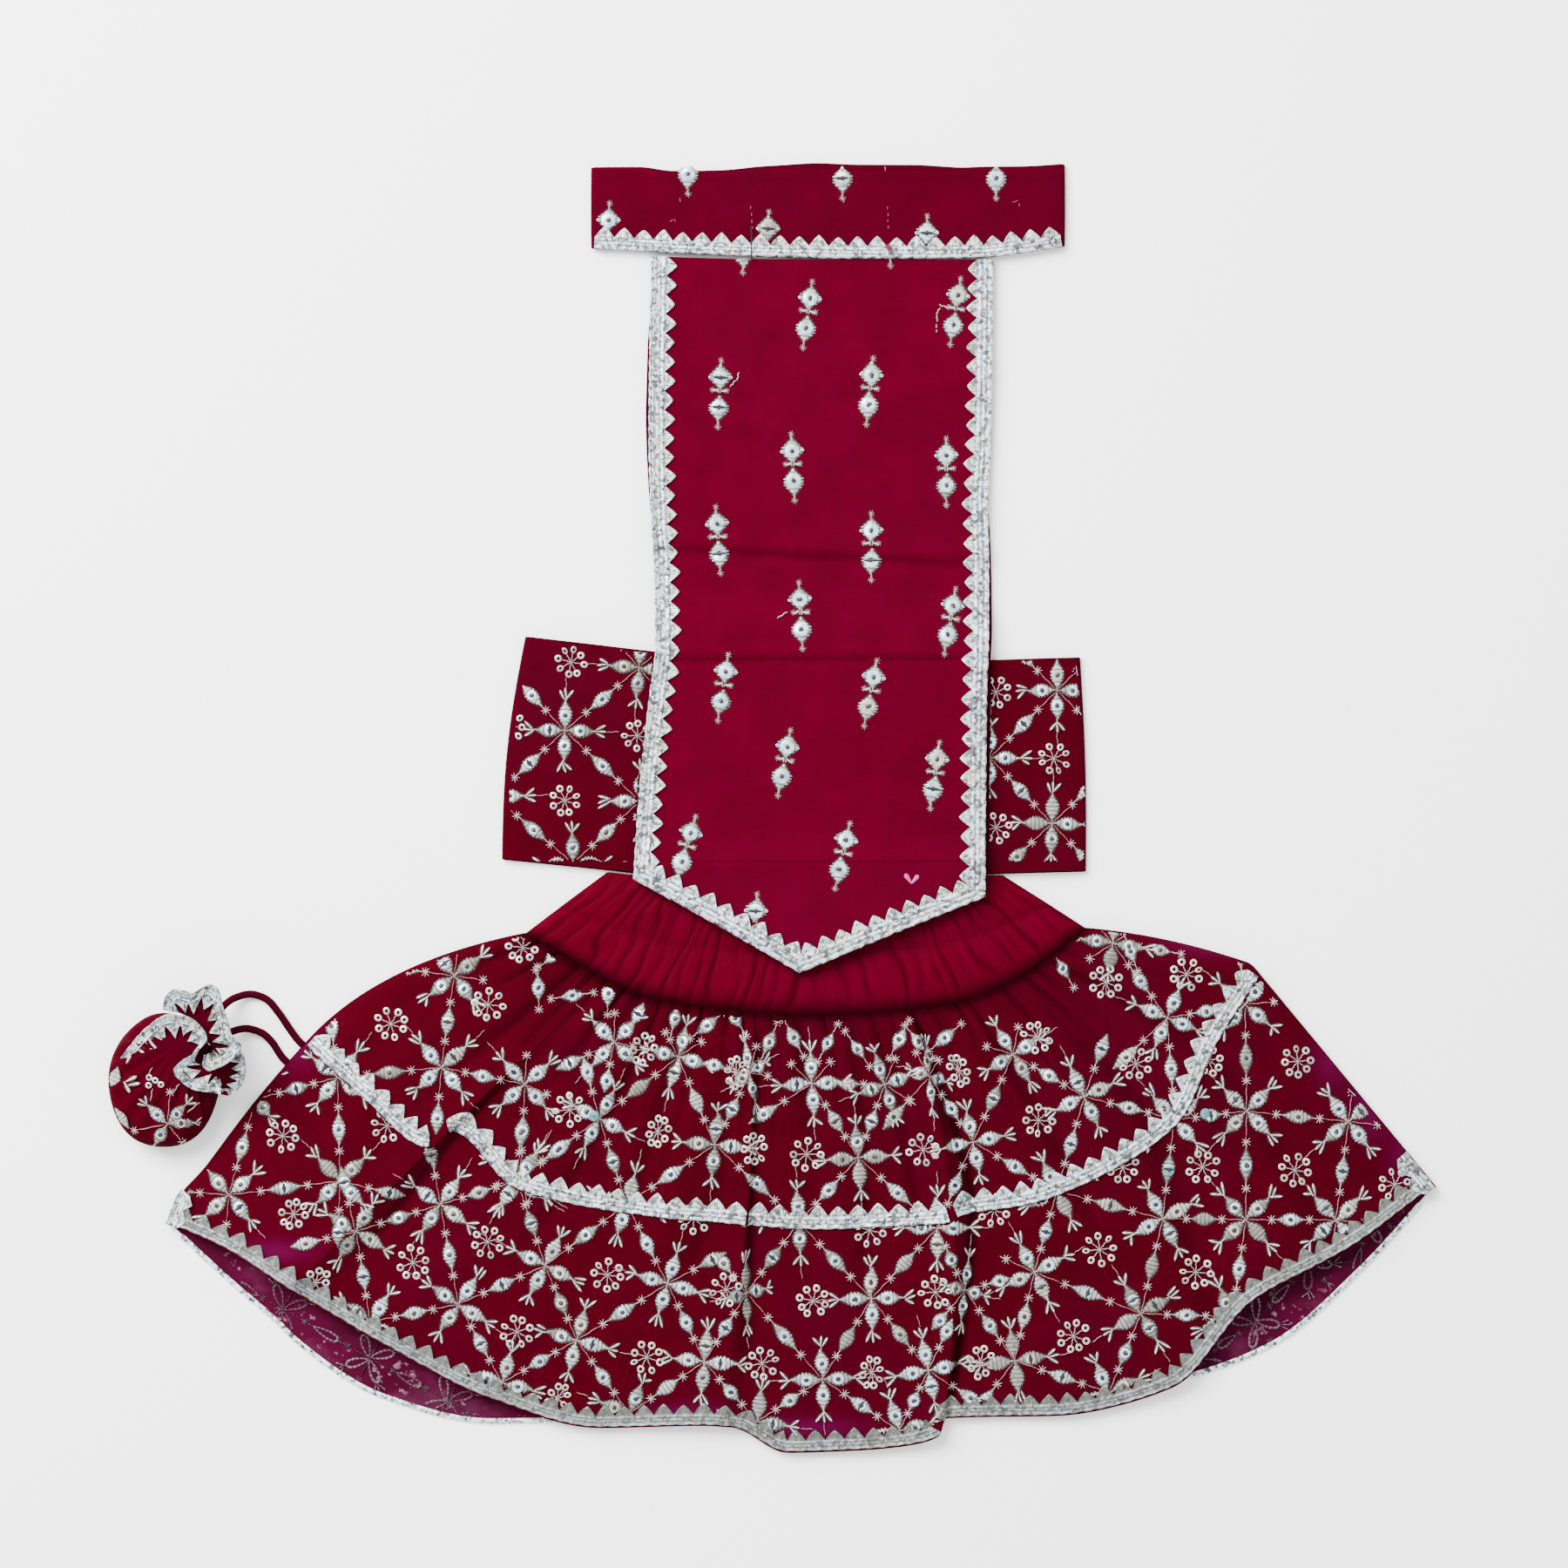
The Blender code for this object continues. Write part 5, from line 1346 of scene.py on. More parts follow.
def belly_band():
    """The belly band, a flattened loop of the embroidered cloth."""
    across, down = np.meshgrid(shares(151), shares(46))
    x, y, _ = belly_plan(across, down)
    front = xyz(x, y, belly_top(x, y))
    across, down = np.meshgrid(shares(41), shares(46))
    x, y, side = belly_plan(across, down)
    back = np.stack([x + side * 0.4, y - 0.5 * down, np.zeros(x.shape)], axis=-1)
    thing = tube_shell("belly_band", front, back, 0.7, jaal(), jaal())
    return finish_piece(thing, ("belly_band_front", "belly_band_back"))


# Lace


def tooth_shape(share):
    """Height of a tooth along its pitch: between a triangle and a sine arch."""
    tent = 1 - np.abs(2 * (share % 1.0) - 1)
    return 0.55 * tent + 0.45 * np.sin(math.pi / 2 * tent)


def lace_grid(length, braid, cuts, pitch=None, tooth=None):
    """Places along and across a lace, with their relief and the tooth's core.

    The braid has a rope on either edge and a row of knots between; a tooth has a raised rim
    round a sunken middle."""
    group = settings("lace")
    pitch = pitch or group.pitch / MM
    tooth = tooth or group.tooth / MM
    teeth = max(2, int(round((length - sum(cuts) * 0.6) / pitch)))
    share = np.arange(12 * teeth + 1) / 12.0
    across = np.concatenate([
        np.array([0, 0.08, 0.2, 0.32, 0.45, 0.58, 0.7, 0.82, 0.92, 1.0]), 1 + np.arange(1, 8) / 7])
    place, level = np.meshgrid(share, across)
    in_tooth = unit(level - 1)
    arch = 0.03 + 0.97 * tooth_shape(place)
    uneven = 1 + 0.10 * np.sin(np.floor(place) * 2.4 + 0.5)
    out = np.minimum(level, 1) * braid + in_tooth * arch * tooth * uneven
    out = out + 0.10 * np.sin(place * 9.0) * (level < 0.5)
    inner = unit(level)
    along = cuts[0] * inner + place / teeth * (length - sum(cuts) * inner)
    rope = np.abs(np.sin(math.pi * along / 1.15 + level * 1.5))
    edge = bell(level - 0.10, 0.10) + bell(level - 0.88, 0.10)
    knots = bell(level - 0.5, 0.2) * np.abs(np.sin(math.pi * along / 1.9))
    border = bell(in_tooth - 0.93, 0.14) * (level > 1)
    side = bell(arch - 0.10, 0.12) * (level > 1)
    core = unit(1 - 1.2 * border - 1.2 * side) * (level > 1.02)
    relief = 0.42 + (0.22 + 0.30 * rope) * edge + 0.30 * knots
    relief = relief + (0.25 * border + 0.15 * side + 0.12 * core * np.sin(along * 9)) * (level > 1)
    relief = relief - 0.25 * bell(level - 1.06, 0.05)
    relief = np.where((level <= 0) | (level >= 2), relief * 0.55, relief)
    return along, out, relief, {"across": level, "core": core, "along": along}


def lace_object(name, path, height, braid, cuts=(0.0, 0.0), lift=0.35, tooth=None, dark=1.0):
    """A toothed lace along a flat path, its teeth to the left, laid on a height function."""
    length = run_length(path)
    along, out, relief, values = lace_grid(length, braid, cuts, None, tooth)
    # A dark above 1 adds dull gold to the teeth and painted shade to the whole lace
    values["core"] = values["core"] * dark
    values["hem_shade"] = np.full(out.shape, dark - 1.0)
    marks = np.arange(2001)
    fine = evenly(path, len(marks))
    side = inward(fine)
    at = along / length * marks[-1]
    x = np.interp(at, marks, fine[:, 0]) + np.interp(at, marks, side[:, 0]) * out
    y = np.interp(at, marks, fine[:, 1]) + np.interp(at, marks, side[:, 1]) * out
    rest = height(x, y) + lift
    top = xyz(x, y, rest + relief)
    return cloth_shell(name, top, 0, [silver()], values, floor=rest)


def panel_laces():
    """Lace down both sides of the panel and along its point, mitred at the corners."""
    braid = settings("lace").braid / MM
    side = shares(200)
    left = np.stack(panel_plan(np.zeros(200), side), axis=1)
    right = np.stack(panel_plan(np.ones(200), side), axis=1)
    left_cut, right_cut, tip_cut = braid * 0.6, braid * 0.7, braid * 0.5
    ends = np.array([PANEL_LEFT_CORNER, PANEL_TIP, PANEL_RIGHT_CORNER])
    left_end, tip, right_end = ends
    point_left = through([left_end, left_end * 0.5 + tip * 0.5 + (0.2, 0.3), tip], 200)
    point_right = through([tip, tip * 0.5 + right_end * 0.5 + (0.1, 0.3), right_end], 200)
    paths = (("panel_lace_left", left, (0.0, left_cut)),
             ("panel_lace_right", right[::-1], (right_cut, 0.0)),
             ("panel_lace_point_left", point_left, (left_cut, tip_cut)),
             ("panel_lace_point_right", point_right, (tip_cut, right_cut)))
    made = []
    for name, path, cuts in paths:
        lace = lace_object(name + "_trim", path, panel_top, braid, cuts)
        made.append(finish_piece(lace, (name,)))
    return made


def neck_lace():
    """Lace along the neck band's lower edge, its teeth towards the neck."""
    xs = np.linspace(NECK_EDGE["x"][0] + 0.2, NECK_EDGE["x"][-1] - 0.2, 300)
    path = np.stack([xs, neck_rows(xs, 0.0) + 0.05], axis=1)
    lace = lace_object("neck_lace_trim", path, neck_top, settings("lace").neck_braid / MM)
    return finish_piece(lace, ("neck_lace",))


def skirt_height_at(x, y):
    """Height of the skirt's upper side at places in the plan."""
    ribs, down, _ = skirt_spot(x, y)
    return skirt_top(np.clip(ribs, 1, LAST_RIB), unit(down))


def tip_lace(name, rib, downs):
    """The hem lace turned up round the skirt's pointed side."""
    path = np.stack(skirt_plan(np.full(60, rib), np.linspace(*downs, 60)), axis=1)
    path = path - inward(path) * (1.9 if name == "left" else 0.9)
    return lace_object("skirt_hem_lace_tip_" + name, evenly(path, 90), skirt_height_at,
                       settings("lace").hem_braid / MM * 0.9, lift=0.95, tooth=2.4)


def skirt_laces():
    """The skirt's middle and hem laces, and the edge of the back layer's lace.

    A lace is broken where a fold hides a piece of it; the hem's has more gold and painted shade."""
    braid = settings("lace").hem_braid / MM
    made = []
    for name, down, share, dark, spans in (
            ("skirt_mid_lace", MID_LACE_ROW, 1.0, 1.0,
             ((FIRST_LACED, 2.90), (3.13, 6.96), (7.05, 9.92), (10.12, LAST_LACED))),
            ("skirt_hem_lace", HEM_LACE_ROW, 0.80, 2.0, ((FIRST_LACED, 9.95), (10.08, LAST_LACED)))):
        parts = []
        for first, last in spans:
            path = np.stack(skirt_plan(np.linspace(first, last, 500), np.full(500, down)), axis=1)
            parts.append(lace_object("%s_run_%d" % (name, len(parts)), evenly(path, 700),
                                     skirt_height_at, braid * share, dark=dark))
        if name == "skirt_hem_lace":
            parts += [tip_lace("left", FIRST_LACED, (0.915, 1.003)),
                      tip_lace("right", LAST_LACED, (1.003, 0.915))]
        made.append(finish_piece(join(name + "_trim", parts), (name,)))
    count = 900
    path = evenly(np.stack(rib_curve("back", np.linspace(1.2, LAST_RIB - 0.2, 600)), axis=1), count)
    place = np.arange(count)
    across = np.array([-0.3, 0.3, 0.8, 1.1])[:, None]
    reach = across + 0.5 * np.abs(np.sin(place * 0.8)) * (across > 0.5)
    x, y = (path[:, k] - inward(path)[:, k] * reach for k in (0, 1))
    height = 0.75 + 0.3 * np.abs(np.sin(place * 1.4)) * (across > 0) + 0 * x
    height = np.where(across > 1.0, 0.5, height) + np.where(across < 0, 0.15, 0)
    zero = np.zeros(x.shape)
    edge = cloth_shell("skirt_back_hem_trim", xyz(x, y, height), 0, [silver()],
                       {"across": zero, "core": zero, "along": zero + place * 0.9}, floor=0.1)
    return made + [finish_piece(edge, ("skirt_back_hem_lace",))]


# Needlework


def tube(x, y, z, joined=False):
    """Points and quads of a tube of rings, a ring a row, its ends joined if it is a loop."""
    rings = xyz(x, y, z)
    rows, count = rings.shape[:2]
    quads = grid_quads(rows, count, closed=True)
    if joined:
        first = np.arange(count)
        quads = np.concatenate([quads, rim(first, first + (rows - 1) * count)])
    return rings.reshape(-1, 3), quads


def column(*values):
    """Values as a column, one for each ring of a tube."""
    return np.array(values, dtype=float)[:, None]


def steps(count):
    """Angles of evenly spaced points round a ring."""
    return np.arange(count) / count * 2 * math.pi


THREE_SIDES = np.arange(3) * math.pi / 1.5 + math.pi / 2
FOUR_SIDES = np.arange(4) * math.pi / 2


def leaf_shape():
    """A satin-stitched leaf: a spindle with a zigzag edge and a domed top."""
    share = column(*shares(19))
    zigzag = 1 + 0.22 * np.where(np.arange(19) % 2, 1, -1)[:, None]
    width = np.clip(np.sin(math.pi * share) ** 1.7 * zigzag, 0, 1.06) / 2 + 0.05
    width[0] = width[-1] = 0.03
    dome = 0.22 + 0.45 * np.sin(math.pi * share)
    profile = np.array([(-1, 0.05), (-0.6, 0.8), (0, 1.0), (0.6, 0.8), (1, 0.05), (0, -0.1)])
    return tube(share - 0.5, width * profile[:, 0], dome * profile[:, 1])


def strand_shape(wave=0.22):
    """A stitched line: a thin three-sided spindle with a slight wave."""
    share = column(*shares(7))
    radius = column(0.25, 0.9, 1.0, 0.85, 1.0, 0.9, 0.25)
    y = radius * np.cos(THREE_SIDES) * 0.36 + wave * np.sin(share * 11)
    return tube(share - 0.5, y, radius * np.sin(THREE_SIDES) * 0.30 + 0.30)


def loop_shape():
    """A loop stitch: a thin tube round a drop-shaped outline."""
    turn = column(*steps(9))
    x = 0.5 * np.cos(turn) * (1 + 0.30 * np.cos(FOUR_SIDES) * 0.35)
    y = 0.5 * np.sin(turn) * (0.75 + 0.35 * np.cos(turn)) * (1 + 0.30 * np.cos(FOUR_SIDES))
    return tube(x, y, 0.32 + 0.30 * np.sin(FOUR_SIDES), joined=True)


def finger_shape():
    """A padded stitch that widens towards its outer end."""
    half = column(0.16, 0.26, 0.34, 0.42, 0.50, 0.22)
    turn = np.arange(6) * math.pi / 3
    x = column(*shares(6)) - 0.5
    return tube(x, half * np.cos(turn), 0.28 + half * 0.9 * np.sin(turn))


def shade_shape():
    """A flat spindle that shows as a dark edge and painted shadow round a stitch."""
    share = column(*shares(7))
    half = 0.08 + 0.42 * np.sin(math.pi * share) ** 1.2
    return tube(share - 0.5, half * np.cos(FOUR_SIDES), 0.04 * np.sin(FOUR_SIDES))


def knot_shape():
    """A burst of short stitches that cross each other."""
    size = column(0.04, 0.075, 0.075, 0.04)
    flat = size * np.cos(THREE_SIDES)
    points, faces = [], []
    for k, turn in enumerate((8, 52, 96, 140)):
        along = column(-0.5, -0.3, 0.3, 0.5) * (1.0 if k % 2 else 0.88)
        cos, sin = heading(turn)
        part, quads = tube(along * cos * 2 - flat * sin, along * sin * 2 + flat * cos,
                           0.26 + 0.09 * k + 1.8 * size * np.sin(THREE_SIDES))
        faces.append(quads + 12 * k)
        points.append(part)
    return np.concatenate(points), np.concatenate(faces)


def disc_shape(sides, hole, cup):
    """A sequin: a thin cupped disc with a hole."""
    turn = steps(sides)
    radius = column(0.5, 0.46, hole / 2, hole / 2, 0.46)
    height = column(0.10, 0.16, 0.13 - cup, 0.02 - cup, 0.06)
    return tube(radius * np.cos(turn), radius * np.sin(turn), height, joined=True)


def dot_shape():
    """A small flat bead."""
    radius = column(0.5, 0.42, 0.02)
    return tube(radius * np.cos(steps(8)), radius * np.sin(steps(8)), column(0, 0.10, 0.13))


def squeezed(vx, vy, axis, squash):
    """Vectors with their part across an axis made smaller by a share."""
    cos, sin = np.cos(axis), np.sin(axis)
    along, aside = vx * cos + vy * sin, (vy * cos - vx * sin) * squash
    return along * cos - aside * sin, along * sin + aside * cos


class Needlework:
    """Small stitched shapes, gathered as arrays and joined into one mesh for each material."""

    def __init__(self, seed):
        """Nothing placed yet, and random draws of its own."""
        self.shapes = {
            "leaf": leaf_shape(), "strand": strand_shape(), "loop": loop_shape(),
            "finger": finger_shape(), "knot": knot_shape(), "sequin": disc_shape(12, 0.17, 0.02),
            "ring": disc_shape(9, 0.46, -0.05), "bar": strand_shape(0.03), "dot": dot_shape(),
            "shade": shade_shape()}
        self.placed = {key: [] for key in self.shapes}
        self.random = np.random.default_rng(seed)

    def add(self, shape, x, y, turn, length, width, lift=0.0, tone=None, mood=0.0):
        """Copies of a shape, each at its place, turned in degrees and sized in millimetres."""
        x = np.atleast_1d(np.asarray(x, dtype=float))
        if tone is None:
            tone = {"leaf": 1.0, "strand": 0.9, "finger": 0.5, "loop": 0.5}.get(shape, 0.3)
            tone = tone * self.random.random(len(x)) ** (0.6 if shape == "strand" else 1.8) + mood
        rows = np.broadcast_arrays(x, y, np.radians(turn), length, width, lift, tone)
        rows = np.stack([np.ravel(values) for values in rows], axis=1)
        self.placed[shape].append(rows)
        # Under each leaf and finger, a larger dark copy: a dark stitched edge and painted shadow
        margin = {"leaf": (0.3, 0.9), "finger": (0.7, 0.9)}.get(shape)
        if margin:
            dark = rows.copy()
            dark[:, 3:5] += margin
            dark[:, 5] += 0.06
            self.placed["shade"].append(dark)

    def draw(self, rows, x, y, turn, size=1.0, axis=0.0, squash=1.0, mood=0.0):
        """A drawing, copied to every spot, turned by its angle and squeezed across an axis."""
        turn = np.radians(np.asarray(turn, dtype=float))
        cos, sin = np.cos(turn), np.sin(turn)
        for shape, dx, dy, angle, length, width, lift in rows:
            px, py = dx * size, dy * size
            ox, oy = squeezed(px * cos - py * sin, px * sin + py * cos, axis, squash)
            way = turn + math.radians(angle)
            ax, ay = squeezed(np.cos(way), np.sin(way), axis, squash)
            bx, by = squeezed(-np.sin(way), np.cos(way), axis, squash)
            jitter = self.random.normal(0, 9.0 if shape == "finger" else 3.0, np.shape(x))
            scale = 1 + self.random.normal(0, 0.12 if shape == "finger" else 0.05, np.shape(x))
            self.add(shape, x + ox, y + oy, np.degrees(np.arctan2(ay, ax)) + jitter,
                     length * size * scale * np.hypot(ax, ay), width * size * np.hypot(bx, by),
                     lift, mood=mood if shape == "leaf" else 0.0)

    def shiny(self, x, y, way, size, barred=0.22, mood=0.0):
        """Sequins, each held by a dark bead or by a dark stitch across it.

        The higher the mood, the more painted shade dulls them and the more of them are missing."""
        lift = 0.66
        x, y, way, size, mood = (np.ravel(values) for values in np.broadcast_arrays(x, y, way, size, mood))
        stay = self.random.random(len(x)) >= mood * 0.55
        x, y, way, size, mood = x[stay], y[stay], way[stay], size[stay], mood[stay]
        tone = self.random.random(len(x)) ** 2.4 * 0.9 + 0.45 * mood
        self.add("sequin", x, y, way, size, size * (1 - 0.25 * mood), lift, tone)
        pick = self.random.random(len(x)) < barred
        if pick.any():
            self.add("bar", x[pick], y[pick], way[pick], size[pick] * 1.05, 1.5, lift + 0.08, 0)
        side = self.random.normal(0, 0.18, (2, len(x)))
        for part, grow in ((0, 1.0), (1, 0.7)):
            dx, dy = side * part * 1.6
            self.add("dot", x + dx, y + dy, self.random.random(len(x)) * 180, 1.95 * grow,
                     1.6 * grow, lift + 0.13 + 0.05 * part, 0)

    def build(self, name, kinds, look, place):
        """One mesh of the shapes of some kinds, set on a surface by their places.

        place(x, y) gives the surface's height and where it is there at all; a face is kept
        where all its points are on the surface."""
        points, faces, tones, along = [], [], [], []
        count = 0
        for kind in kinds:
            if not self.placed[kind]:
                continue
            rows = np.concatenate(self.placed[kind])
            shape, quads = self.shapes[kind]
            x, y, turn, length, width, lift, tone = (c[:, None] for c in rows.T)
            lx = shape[:, 0] * length
            ly = shape[:, 1] * width
            gx = x + lx * np.cos(turn) - ly * np.sin(turn)
            gy = y + lx * np.sin(turn) + ly * np.cos(turn)
            gz = shape[:, 2] + lift + 0 * x
            tilt = self.random.normal(0, 0.05, x.shape) if kind in ("sequin", "ring") else 0
            gz = gz + tilt * lx
            points.append(xyz(gx, gy, gz).reshape(-1, 3))
            faces.append((quads[None] + count + np.arange(len(rows))[:, None, None] * len(shape))
                         .reshape(-1, 4))
            tones.append(np.broadcast_to(tone, gx.shape).ravel())
            along.append((lx + 0 * tone).ravel() / 4)
            count += gx.size
        if not points:
            return None
        points, faces = np.concatenate(points), np.concatenate(faces)
        height, inside = place(points[:, 0], points[:, 1])
        points[:, 2] += height
        faces = faces[inside[faces].all(axis=1)]
        used = np.unique(faces)
        back = np.zeros(len(points), dtype=int)
        back[used] = np.arange(len(used))
        values = {"tone": np.concatenate(tones)[used], "along": np.concatenate(along)[used]}
        thing = make_object(name, points[used], back[faces], [look], None, values)
        return finish_piece(thing)

    def build_all(self, name, place):
        """The leaves, lines, sequins, dark beads, and dark stitch edges with painted shadow."""
        parts = ((name + "_leaf_work", ("leaf",), thread()),
                 (name + "_line_work", ("strand", "loop", "finger", "knot"), line_thread()),
                 (name + "_sequins", ("sequin", "ring"), sequins()),
                 (name + "_dark_beads", ("bar", "dot"), dark_thread()),
                 (name + "_stitch_edges_and_shadows", ("shade",), shade_thread()))
        made = [self.build(part, kinds, look, place) for part, kinds, look in parts]
        return [thing for thing in made if thing]


def net_of_stars(work, stars, flowers, base, size=1.0, wrong=False, seam=None):
    """Stars with four petals, links between neighbours, and flowers of eight small sequins.

    A star's links lie half way between its petals.  It is turned from its base angle by the
    mean of the ways to its neighbours, so that the net follows the pull of the cloth.  Loose
    links end before the seam, where seam(x, y) is true.  Some stars are dulled by painted shade
    and hold fewer sequins."""
    group = settings("needlework")
    big, small = group.sequin / MM * size, group.small_sequin / MM * size
    x, y = stars["x"], stars["y"]
    squash = stars.get("squash", np.ones(len(x)))
    # Painted shade: a star's mood darkens its leaves and sequins, as on stars in shade
    mood = np.clip((work.random.random(len(x)) - 0.55) * 2.2, 0, 0.9)
    axis = np.radians(base)
    dx, dy = x[None] - x[:, None], y[None] - y[:, None]
    far = np.hypot(dx, dy)
    way = np.degrees(np.arctan2(dy, dx))
    near = (far > 20 * size) & (far < 44 * size)
    off = (way - base[:, None] - 45 + 45) % 90 - 45
    good = near & (np.abs(off) < 30)
    turn = base + (off * good).sum(axis=1) / np.maximum(good.sum(axis=1), 1)
    for k in range(4):
        petal = turn + 90 * k
        rad = np.radians(petal)
        work.draw(PETAL, x, y, petal, size, axis, squash, mood)
        if not wrong:
            gx, gy = squeezed(5.5 * size * np.cos(rad), 5.5 * size * np.sin(rad), axis, squash)
            work.shiny(x + gx, y + gy, petal + 90, big * (0.5 + 0.5 * squash), mood=mood)
        lone = work.random.random(len(x)) < 0.5
        gx, gy = squeezed(17.4 * size * np.cos(rad), 17.4 * size * np.sin(rad), axis, squash)
        work.add("strand", (x + gx)[lone], (y + gy)[lone], petal[lone] + 6, 4.4, 0.5, 0.05, 0.9)
        link = turn + 90 * k + 45
        gap = np.abs((way - link[:, None] + 180) % 360 - 180)
        mate = near & (gap < 26)
        pick = np.where(mate, far, 1e9).argmin(axis=1)
        has = mate.any(axis=1)
        rad = np.radians(link)
        cx, cy = squeezed(np.cos(rad), np.sin(rad), axis, squash)
        stretch = np.where(has, 1.0, np.hypot(cx, cy))
        reach = np.where(has, far[np.arange(len(x)), pick], 35.0 * size * stretch)
        aim = np.where(has, way[np.arange(len(x)), pick], np.degrees(np.arctan2(cy, cx)))
        cos, sin = heading(aim)
        shrink = np.clip(reach / (35 * size), 0.62, 1.12)
        knot = 10.0 * size * shrink
        work.add("strand", x + cos * knot * 0.47, y + sin * knot * 0.47, aim, knot * 0.8, 0.5, 0.1, 0.95)
        work.add("knot", x + cos * knot, y + sin * knot, aim, 1.75 * size, 1.85 * size, 0.05)
        tip = reach / 2 - 5.2 * size * shrink
        mx, my = x + cos * reach / 2, y + sin * reach / 2
        keep = np.ones(len(x), bool) if seam is None else has | ~seam(mx, my)
        hx, hy = x + cos * (knot + tip) / 2, y + sin * (knot + tip) / 2
        work.add("strand", hx[keep], hy[keep], aim[keep],
                 (np.maximum(tip - knot, 1.0) * 1.1)[keep], 0.62, 0.1, 0.5)
        first = keep & (~has | (np.arange(len(x)) < pick))
        # Painted shade dulls some links' leaves and sequins too
        dull = np.clip(work.random.random(first.sum()) * 1.6 - 0.9, 0, 0.7)
        work.add("leaf", mx[first], my[first], aim[first], 10.6 * size * shrink[first], 4.0 * size,
                 mood=dull)
        if not wrong:
            work.shiny(mx[first], my[first], aim[first] + 90, big * 0.92, mood=dull)
    if flowers is not None:
        fx, fy = flowers["x"], flowers["y"]
        tight = flowers.get("squash", np.ones(len(fx)))
        lean = fan_angle(fx, fy) if "squash" in flowers else np.zeros(len(fx))
        lean = np.radians(lean)
        start = work.random.random(len(fx)) * 45
        for k in range(8):
            way = np.radians(start + 45 * k) + work.random.normal(0, 0.05, len(fx))
            ring = FLOWER_RING * size * (1 + work.random.normal(0, 0.04, len(fx)))
            gx, gy = squeezed(ring * np.cos(way), ring * np.sin(way), lean, tight)
            dull = 0.56 + work.random.random(len(fx)) ** 2.5 * 0.42
            flat = small * (1 - 0.35 * work.random.random(len(fx)) ** 3)
            work.add("ring", fx + gx, fy + gy, np.degrees(way), small, flat, 0.15, dull)
            work.add("strand", fx + gx * 0.42, fy + gy * 0.42, np.degrees(np.arctan2(gy, gx)),
                     np.hypot(gx, gy) * 0.6, 0.5, 0.1, 0.2)
        work.add("knot", fx, fy, start, 1.3 * size, 1.3 * size, 0.1, 0.05)


def fan_angle(x, y):
    """Direction of the skirt's ribs at places in the plan, in degrees."""
    ribs, down, _ = skirt_spot(x, y)
    ax, ay = skirt_plan(ribs, unit(down - 0.03))
    bx, by = skirt_plan(ribs, unit(down + 0.03))
    return np.degrees(np.arctan2(by - ay, bx - ax))


def on_skirt(x, y):
    """Height of the skirt's embroidery, and where neither an edge nor a lace's braid is."""
    ribs, down, found = skirt_spot(x, y)
    near, far = skirt_plan(ribs, down - 0.01), skirt_plan(ribs, down + 0.01)
    scale = 0.02 / np.hypot(far[0] - near[0], far[1] - near[1])
    braid = settings("lace").hem_braid / MM * scale
    free = (down > 0.012) & (down < HEM_LACE_ROW - braid)
    free &= (down < MID_LACE_ROW - braid) | (down > MID_LACE_ROW)
    free &= (ribs > FIRST_LACED) & (ribs < LAST_LACED)
    return skirt_top(np.clip(ribs, 1, LAST_RIB), unit(down)), free & found


def by_seam(x, y):
    """Places so near the seam that its gathers swallow a link."""
    _, down, _ = skirt_spot(x, y)
    return down < 0.17


def skirt_embroidery():
    """The skirt's net of stars and flowers, with the leaves left over beside the seam."""
    work = Needlework(5)
    base = fan_angle(SKIRT_STARS["x"], SKIRT_STARS["y"])
    net_of_stars(work, SKIRT_STARS, SKIRT_FLOWERS, base, seam=by_seam)
    x, y, way, size = (SEAM_LEAVES[key] for key in ("x", "y", "way", "size"))
    work.add("leaf", x, y, way, 9.0 * size, 4.2 * size)
    work.shiny(x, y, way + 90, settings("needlework").sequin / MM * size * 0.95)
    cos, sin = heading(way)
    for end in (-1, 1):
        work.add("strand", x + cos * 5.3 * end, y + sin * 5.3 * end, way, 3.0, 0.62, 0.1)
        work.add("knot", x + cos * 7.4 * end, y + sin * 7.4 * end, way, 1.6, 1.7, 0.05)
    for x, y in TEAL_SEQUINS:
        work.add("sequin", x, y, 0, 3.6, 3.6, 0.78, 2.0)
    return work.build_all("skirt", on_skirt)


def on_back(x, y):
    """Height of the back layer's upper side, where the front doesn't cover it."""
    _, down, found = skirt_spot(x, y)
    bx, by = rib_curve("back", all_ribs(400))
    low = np.interp(x, bx, by)
    free = (y > low + 0.6) & ((down > 0.97) | ~found) & (y < -125)
    return np.full(np.shape(x), 0.72), free


def back_embroidery():
    """The wrong side of the embroidery, which shows on the skirt's back layer."""
    work = Needlework(9)
    base = fan_angle(BACK_STARS["x"], BACK_STARS["y"])
    net_of_stars(work, BACK_STARS, None, base, 0.8, wrong=True)
    work.placed["loop"] += work.placed.pop("leaf")
    look = thread_look("Wrong side thread", (0.15, 0.075, 0.11), hatch=0.8, dull=(0.07, 0.012, 0.035))
    return [work.build("back_line_work", ("strand", "loop", "finger", "knot"), look, on_back)]


def on_belly(x, y):
    """Height of the belly band's embroidery, where the panel doesn't cover it."""
    top = np.interp(x, (-83.4, -40.5, 75.0, 105.3), (58.9, 53.9, 50.9, 51.8))
    left = np.interp(y, (-17.4, 20, 58.9), (-91.4, -89.6, -83.4))
    right = np.interp(y, (-21.5, 15, 51.8), (108.0, 108.8, 105.3))
    edge_left = on_curve(PANEL_EDGE, "left", y)
    edge_right = on_curve(PANEL_EDGE, "right", y)
    free = (y < top - 0.5) & (y > -18.5) & (x > left + 0.4) & (x < right - 0.4)
    free &= (x < edge_left - 0.2) | (x > edge_right + 1.2)
    return belly_top(x, y), free


def belly_embroidery():
    """The belly band's net of stars and flowers."""
    work = Needlework(7)
    base = np.full(len(BELLY_STARS["x"]), -90.0)
    net_of_stars(work, BELLY_STARS, BELLY_FLOWERS, base, 0.95)
    return work.build_all("belly", on_belly)


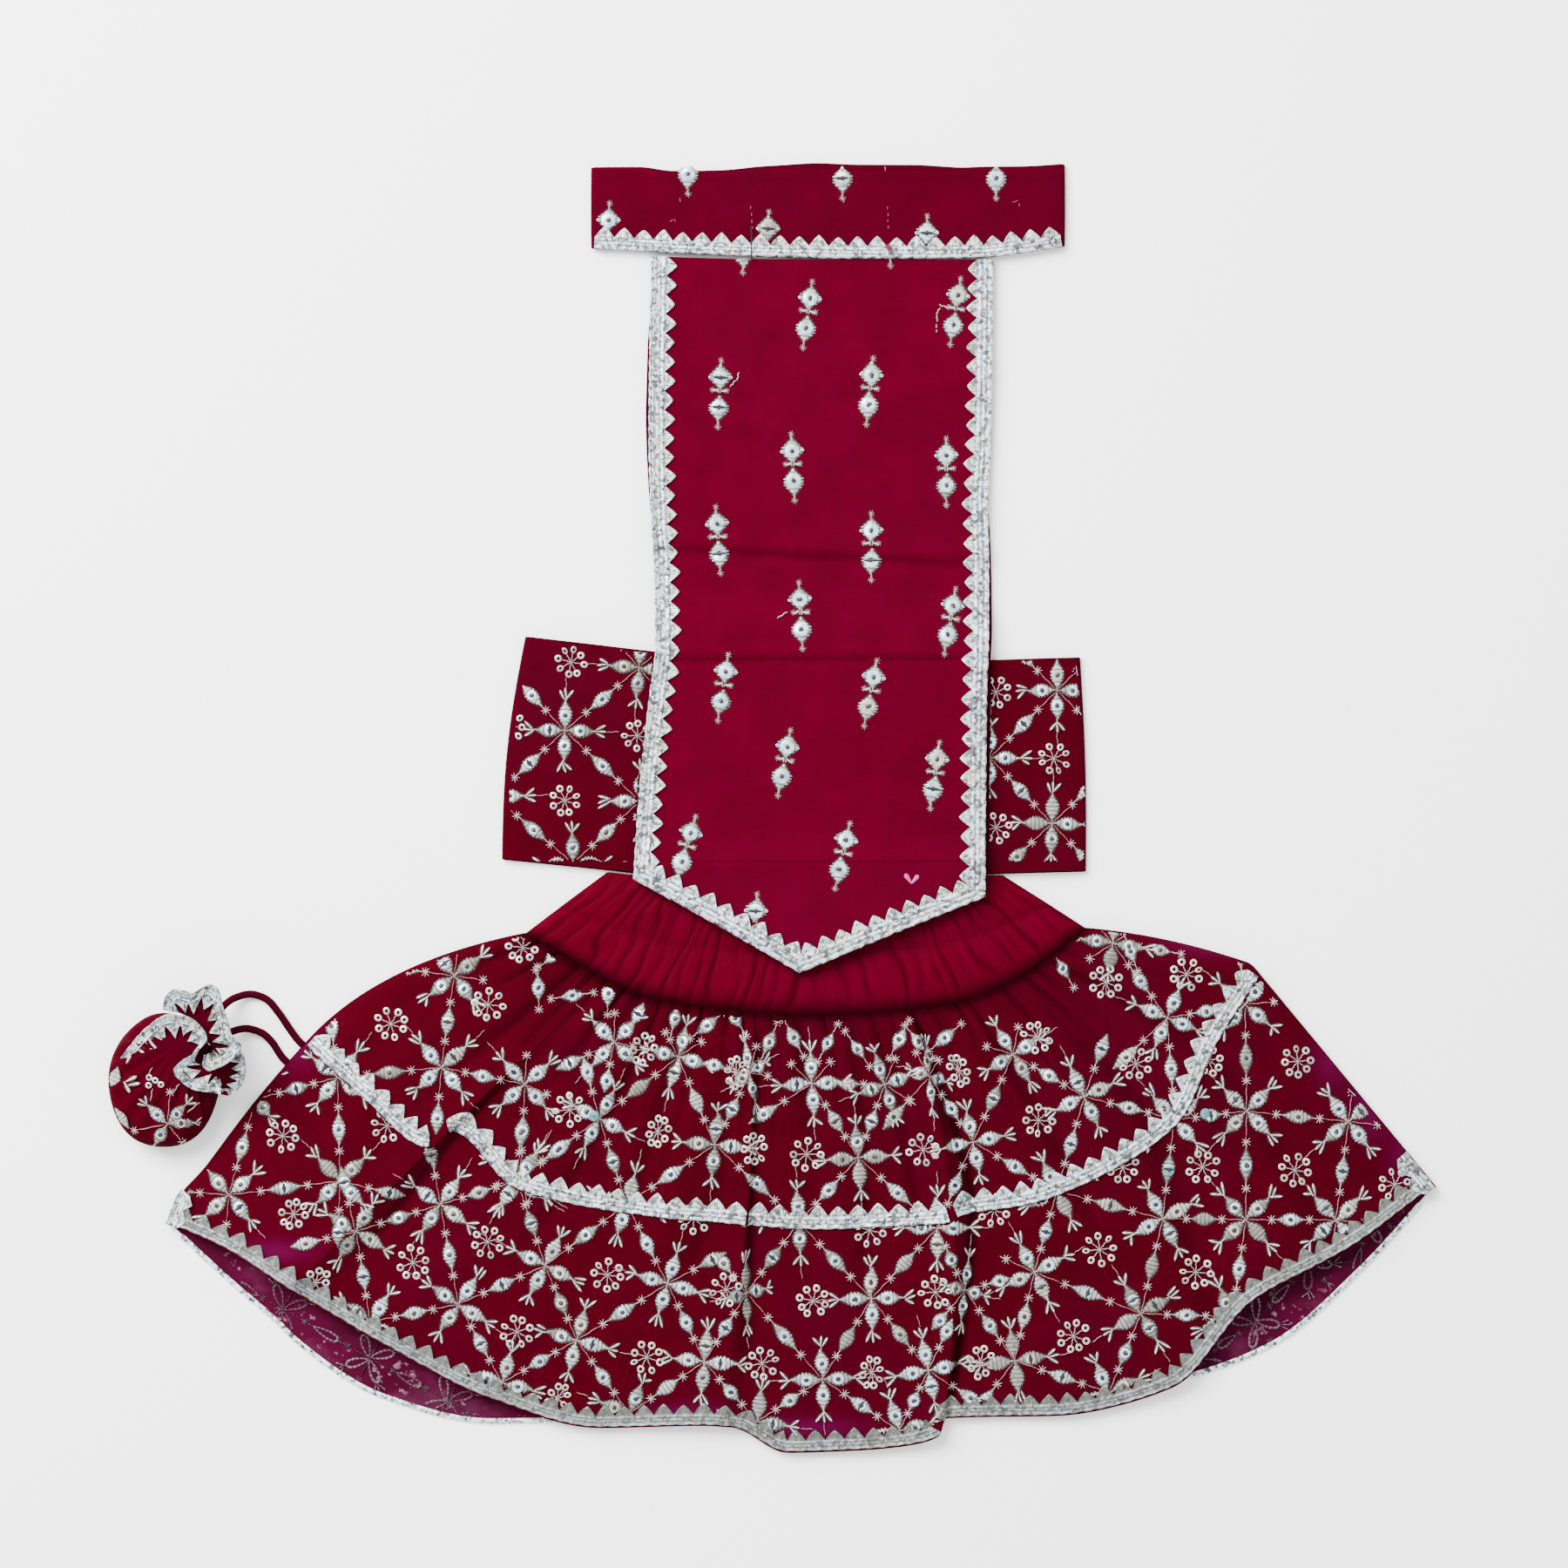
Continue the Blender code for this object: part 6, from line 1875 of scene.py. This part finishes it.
def on_panel(x, y):
    """Height of the panel's sprigs, and where neither its laces nor the neck band cover it."""
    (ax, ay), (bx, by), (cx, cy) = PANEL_LEFT_CORNER, PANEL_TIP, PANEL_RIGHT_CORNER
    low = np.interp(x, (ax, bx, cx), (ay, by, cy)) + 8.3
    left = on_curve(PANEL_EDGE, "left", y) + 5.4
    right = on_curve(PANEL_EDGE, "right", y) - 5.4
    return panel_top(x, y), (y < 189.0) & (y > low) & (x > left) & (x < right)


def on_neck(x, y):
    """Height of the neck band's sprigs, above its lace."""
    return neck_top(x, y), (y > 192.5) & (y < 220.7)


def sprigs(name, spots, place):
    """Sprigs of two sequined leaves with a bow between them."""
    work = Needlework(11)
    big = settings("needlework").sequin / MM * 1.27
    x, y, lean = spots["x"], spots["y"], spots["lean"]
    head = spots.get("top", np.full(len(x), 0.5))
    for rows, wanted, seat in ((SPRIG_TOP, head > 0, 4.5), (SPRIG_FOOT, head < 1, -5.7),
                               (SPRIG_BOW, head == 0.5, None)):
        if not wanted.any():
            continue
        px, py, turn = x[wanted], y[wanted], lean[wanted]
        work.draw(rows, px, py, turn)
        if seat is not None:
            rad = np.radians(turn)
            work.shiny(px - seat * np.sin(rad), py + seat * np.cos(rad), turn, big, 0.2)
    if name == "panel":
        ends = THREAD_ENDS
        work.add("strand", ends["x"], ends["y"], ends["turn"], ends["length"], 0.75, 0.1, 0.3)
    return work.build_all(name, place)


# Pouch


def pouch_ring(turn, place):
    """A ring of the pouch's body, moved towards the mouth and pleated near it."""
    key = POUCH_RINGS["place"]
    z, size, shift = (smooth(place, key, POUCH_RINGS[k]) for k in ("z", "size", "shift"))
    x = POUCH_CENTRE[0] + (POUCH_MOUTH[0] - POUCH_CENTRE[0]) * shift
    y = POUCH_CENTRE[1] + (POUCH_MOUTH[1] - POUCH_CENTRE[1]) * shift
    uneven = np.sin(turn * 2.3 + 1) * 0.3 + 0.7
    pleat = 1 + 0.10 * ease((place - 3.2) / 3) * np.cos(15 * turn + np.sin(2 * turn)) * uneven
    pleat = pleat * (1 + 0.012 * np.sin(3 * turn + place) + 0.01 * np.sin(5 * turn - place * 2))
    sag = -0.7 * ease((place - 3.2) / 3) * (1 - ease((place - 5.8) / 1.2))
    sag = sag * (0.5 - 0.5 * np.cos(15 * turn + np.sin(2 * turn)))
    return (x + POUCH_HALF[0] * size * pleat * np.cos(turn),
            y + POUCH_HALF[1] * size * pleat * np.sin(turn), z + sag)


def pouch_body():
    """The stuffed pouch: rings from its foot to its mouth, closed at both ends."""
    count, rows = 150, 64
    turn, place = np.meshgrid(steps(count), np.linspace(0, POUCH_RINGS["place"][-1], rows))
    x, y, z = pouch_ring(turn, place)
    points = xyz(x, y, np.maximum(z, 0)).reshape(-1, 3)
    ring = np.arange(count)
    after = np.roll(ring, -1)
    last = len(points) - count
    foot = np.stack([after, ring, np.full(count, len(points))], axis=1)
    mouth = np.stack([ring + last, after + last, np.full(count, len(points) + 1)], axis=1)
    faces = grid_quads(rows, count, closed=True).tolist() + foot.tolist() + mouth.tolist()
    ends = [points[:count].mean(axis=0), points[-count:].mean(axis=0)]
    thing = make_object("pouch_body_cloth", np.concatenate([points, ends]), faces, [jaal()],
                        smooth_angle=180)
    return finish_piece(thing, ("pouch_body",))


def on_pouch(x, y):
    """Height of the pouch's upper side: the highest ring that a place lies inside of."""
    places = np.linspace(3, 7, 80)
    key = POUCH_RINGS["place"]
    z, size, shift = (smooth(places, key, POUCH_RINGS[k]) for k in ("z", "size", "shift"))
    cx = POUCH_CENTRE[0] + (POUCH_MOUTH[0] - POUCH_CENTRE[0]) * shift
    cy = POUCH_CENTRE[1] + (POUCH_MOUTH[1] - POUCH_CENTRE[1]) * shift
    share = np.hypot((x[:, None] - cx) / POUCH_HALF[0], (y[:, None] - cy) / POUCH_HALF[1]) / size
    last = (share < 1).sum(axis=1) - 1
    row = np.clip(last, 0, len(places) - 2)
    near = share[np.arange(len(x)), row]
    far = share[np.arange(len(x)), row + 1]
    share_up = unit((1 - near) / np.where(np.abs(far - near) < 1e-6, 1, far - near))
    height = z[row] + (z[row + 1] - z[row]) * share_up
    return height, last >= 0


def basting():
    """Bright basting threads in the neck band and a small tangle on its lace."""
    work = Needlework(17)
    rows = BASTING
    work.add("strand", rows["x"], rows["y"], rows["turn"], rows["length"], 0.55, -0.1)
    x, y, size = TANGLE
    turn = work.random.random(16) * 360
    far = work.random.random(16) * size * 0.55
    work.add("strand", x + far * np.cos(turn), y + far * 1.3 * np.sin(turn), np.degrees(turn) * 1.7,
             size, 0.32, 1.3)

    def on(x, y):
        """The whole neck band's height, its lace's too."""
        return neck_top(x, y), np.ones(len(x), bool)

    made = [work.build("neck_basting_thread", ("strand",), basting_thread(), on)]
    x, low, high = BASTING_CUT
    cut = Needlework(19)
    spots = np.linspace(low, high, 5)
    cut.add("bar", x + 0.1 * np.sin(spots), spots, 90, (high - low) / 3.6, 0.9, 0.9)
    made.append(cut.build("neck_slit_thread", ("bar",), dark_thread(), on))
    mark = Needlework(23)
    rows = PANEL_MARK
    mark.add("finger", rows["x"], rows["y"], rows["turn"], rows["length"], 1.7, 0.05)

    def on_cloth(x, y):
        """The whole panel's height."""
        return panel_top(x, y), np.ones(len(x), bool)

    return made + [mark.build("panel_mark_thread", ("finger",), pink_thread(), on_cloth)]


def through_lens(grid):
    """Places as the photograph shows them, moved in to stand where they show at their height."""
    moved = np.array(grid, dtype=float)
    x, y, far = CAMERA_OVER
    nearer = 1 - moved[..., 2] / far
    moved[..., 0] = x + (moved[..., 0] - x) * nearer
    moved[..., 1] = y + (moved[..., 1] - y) * nearer
    return moved


def flap_grid(rows, count, lines):
    """A flap of the frill: from its edge in to the neck, ruffled and sagging between them."""
    edge = through(xyz(rows["x"], rows["y"], rows["z"]), count)
    length = np.append(0, np.cumsum(np.hypot(np.diff(rows["x"]), np.diff(rows["y"]))))
    at = shares(count)
    inner = np.stack([np.interp(at, length / length[-1], rows[k])
                      for k in ("in_x", "in_y", "in_z")], axis=1)
    down = shares(lines)[:, None, None]
    grid = edge + (inner - edge) * down
    ruffle = 0.25 * np.sin(at * count * 0.33) * np.sin(math.pi * down[..., 0])
    grid[..., 2] += ruffle - 0.9 * np.sin(math.pi * down[..., 0]) * 0.6
    return through_lens(grid)


def pouch_frill():
    """The frill's three flaps of cloth, turned out round the drawn neck."""
    made = []
    for name, rows in (("left", FLAP_LEFT), ("top", FLAP_TOP), ("right", FLAP_RIGHT)):
        grid = flap_grid(rows, 130, 14)
        made.append(cloth_shell("pouch_frill_" + name, grid, 0.5, [jaal(), wrong_side()]))
    return finish_piece(join("pouch_frill_cloth", made), ("pouch_frill",))


def join(name, things):
    """Several objects made into one."""
    bpy.ops.object.select_all(action="DESELECT")
    for thing in things:
        thing.select_set(True)
    bpy.context.view_layer.objects.active = things[0]
    bpy.ops.object.join()
    things[0].name = name
    things[0].data.name = name
    return things[0]


def flap_lace(name, rows, braid, tooth, pitch, start=0.0, end=1.0):
    """A toothed lace along a flap's edge, its teeth towards the neck, a little crumpled."""
    columns, lines = 400, 40
    first, last = int(start * (columns - 1)), int(end * (columns - 1))
    grid = flap_grid(rows, columns, lines)[:, first:last + 1]
    length = run_length(grid[0])
    along, out, relief, values = lace_grid(length, braid, (0.0, 0.0), pitch, tooth)
    reach = np.linalg.norm(grid[-1] - grid[0], axis=1)
    spot = along / length * (grid.shape[1] - 1)
    column_at = np.clip(spot.astype(int), 0, grid.shape[1] - 2)
    part_across = (spot - column_at)[..., None]
    row = np.clip(out / np.interp(spot, np.arange(grid.shape[1]), reach), 0, 0.98) * (lines - 1)
    row_at = np.clip(row.astype(int), 0, lines - 2)
    part_down = (row - row_at)[..., None]
    upper = grid[row_at, column_at] * (1 - part_across) + grid[row_at, column_at + 1] * part_across
    lower = (grid[row_at + 1, column_at] * (1 - part_across)
             + grid[row_at + 1, column_at + 1] * part_across)
    top = upper * (1 - part_down) + lower * part_down
    crumple = 0.45 * np.sin(along * 1.3) + 0.30 * np.sin(along * 2.9 + out)
    rest = top[..., 2] + 0.55 + crumple * np.sin(unit(out / (braid + tooth)) * 2.2)
    top[..., 2] = rest + relief * 1.2
    return cloth_shell(name, top, 0, [silver()], values, floor=rest)


def pouch_laces():
    """The lace on the frill's edges."""
    made = [flap_lace("pouch_lace_left", FLAP_LEFT, 3.4, 5.2, 7.4, 0.0, 0.97),
            flap_lace("pouch_lace_top", FLAP_TOP, 4.0, 5.0, 7.2),
            flap_lace("pouch_lace_right", FLAP_RIGHT, 1.6, 3.4, 3.6)]
    return finish_piece(join("pouch_frill_trim", made), ("pouch_frill_lace",))


def pouch_embroidery():
    """The pouch's star with its claws and knots, and parts of others at the pouch's edges."""
    work = Needlework(13)
    place = through_lens(np.array(POUCH_STAR))
    star = place[:1], place[1:2]
    for turn, mood in ((46, 0.6), (137, 0.3), (236, 0.5), (2, 0.9)):
        work.draw(PETAL, *star, np.array([float(turn)]), 0.84, mood=mood)
        cos, sin = heading(turn)
        work.shiny(star[0] + 4.7 * cos, star[1] + 4.7 * sin, turn + 90, 3.0, mood=0.4)
    for turn, knot in ((84, 11.0), (192, 12.0), (305, 8.0)):
        cos, sin = heading(turn)
        work.add("strand", star[0] + knot / 2 * cos, star[1] + knot / 2 * sin, turn, knot * 0.8, 0.5,
                 0.1, 0.8)
        work.add("knot", star[0] + knot * cos, star[1] + knot * sin, turn, 1.7, 1.7, 0.1, 0.1)
    parts = table(
        "shape x y turn length width",
        (0, -226.4, -93, 70, 8.5, 4.2), (0, -224, -107, -55, 8.5, 3.2), (0, -187, -100.5, 40, 7, 3.2),
        (1, -221.6, -96, -60, 4.2, 1.1), (1, -220, -93.2, 25, 4.2, 1.1), (1, -219, -95, 10, 4, 1),
        (2, -213.7, -92.6, 0, 2.3, 2.2), (2, -213.9, -95.3, 0, 2.3, 2.2), (2, -211.6, -93.6, 0, 2.3, 2.2),
        (2, -209.6, -95, 0, 2.3, 2.2), (3, -212.9, -98.6, 80, 4.5, 0.55), (3, -213.6, -91, 60, 4.5, 0.55),
        (3, -204.4, -96.4, 55, 4.5, 0.55), (3, -198.6, -103, 40, 5.5, 0.55), (3, -219.5, -84, 50, 6, 0.7),
        (1, -221, -86.5, 60, 3, 1),
    )
    for kind, shape in enumerate(("leaf", "finger", "ring", "strand")):
        row = {key: parts[key][parts["shape"] == kind] for key in parts}
        spot = through_lens(xyz(row["x"], row["y"], POUCH_STAR[2]))
        work.add(shape, spot[:, 0], spot[:, 1], row["turn"], row["length"], row["width"], 0.15,
                 0.55 if shape == "ring" else 0.3)
    return work.build_all("pouch", on_pouch)


def cord_piece(name, route, node):
    """A round cord along a smooth curve through its route, with closed ends."""
    places = through(xyz(route["x"], route["y"], route["z"]), 36)
    curve = bpy.data.curves.new(name, "CURVE")
    curve.dimensions = "3D"
    curve.bevel_depth = settings("cloth").cord_diameter / 2
    curve.bevel_resolution = 4
    curve.use_fill_caps = True
    spline = curve.splines.new("POLY")
    spline.points.add(len(places) - 1)
    points = np.concatenate([places * MM, np.ones((len(places), 1))], axis=1)
    spline.points.foreach_set("co", points.ravel())
    spline.use_smooth = True
    look = cloth_look("Cord cloth", settings("cloth").cord, 0.2, 0.6, 0.01, 0.0004, 0.5)
    curve.materials.append(look)
    thing = bpy.data.objects.new(name, curve)
    bpy.context.scene.collection.objects.link(thing)
    finish_piece(thing, (node,))
    settings("cloth").cord_diameter
    return thing


# Stage


def stage():
    """A pale floor, an even sky, one large soft light and the camera straight above."""
    group = settings("stage")
    wide, low = 1500, -0.3
    square = [(-wide, -wide, low), (wide, -wide, low), (wide, wide, low), (-wide, wide, low)]
    floor = make_object("floor", square, [(0, 1, 2, 3)],
                        [Look("Floor").finish(group.floor, 0.9, specular=0.1)])
    light = bpy.data.lights.new("key", "AREA")
    light.energy = group.key_power
    light.shape = "RECTANGLE"
    light.size, light.size_y = 1.1, 0.8
    key = bpy.data.objects.new("key", light)
    key.location = (-0.75, 0.70, 1.15)
    key.rotation_euler = (math.radians(-38), math.radians(-38), 0)
    bpy.context.scene.collection.objects.link(key)
    world = bpy.context.scene.world or bpy.data.worlds.new("sky")
    bpy.context.scene.world = world
    world.use_nodes = True
    sky = world.node_tree.nodes["Background"]
    sky.inputs["Color"].default_value = (1, 1, 1, 1)
    sky.inputs["Strength"].default_value = group.sky
    lens = bpy.data.cameras.new("camera")
    lens.sensor_width = 36
    lens.lens = 36 * group.camera_height / group.field
    camera = bpy.data.objects.new("camera", lens)
    camera.location = (CAMERA_OVER[0] * MM, CAMERA_OVER[1] * MM, group.camera_height)
    bpy.context.scene.collection.objects.link(camera)
    bpy.context.scene.camera = camera
    return floor


# An empty cut step


def declare():
    """States nothing: it only defines, and never calls, a lookup of a surface's embroidery."""
    have = bpy.data.objects
    ends = ("_leaf_work", "_line_work", "_sequins", "_dark_beads", "_stitch_edges_and_shadows")

    def work(name):
        """The pieces of one surface's embroidery."""
        return [have[name + end] for end in ends if name + end in have]


# Add-on


def finished(*made):
    """An operator's answer once its pieces are made; a missing piece stops the script."""
    if any(piece is None for piece in made):
        raise RuntimeError("a piece could not be made")
    return {"FINISHED"}


class LEHENGA_OT_skirt(bpy.types.Operator):
    """Make the gathered skirt"""

    bl_idname = "lehenga.skirt"
    bl_label = "Skirt"

    def execute(self, context):
        return finished(skirt())


class LEHENGA_OT_waistband(bpy.types.Operator):
    """Make the elastic waistband"""

    bl_idname = "lehenga.waistband"
    bl_label = "Waistband"

    def execute(self, context):
        return finished(waistband())


class LEHENGA_OT_belly_band(bpy.types.Operator):
    """Make the embroidered belly band"""

    bl_idname = "lehenga.belly_band"
    bl_label = "Belly band"

    def execute(self, context):
        return finished(belly_band())


class LEHENGA_OT_back_panel(bpy.types.Operator):
    """Make the pointed panel and its lining"""

    bl_idname = "lehenga.back_panel"
    bl_label = "Back panel"

    def execute(self, context):
        return finished(*panel())


class LEHENGA_OT_neck_band(bpy.types.Operator):
    """Make the neck band"""

    bl_idname = "lehenga.neck_band"
    bl_label = "Neck band"

    def execute(self, context):
        return finished(neck_band())


class LEHENGA_OT_laces(bpy.types.Operator):
    """Make the toothed laces of the panel, the neck band and the skirt"""

    bl_idname = "lehenga.laces"
    bl_label = "Laces"

    def execute(self, context):
        return finished(*panel_laces(), neck_lace(), *skirt_laces())


class LEHENGA_OT_needlework(bpy.types.Operator):
    """Stitch the nets of stars, the sprigs and the loose threads"""

    bl_idname = "lehenga.needlework"
    bl_label = "Needlework"

    def execute(self, context):
        made = skirt_embroidery() + back_embroidery() + belly_embroidery()
        made += sprigs("panel", PANEL_SPRIGS, on_panel) + sprigs("neck", NECK_SPRIGS, on_neck)
        return finished(*made, *basting())


class LEHENGA_OT_pouch(bpy.types.Operator):
    """Make the stuffed pouch with its frill, lace and embroidery"""

    bl_idname = "lehenga.pouch"
    bl_label = "Pouch"

    def execute(self, context):
        return finished(pouch_body(), pouch_frill(), pouch_laces(), *pouch_embroidery())


class LEHENGA_OT_cords(bpy.types.Operator):
    """Make the pouch's two cords"""

    bl_idname = "lehenga.cords"
    bl_label = "Cords"

    def execute(self, context):
        return finished(cord_piece("pouch_cord_upper_cord", UPPER_CORD, "pouch_cord_upper"),
                        cord_piece("pouch_cord_lower_cord", LOWER_CORD, "pouch_cord_lower"))


class LEHENGA_OT_cut(bpy.types.Operator):
    """Run the cut step, which states nothing"""

    bl_idname = "lehenga.cut"
    bl_label = "Cut of the cloth"

    def execute(self, context):
        declare()
        return finished()


class LEHENGA_OT_stage(bpy.types.Operator):
    """Set the floor, the light and the camera"""

    bl_idname = "lehenga.stage"
    bl_label = "Stage"

    def execute(self, context):
        return finished(stage())


STEPS = (LEHENGA_OT_skirt, LEHENGA_OT_waistband, LEHENGA_OT_belly_band, LEHENGA_OT_back_panel,
         LEHENGA_OT_neck_band, LEHENGA_OT_laces, LEHENGA_OT_needlework, LEHENGA_OT_pouch,
         LEHENGA_OT_cords, LEHENGA_OT_cut, LEHENGA_OT_stage)


class LEHENGA_PT_panel(bpy.types.Panel):
    """Settings and steps in the sidebar."""

    bl_label = "Dog lehenga"
    bl_idname = "LEHENGA_PT_panel"
    bl_space_type = "VIEW_3D"
    bl_region_type = "UI"
    bl_category = "Lehenga"

    def draw(self, context):
        """Lists the settings and a button for each step."""
        for name, group in GROUPS.items():
            box = self.layout.box()
            box.label(text=name.capitalize())
            for key in group.__annotations__:
                box.prop(settings(name), key)
        for kind in STEPS:
            self.layout.operator(kind.bl_idname)


GROUPS = {"cloth": LehengaCloth, "lace": LehengaLace, "needlework": LehengaNeedlework,
          "stage": LehengaStage}


def register():
    """Registers the settings, the operators and the panel."""
    for name, group in GROUPS.items():
        bpy.utils.register_class(group)
        setattr(bpy.types.Scene, "lehenga_" + name, bpy.props.PointerProperty(type=group))
    for kind in STEPS:
        bpy.utils.register_class(kind)
    bpy.utils.register_class(LEHENGA_PT_panel)


def unregister():
    """Removes what register added."""
    bpy.utils.unregister_class(LEHENGA_PT_panel)
    for kind in reversed(STEPS):
        bpy.utils.unregister_class(kind)
    for name, group in reversed(GROUPS.items()):
        delattr(bpy.types.Scene, "lehenga_" + name)
        bpy.utils.unregister_class(group)


def main():
    """Builds everything."""
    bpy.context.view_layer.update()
    register()
    for kind in STEPS:
        getattr(bpy.ops.lehenga, kind.bl_idname.split(".")[1])()


if __name__ == "__main__":
    main()
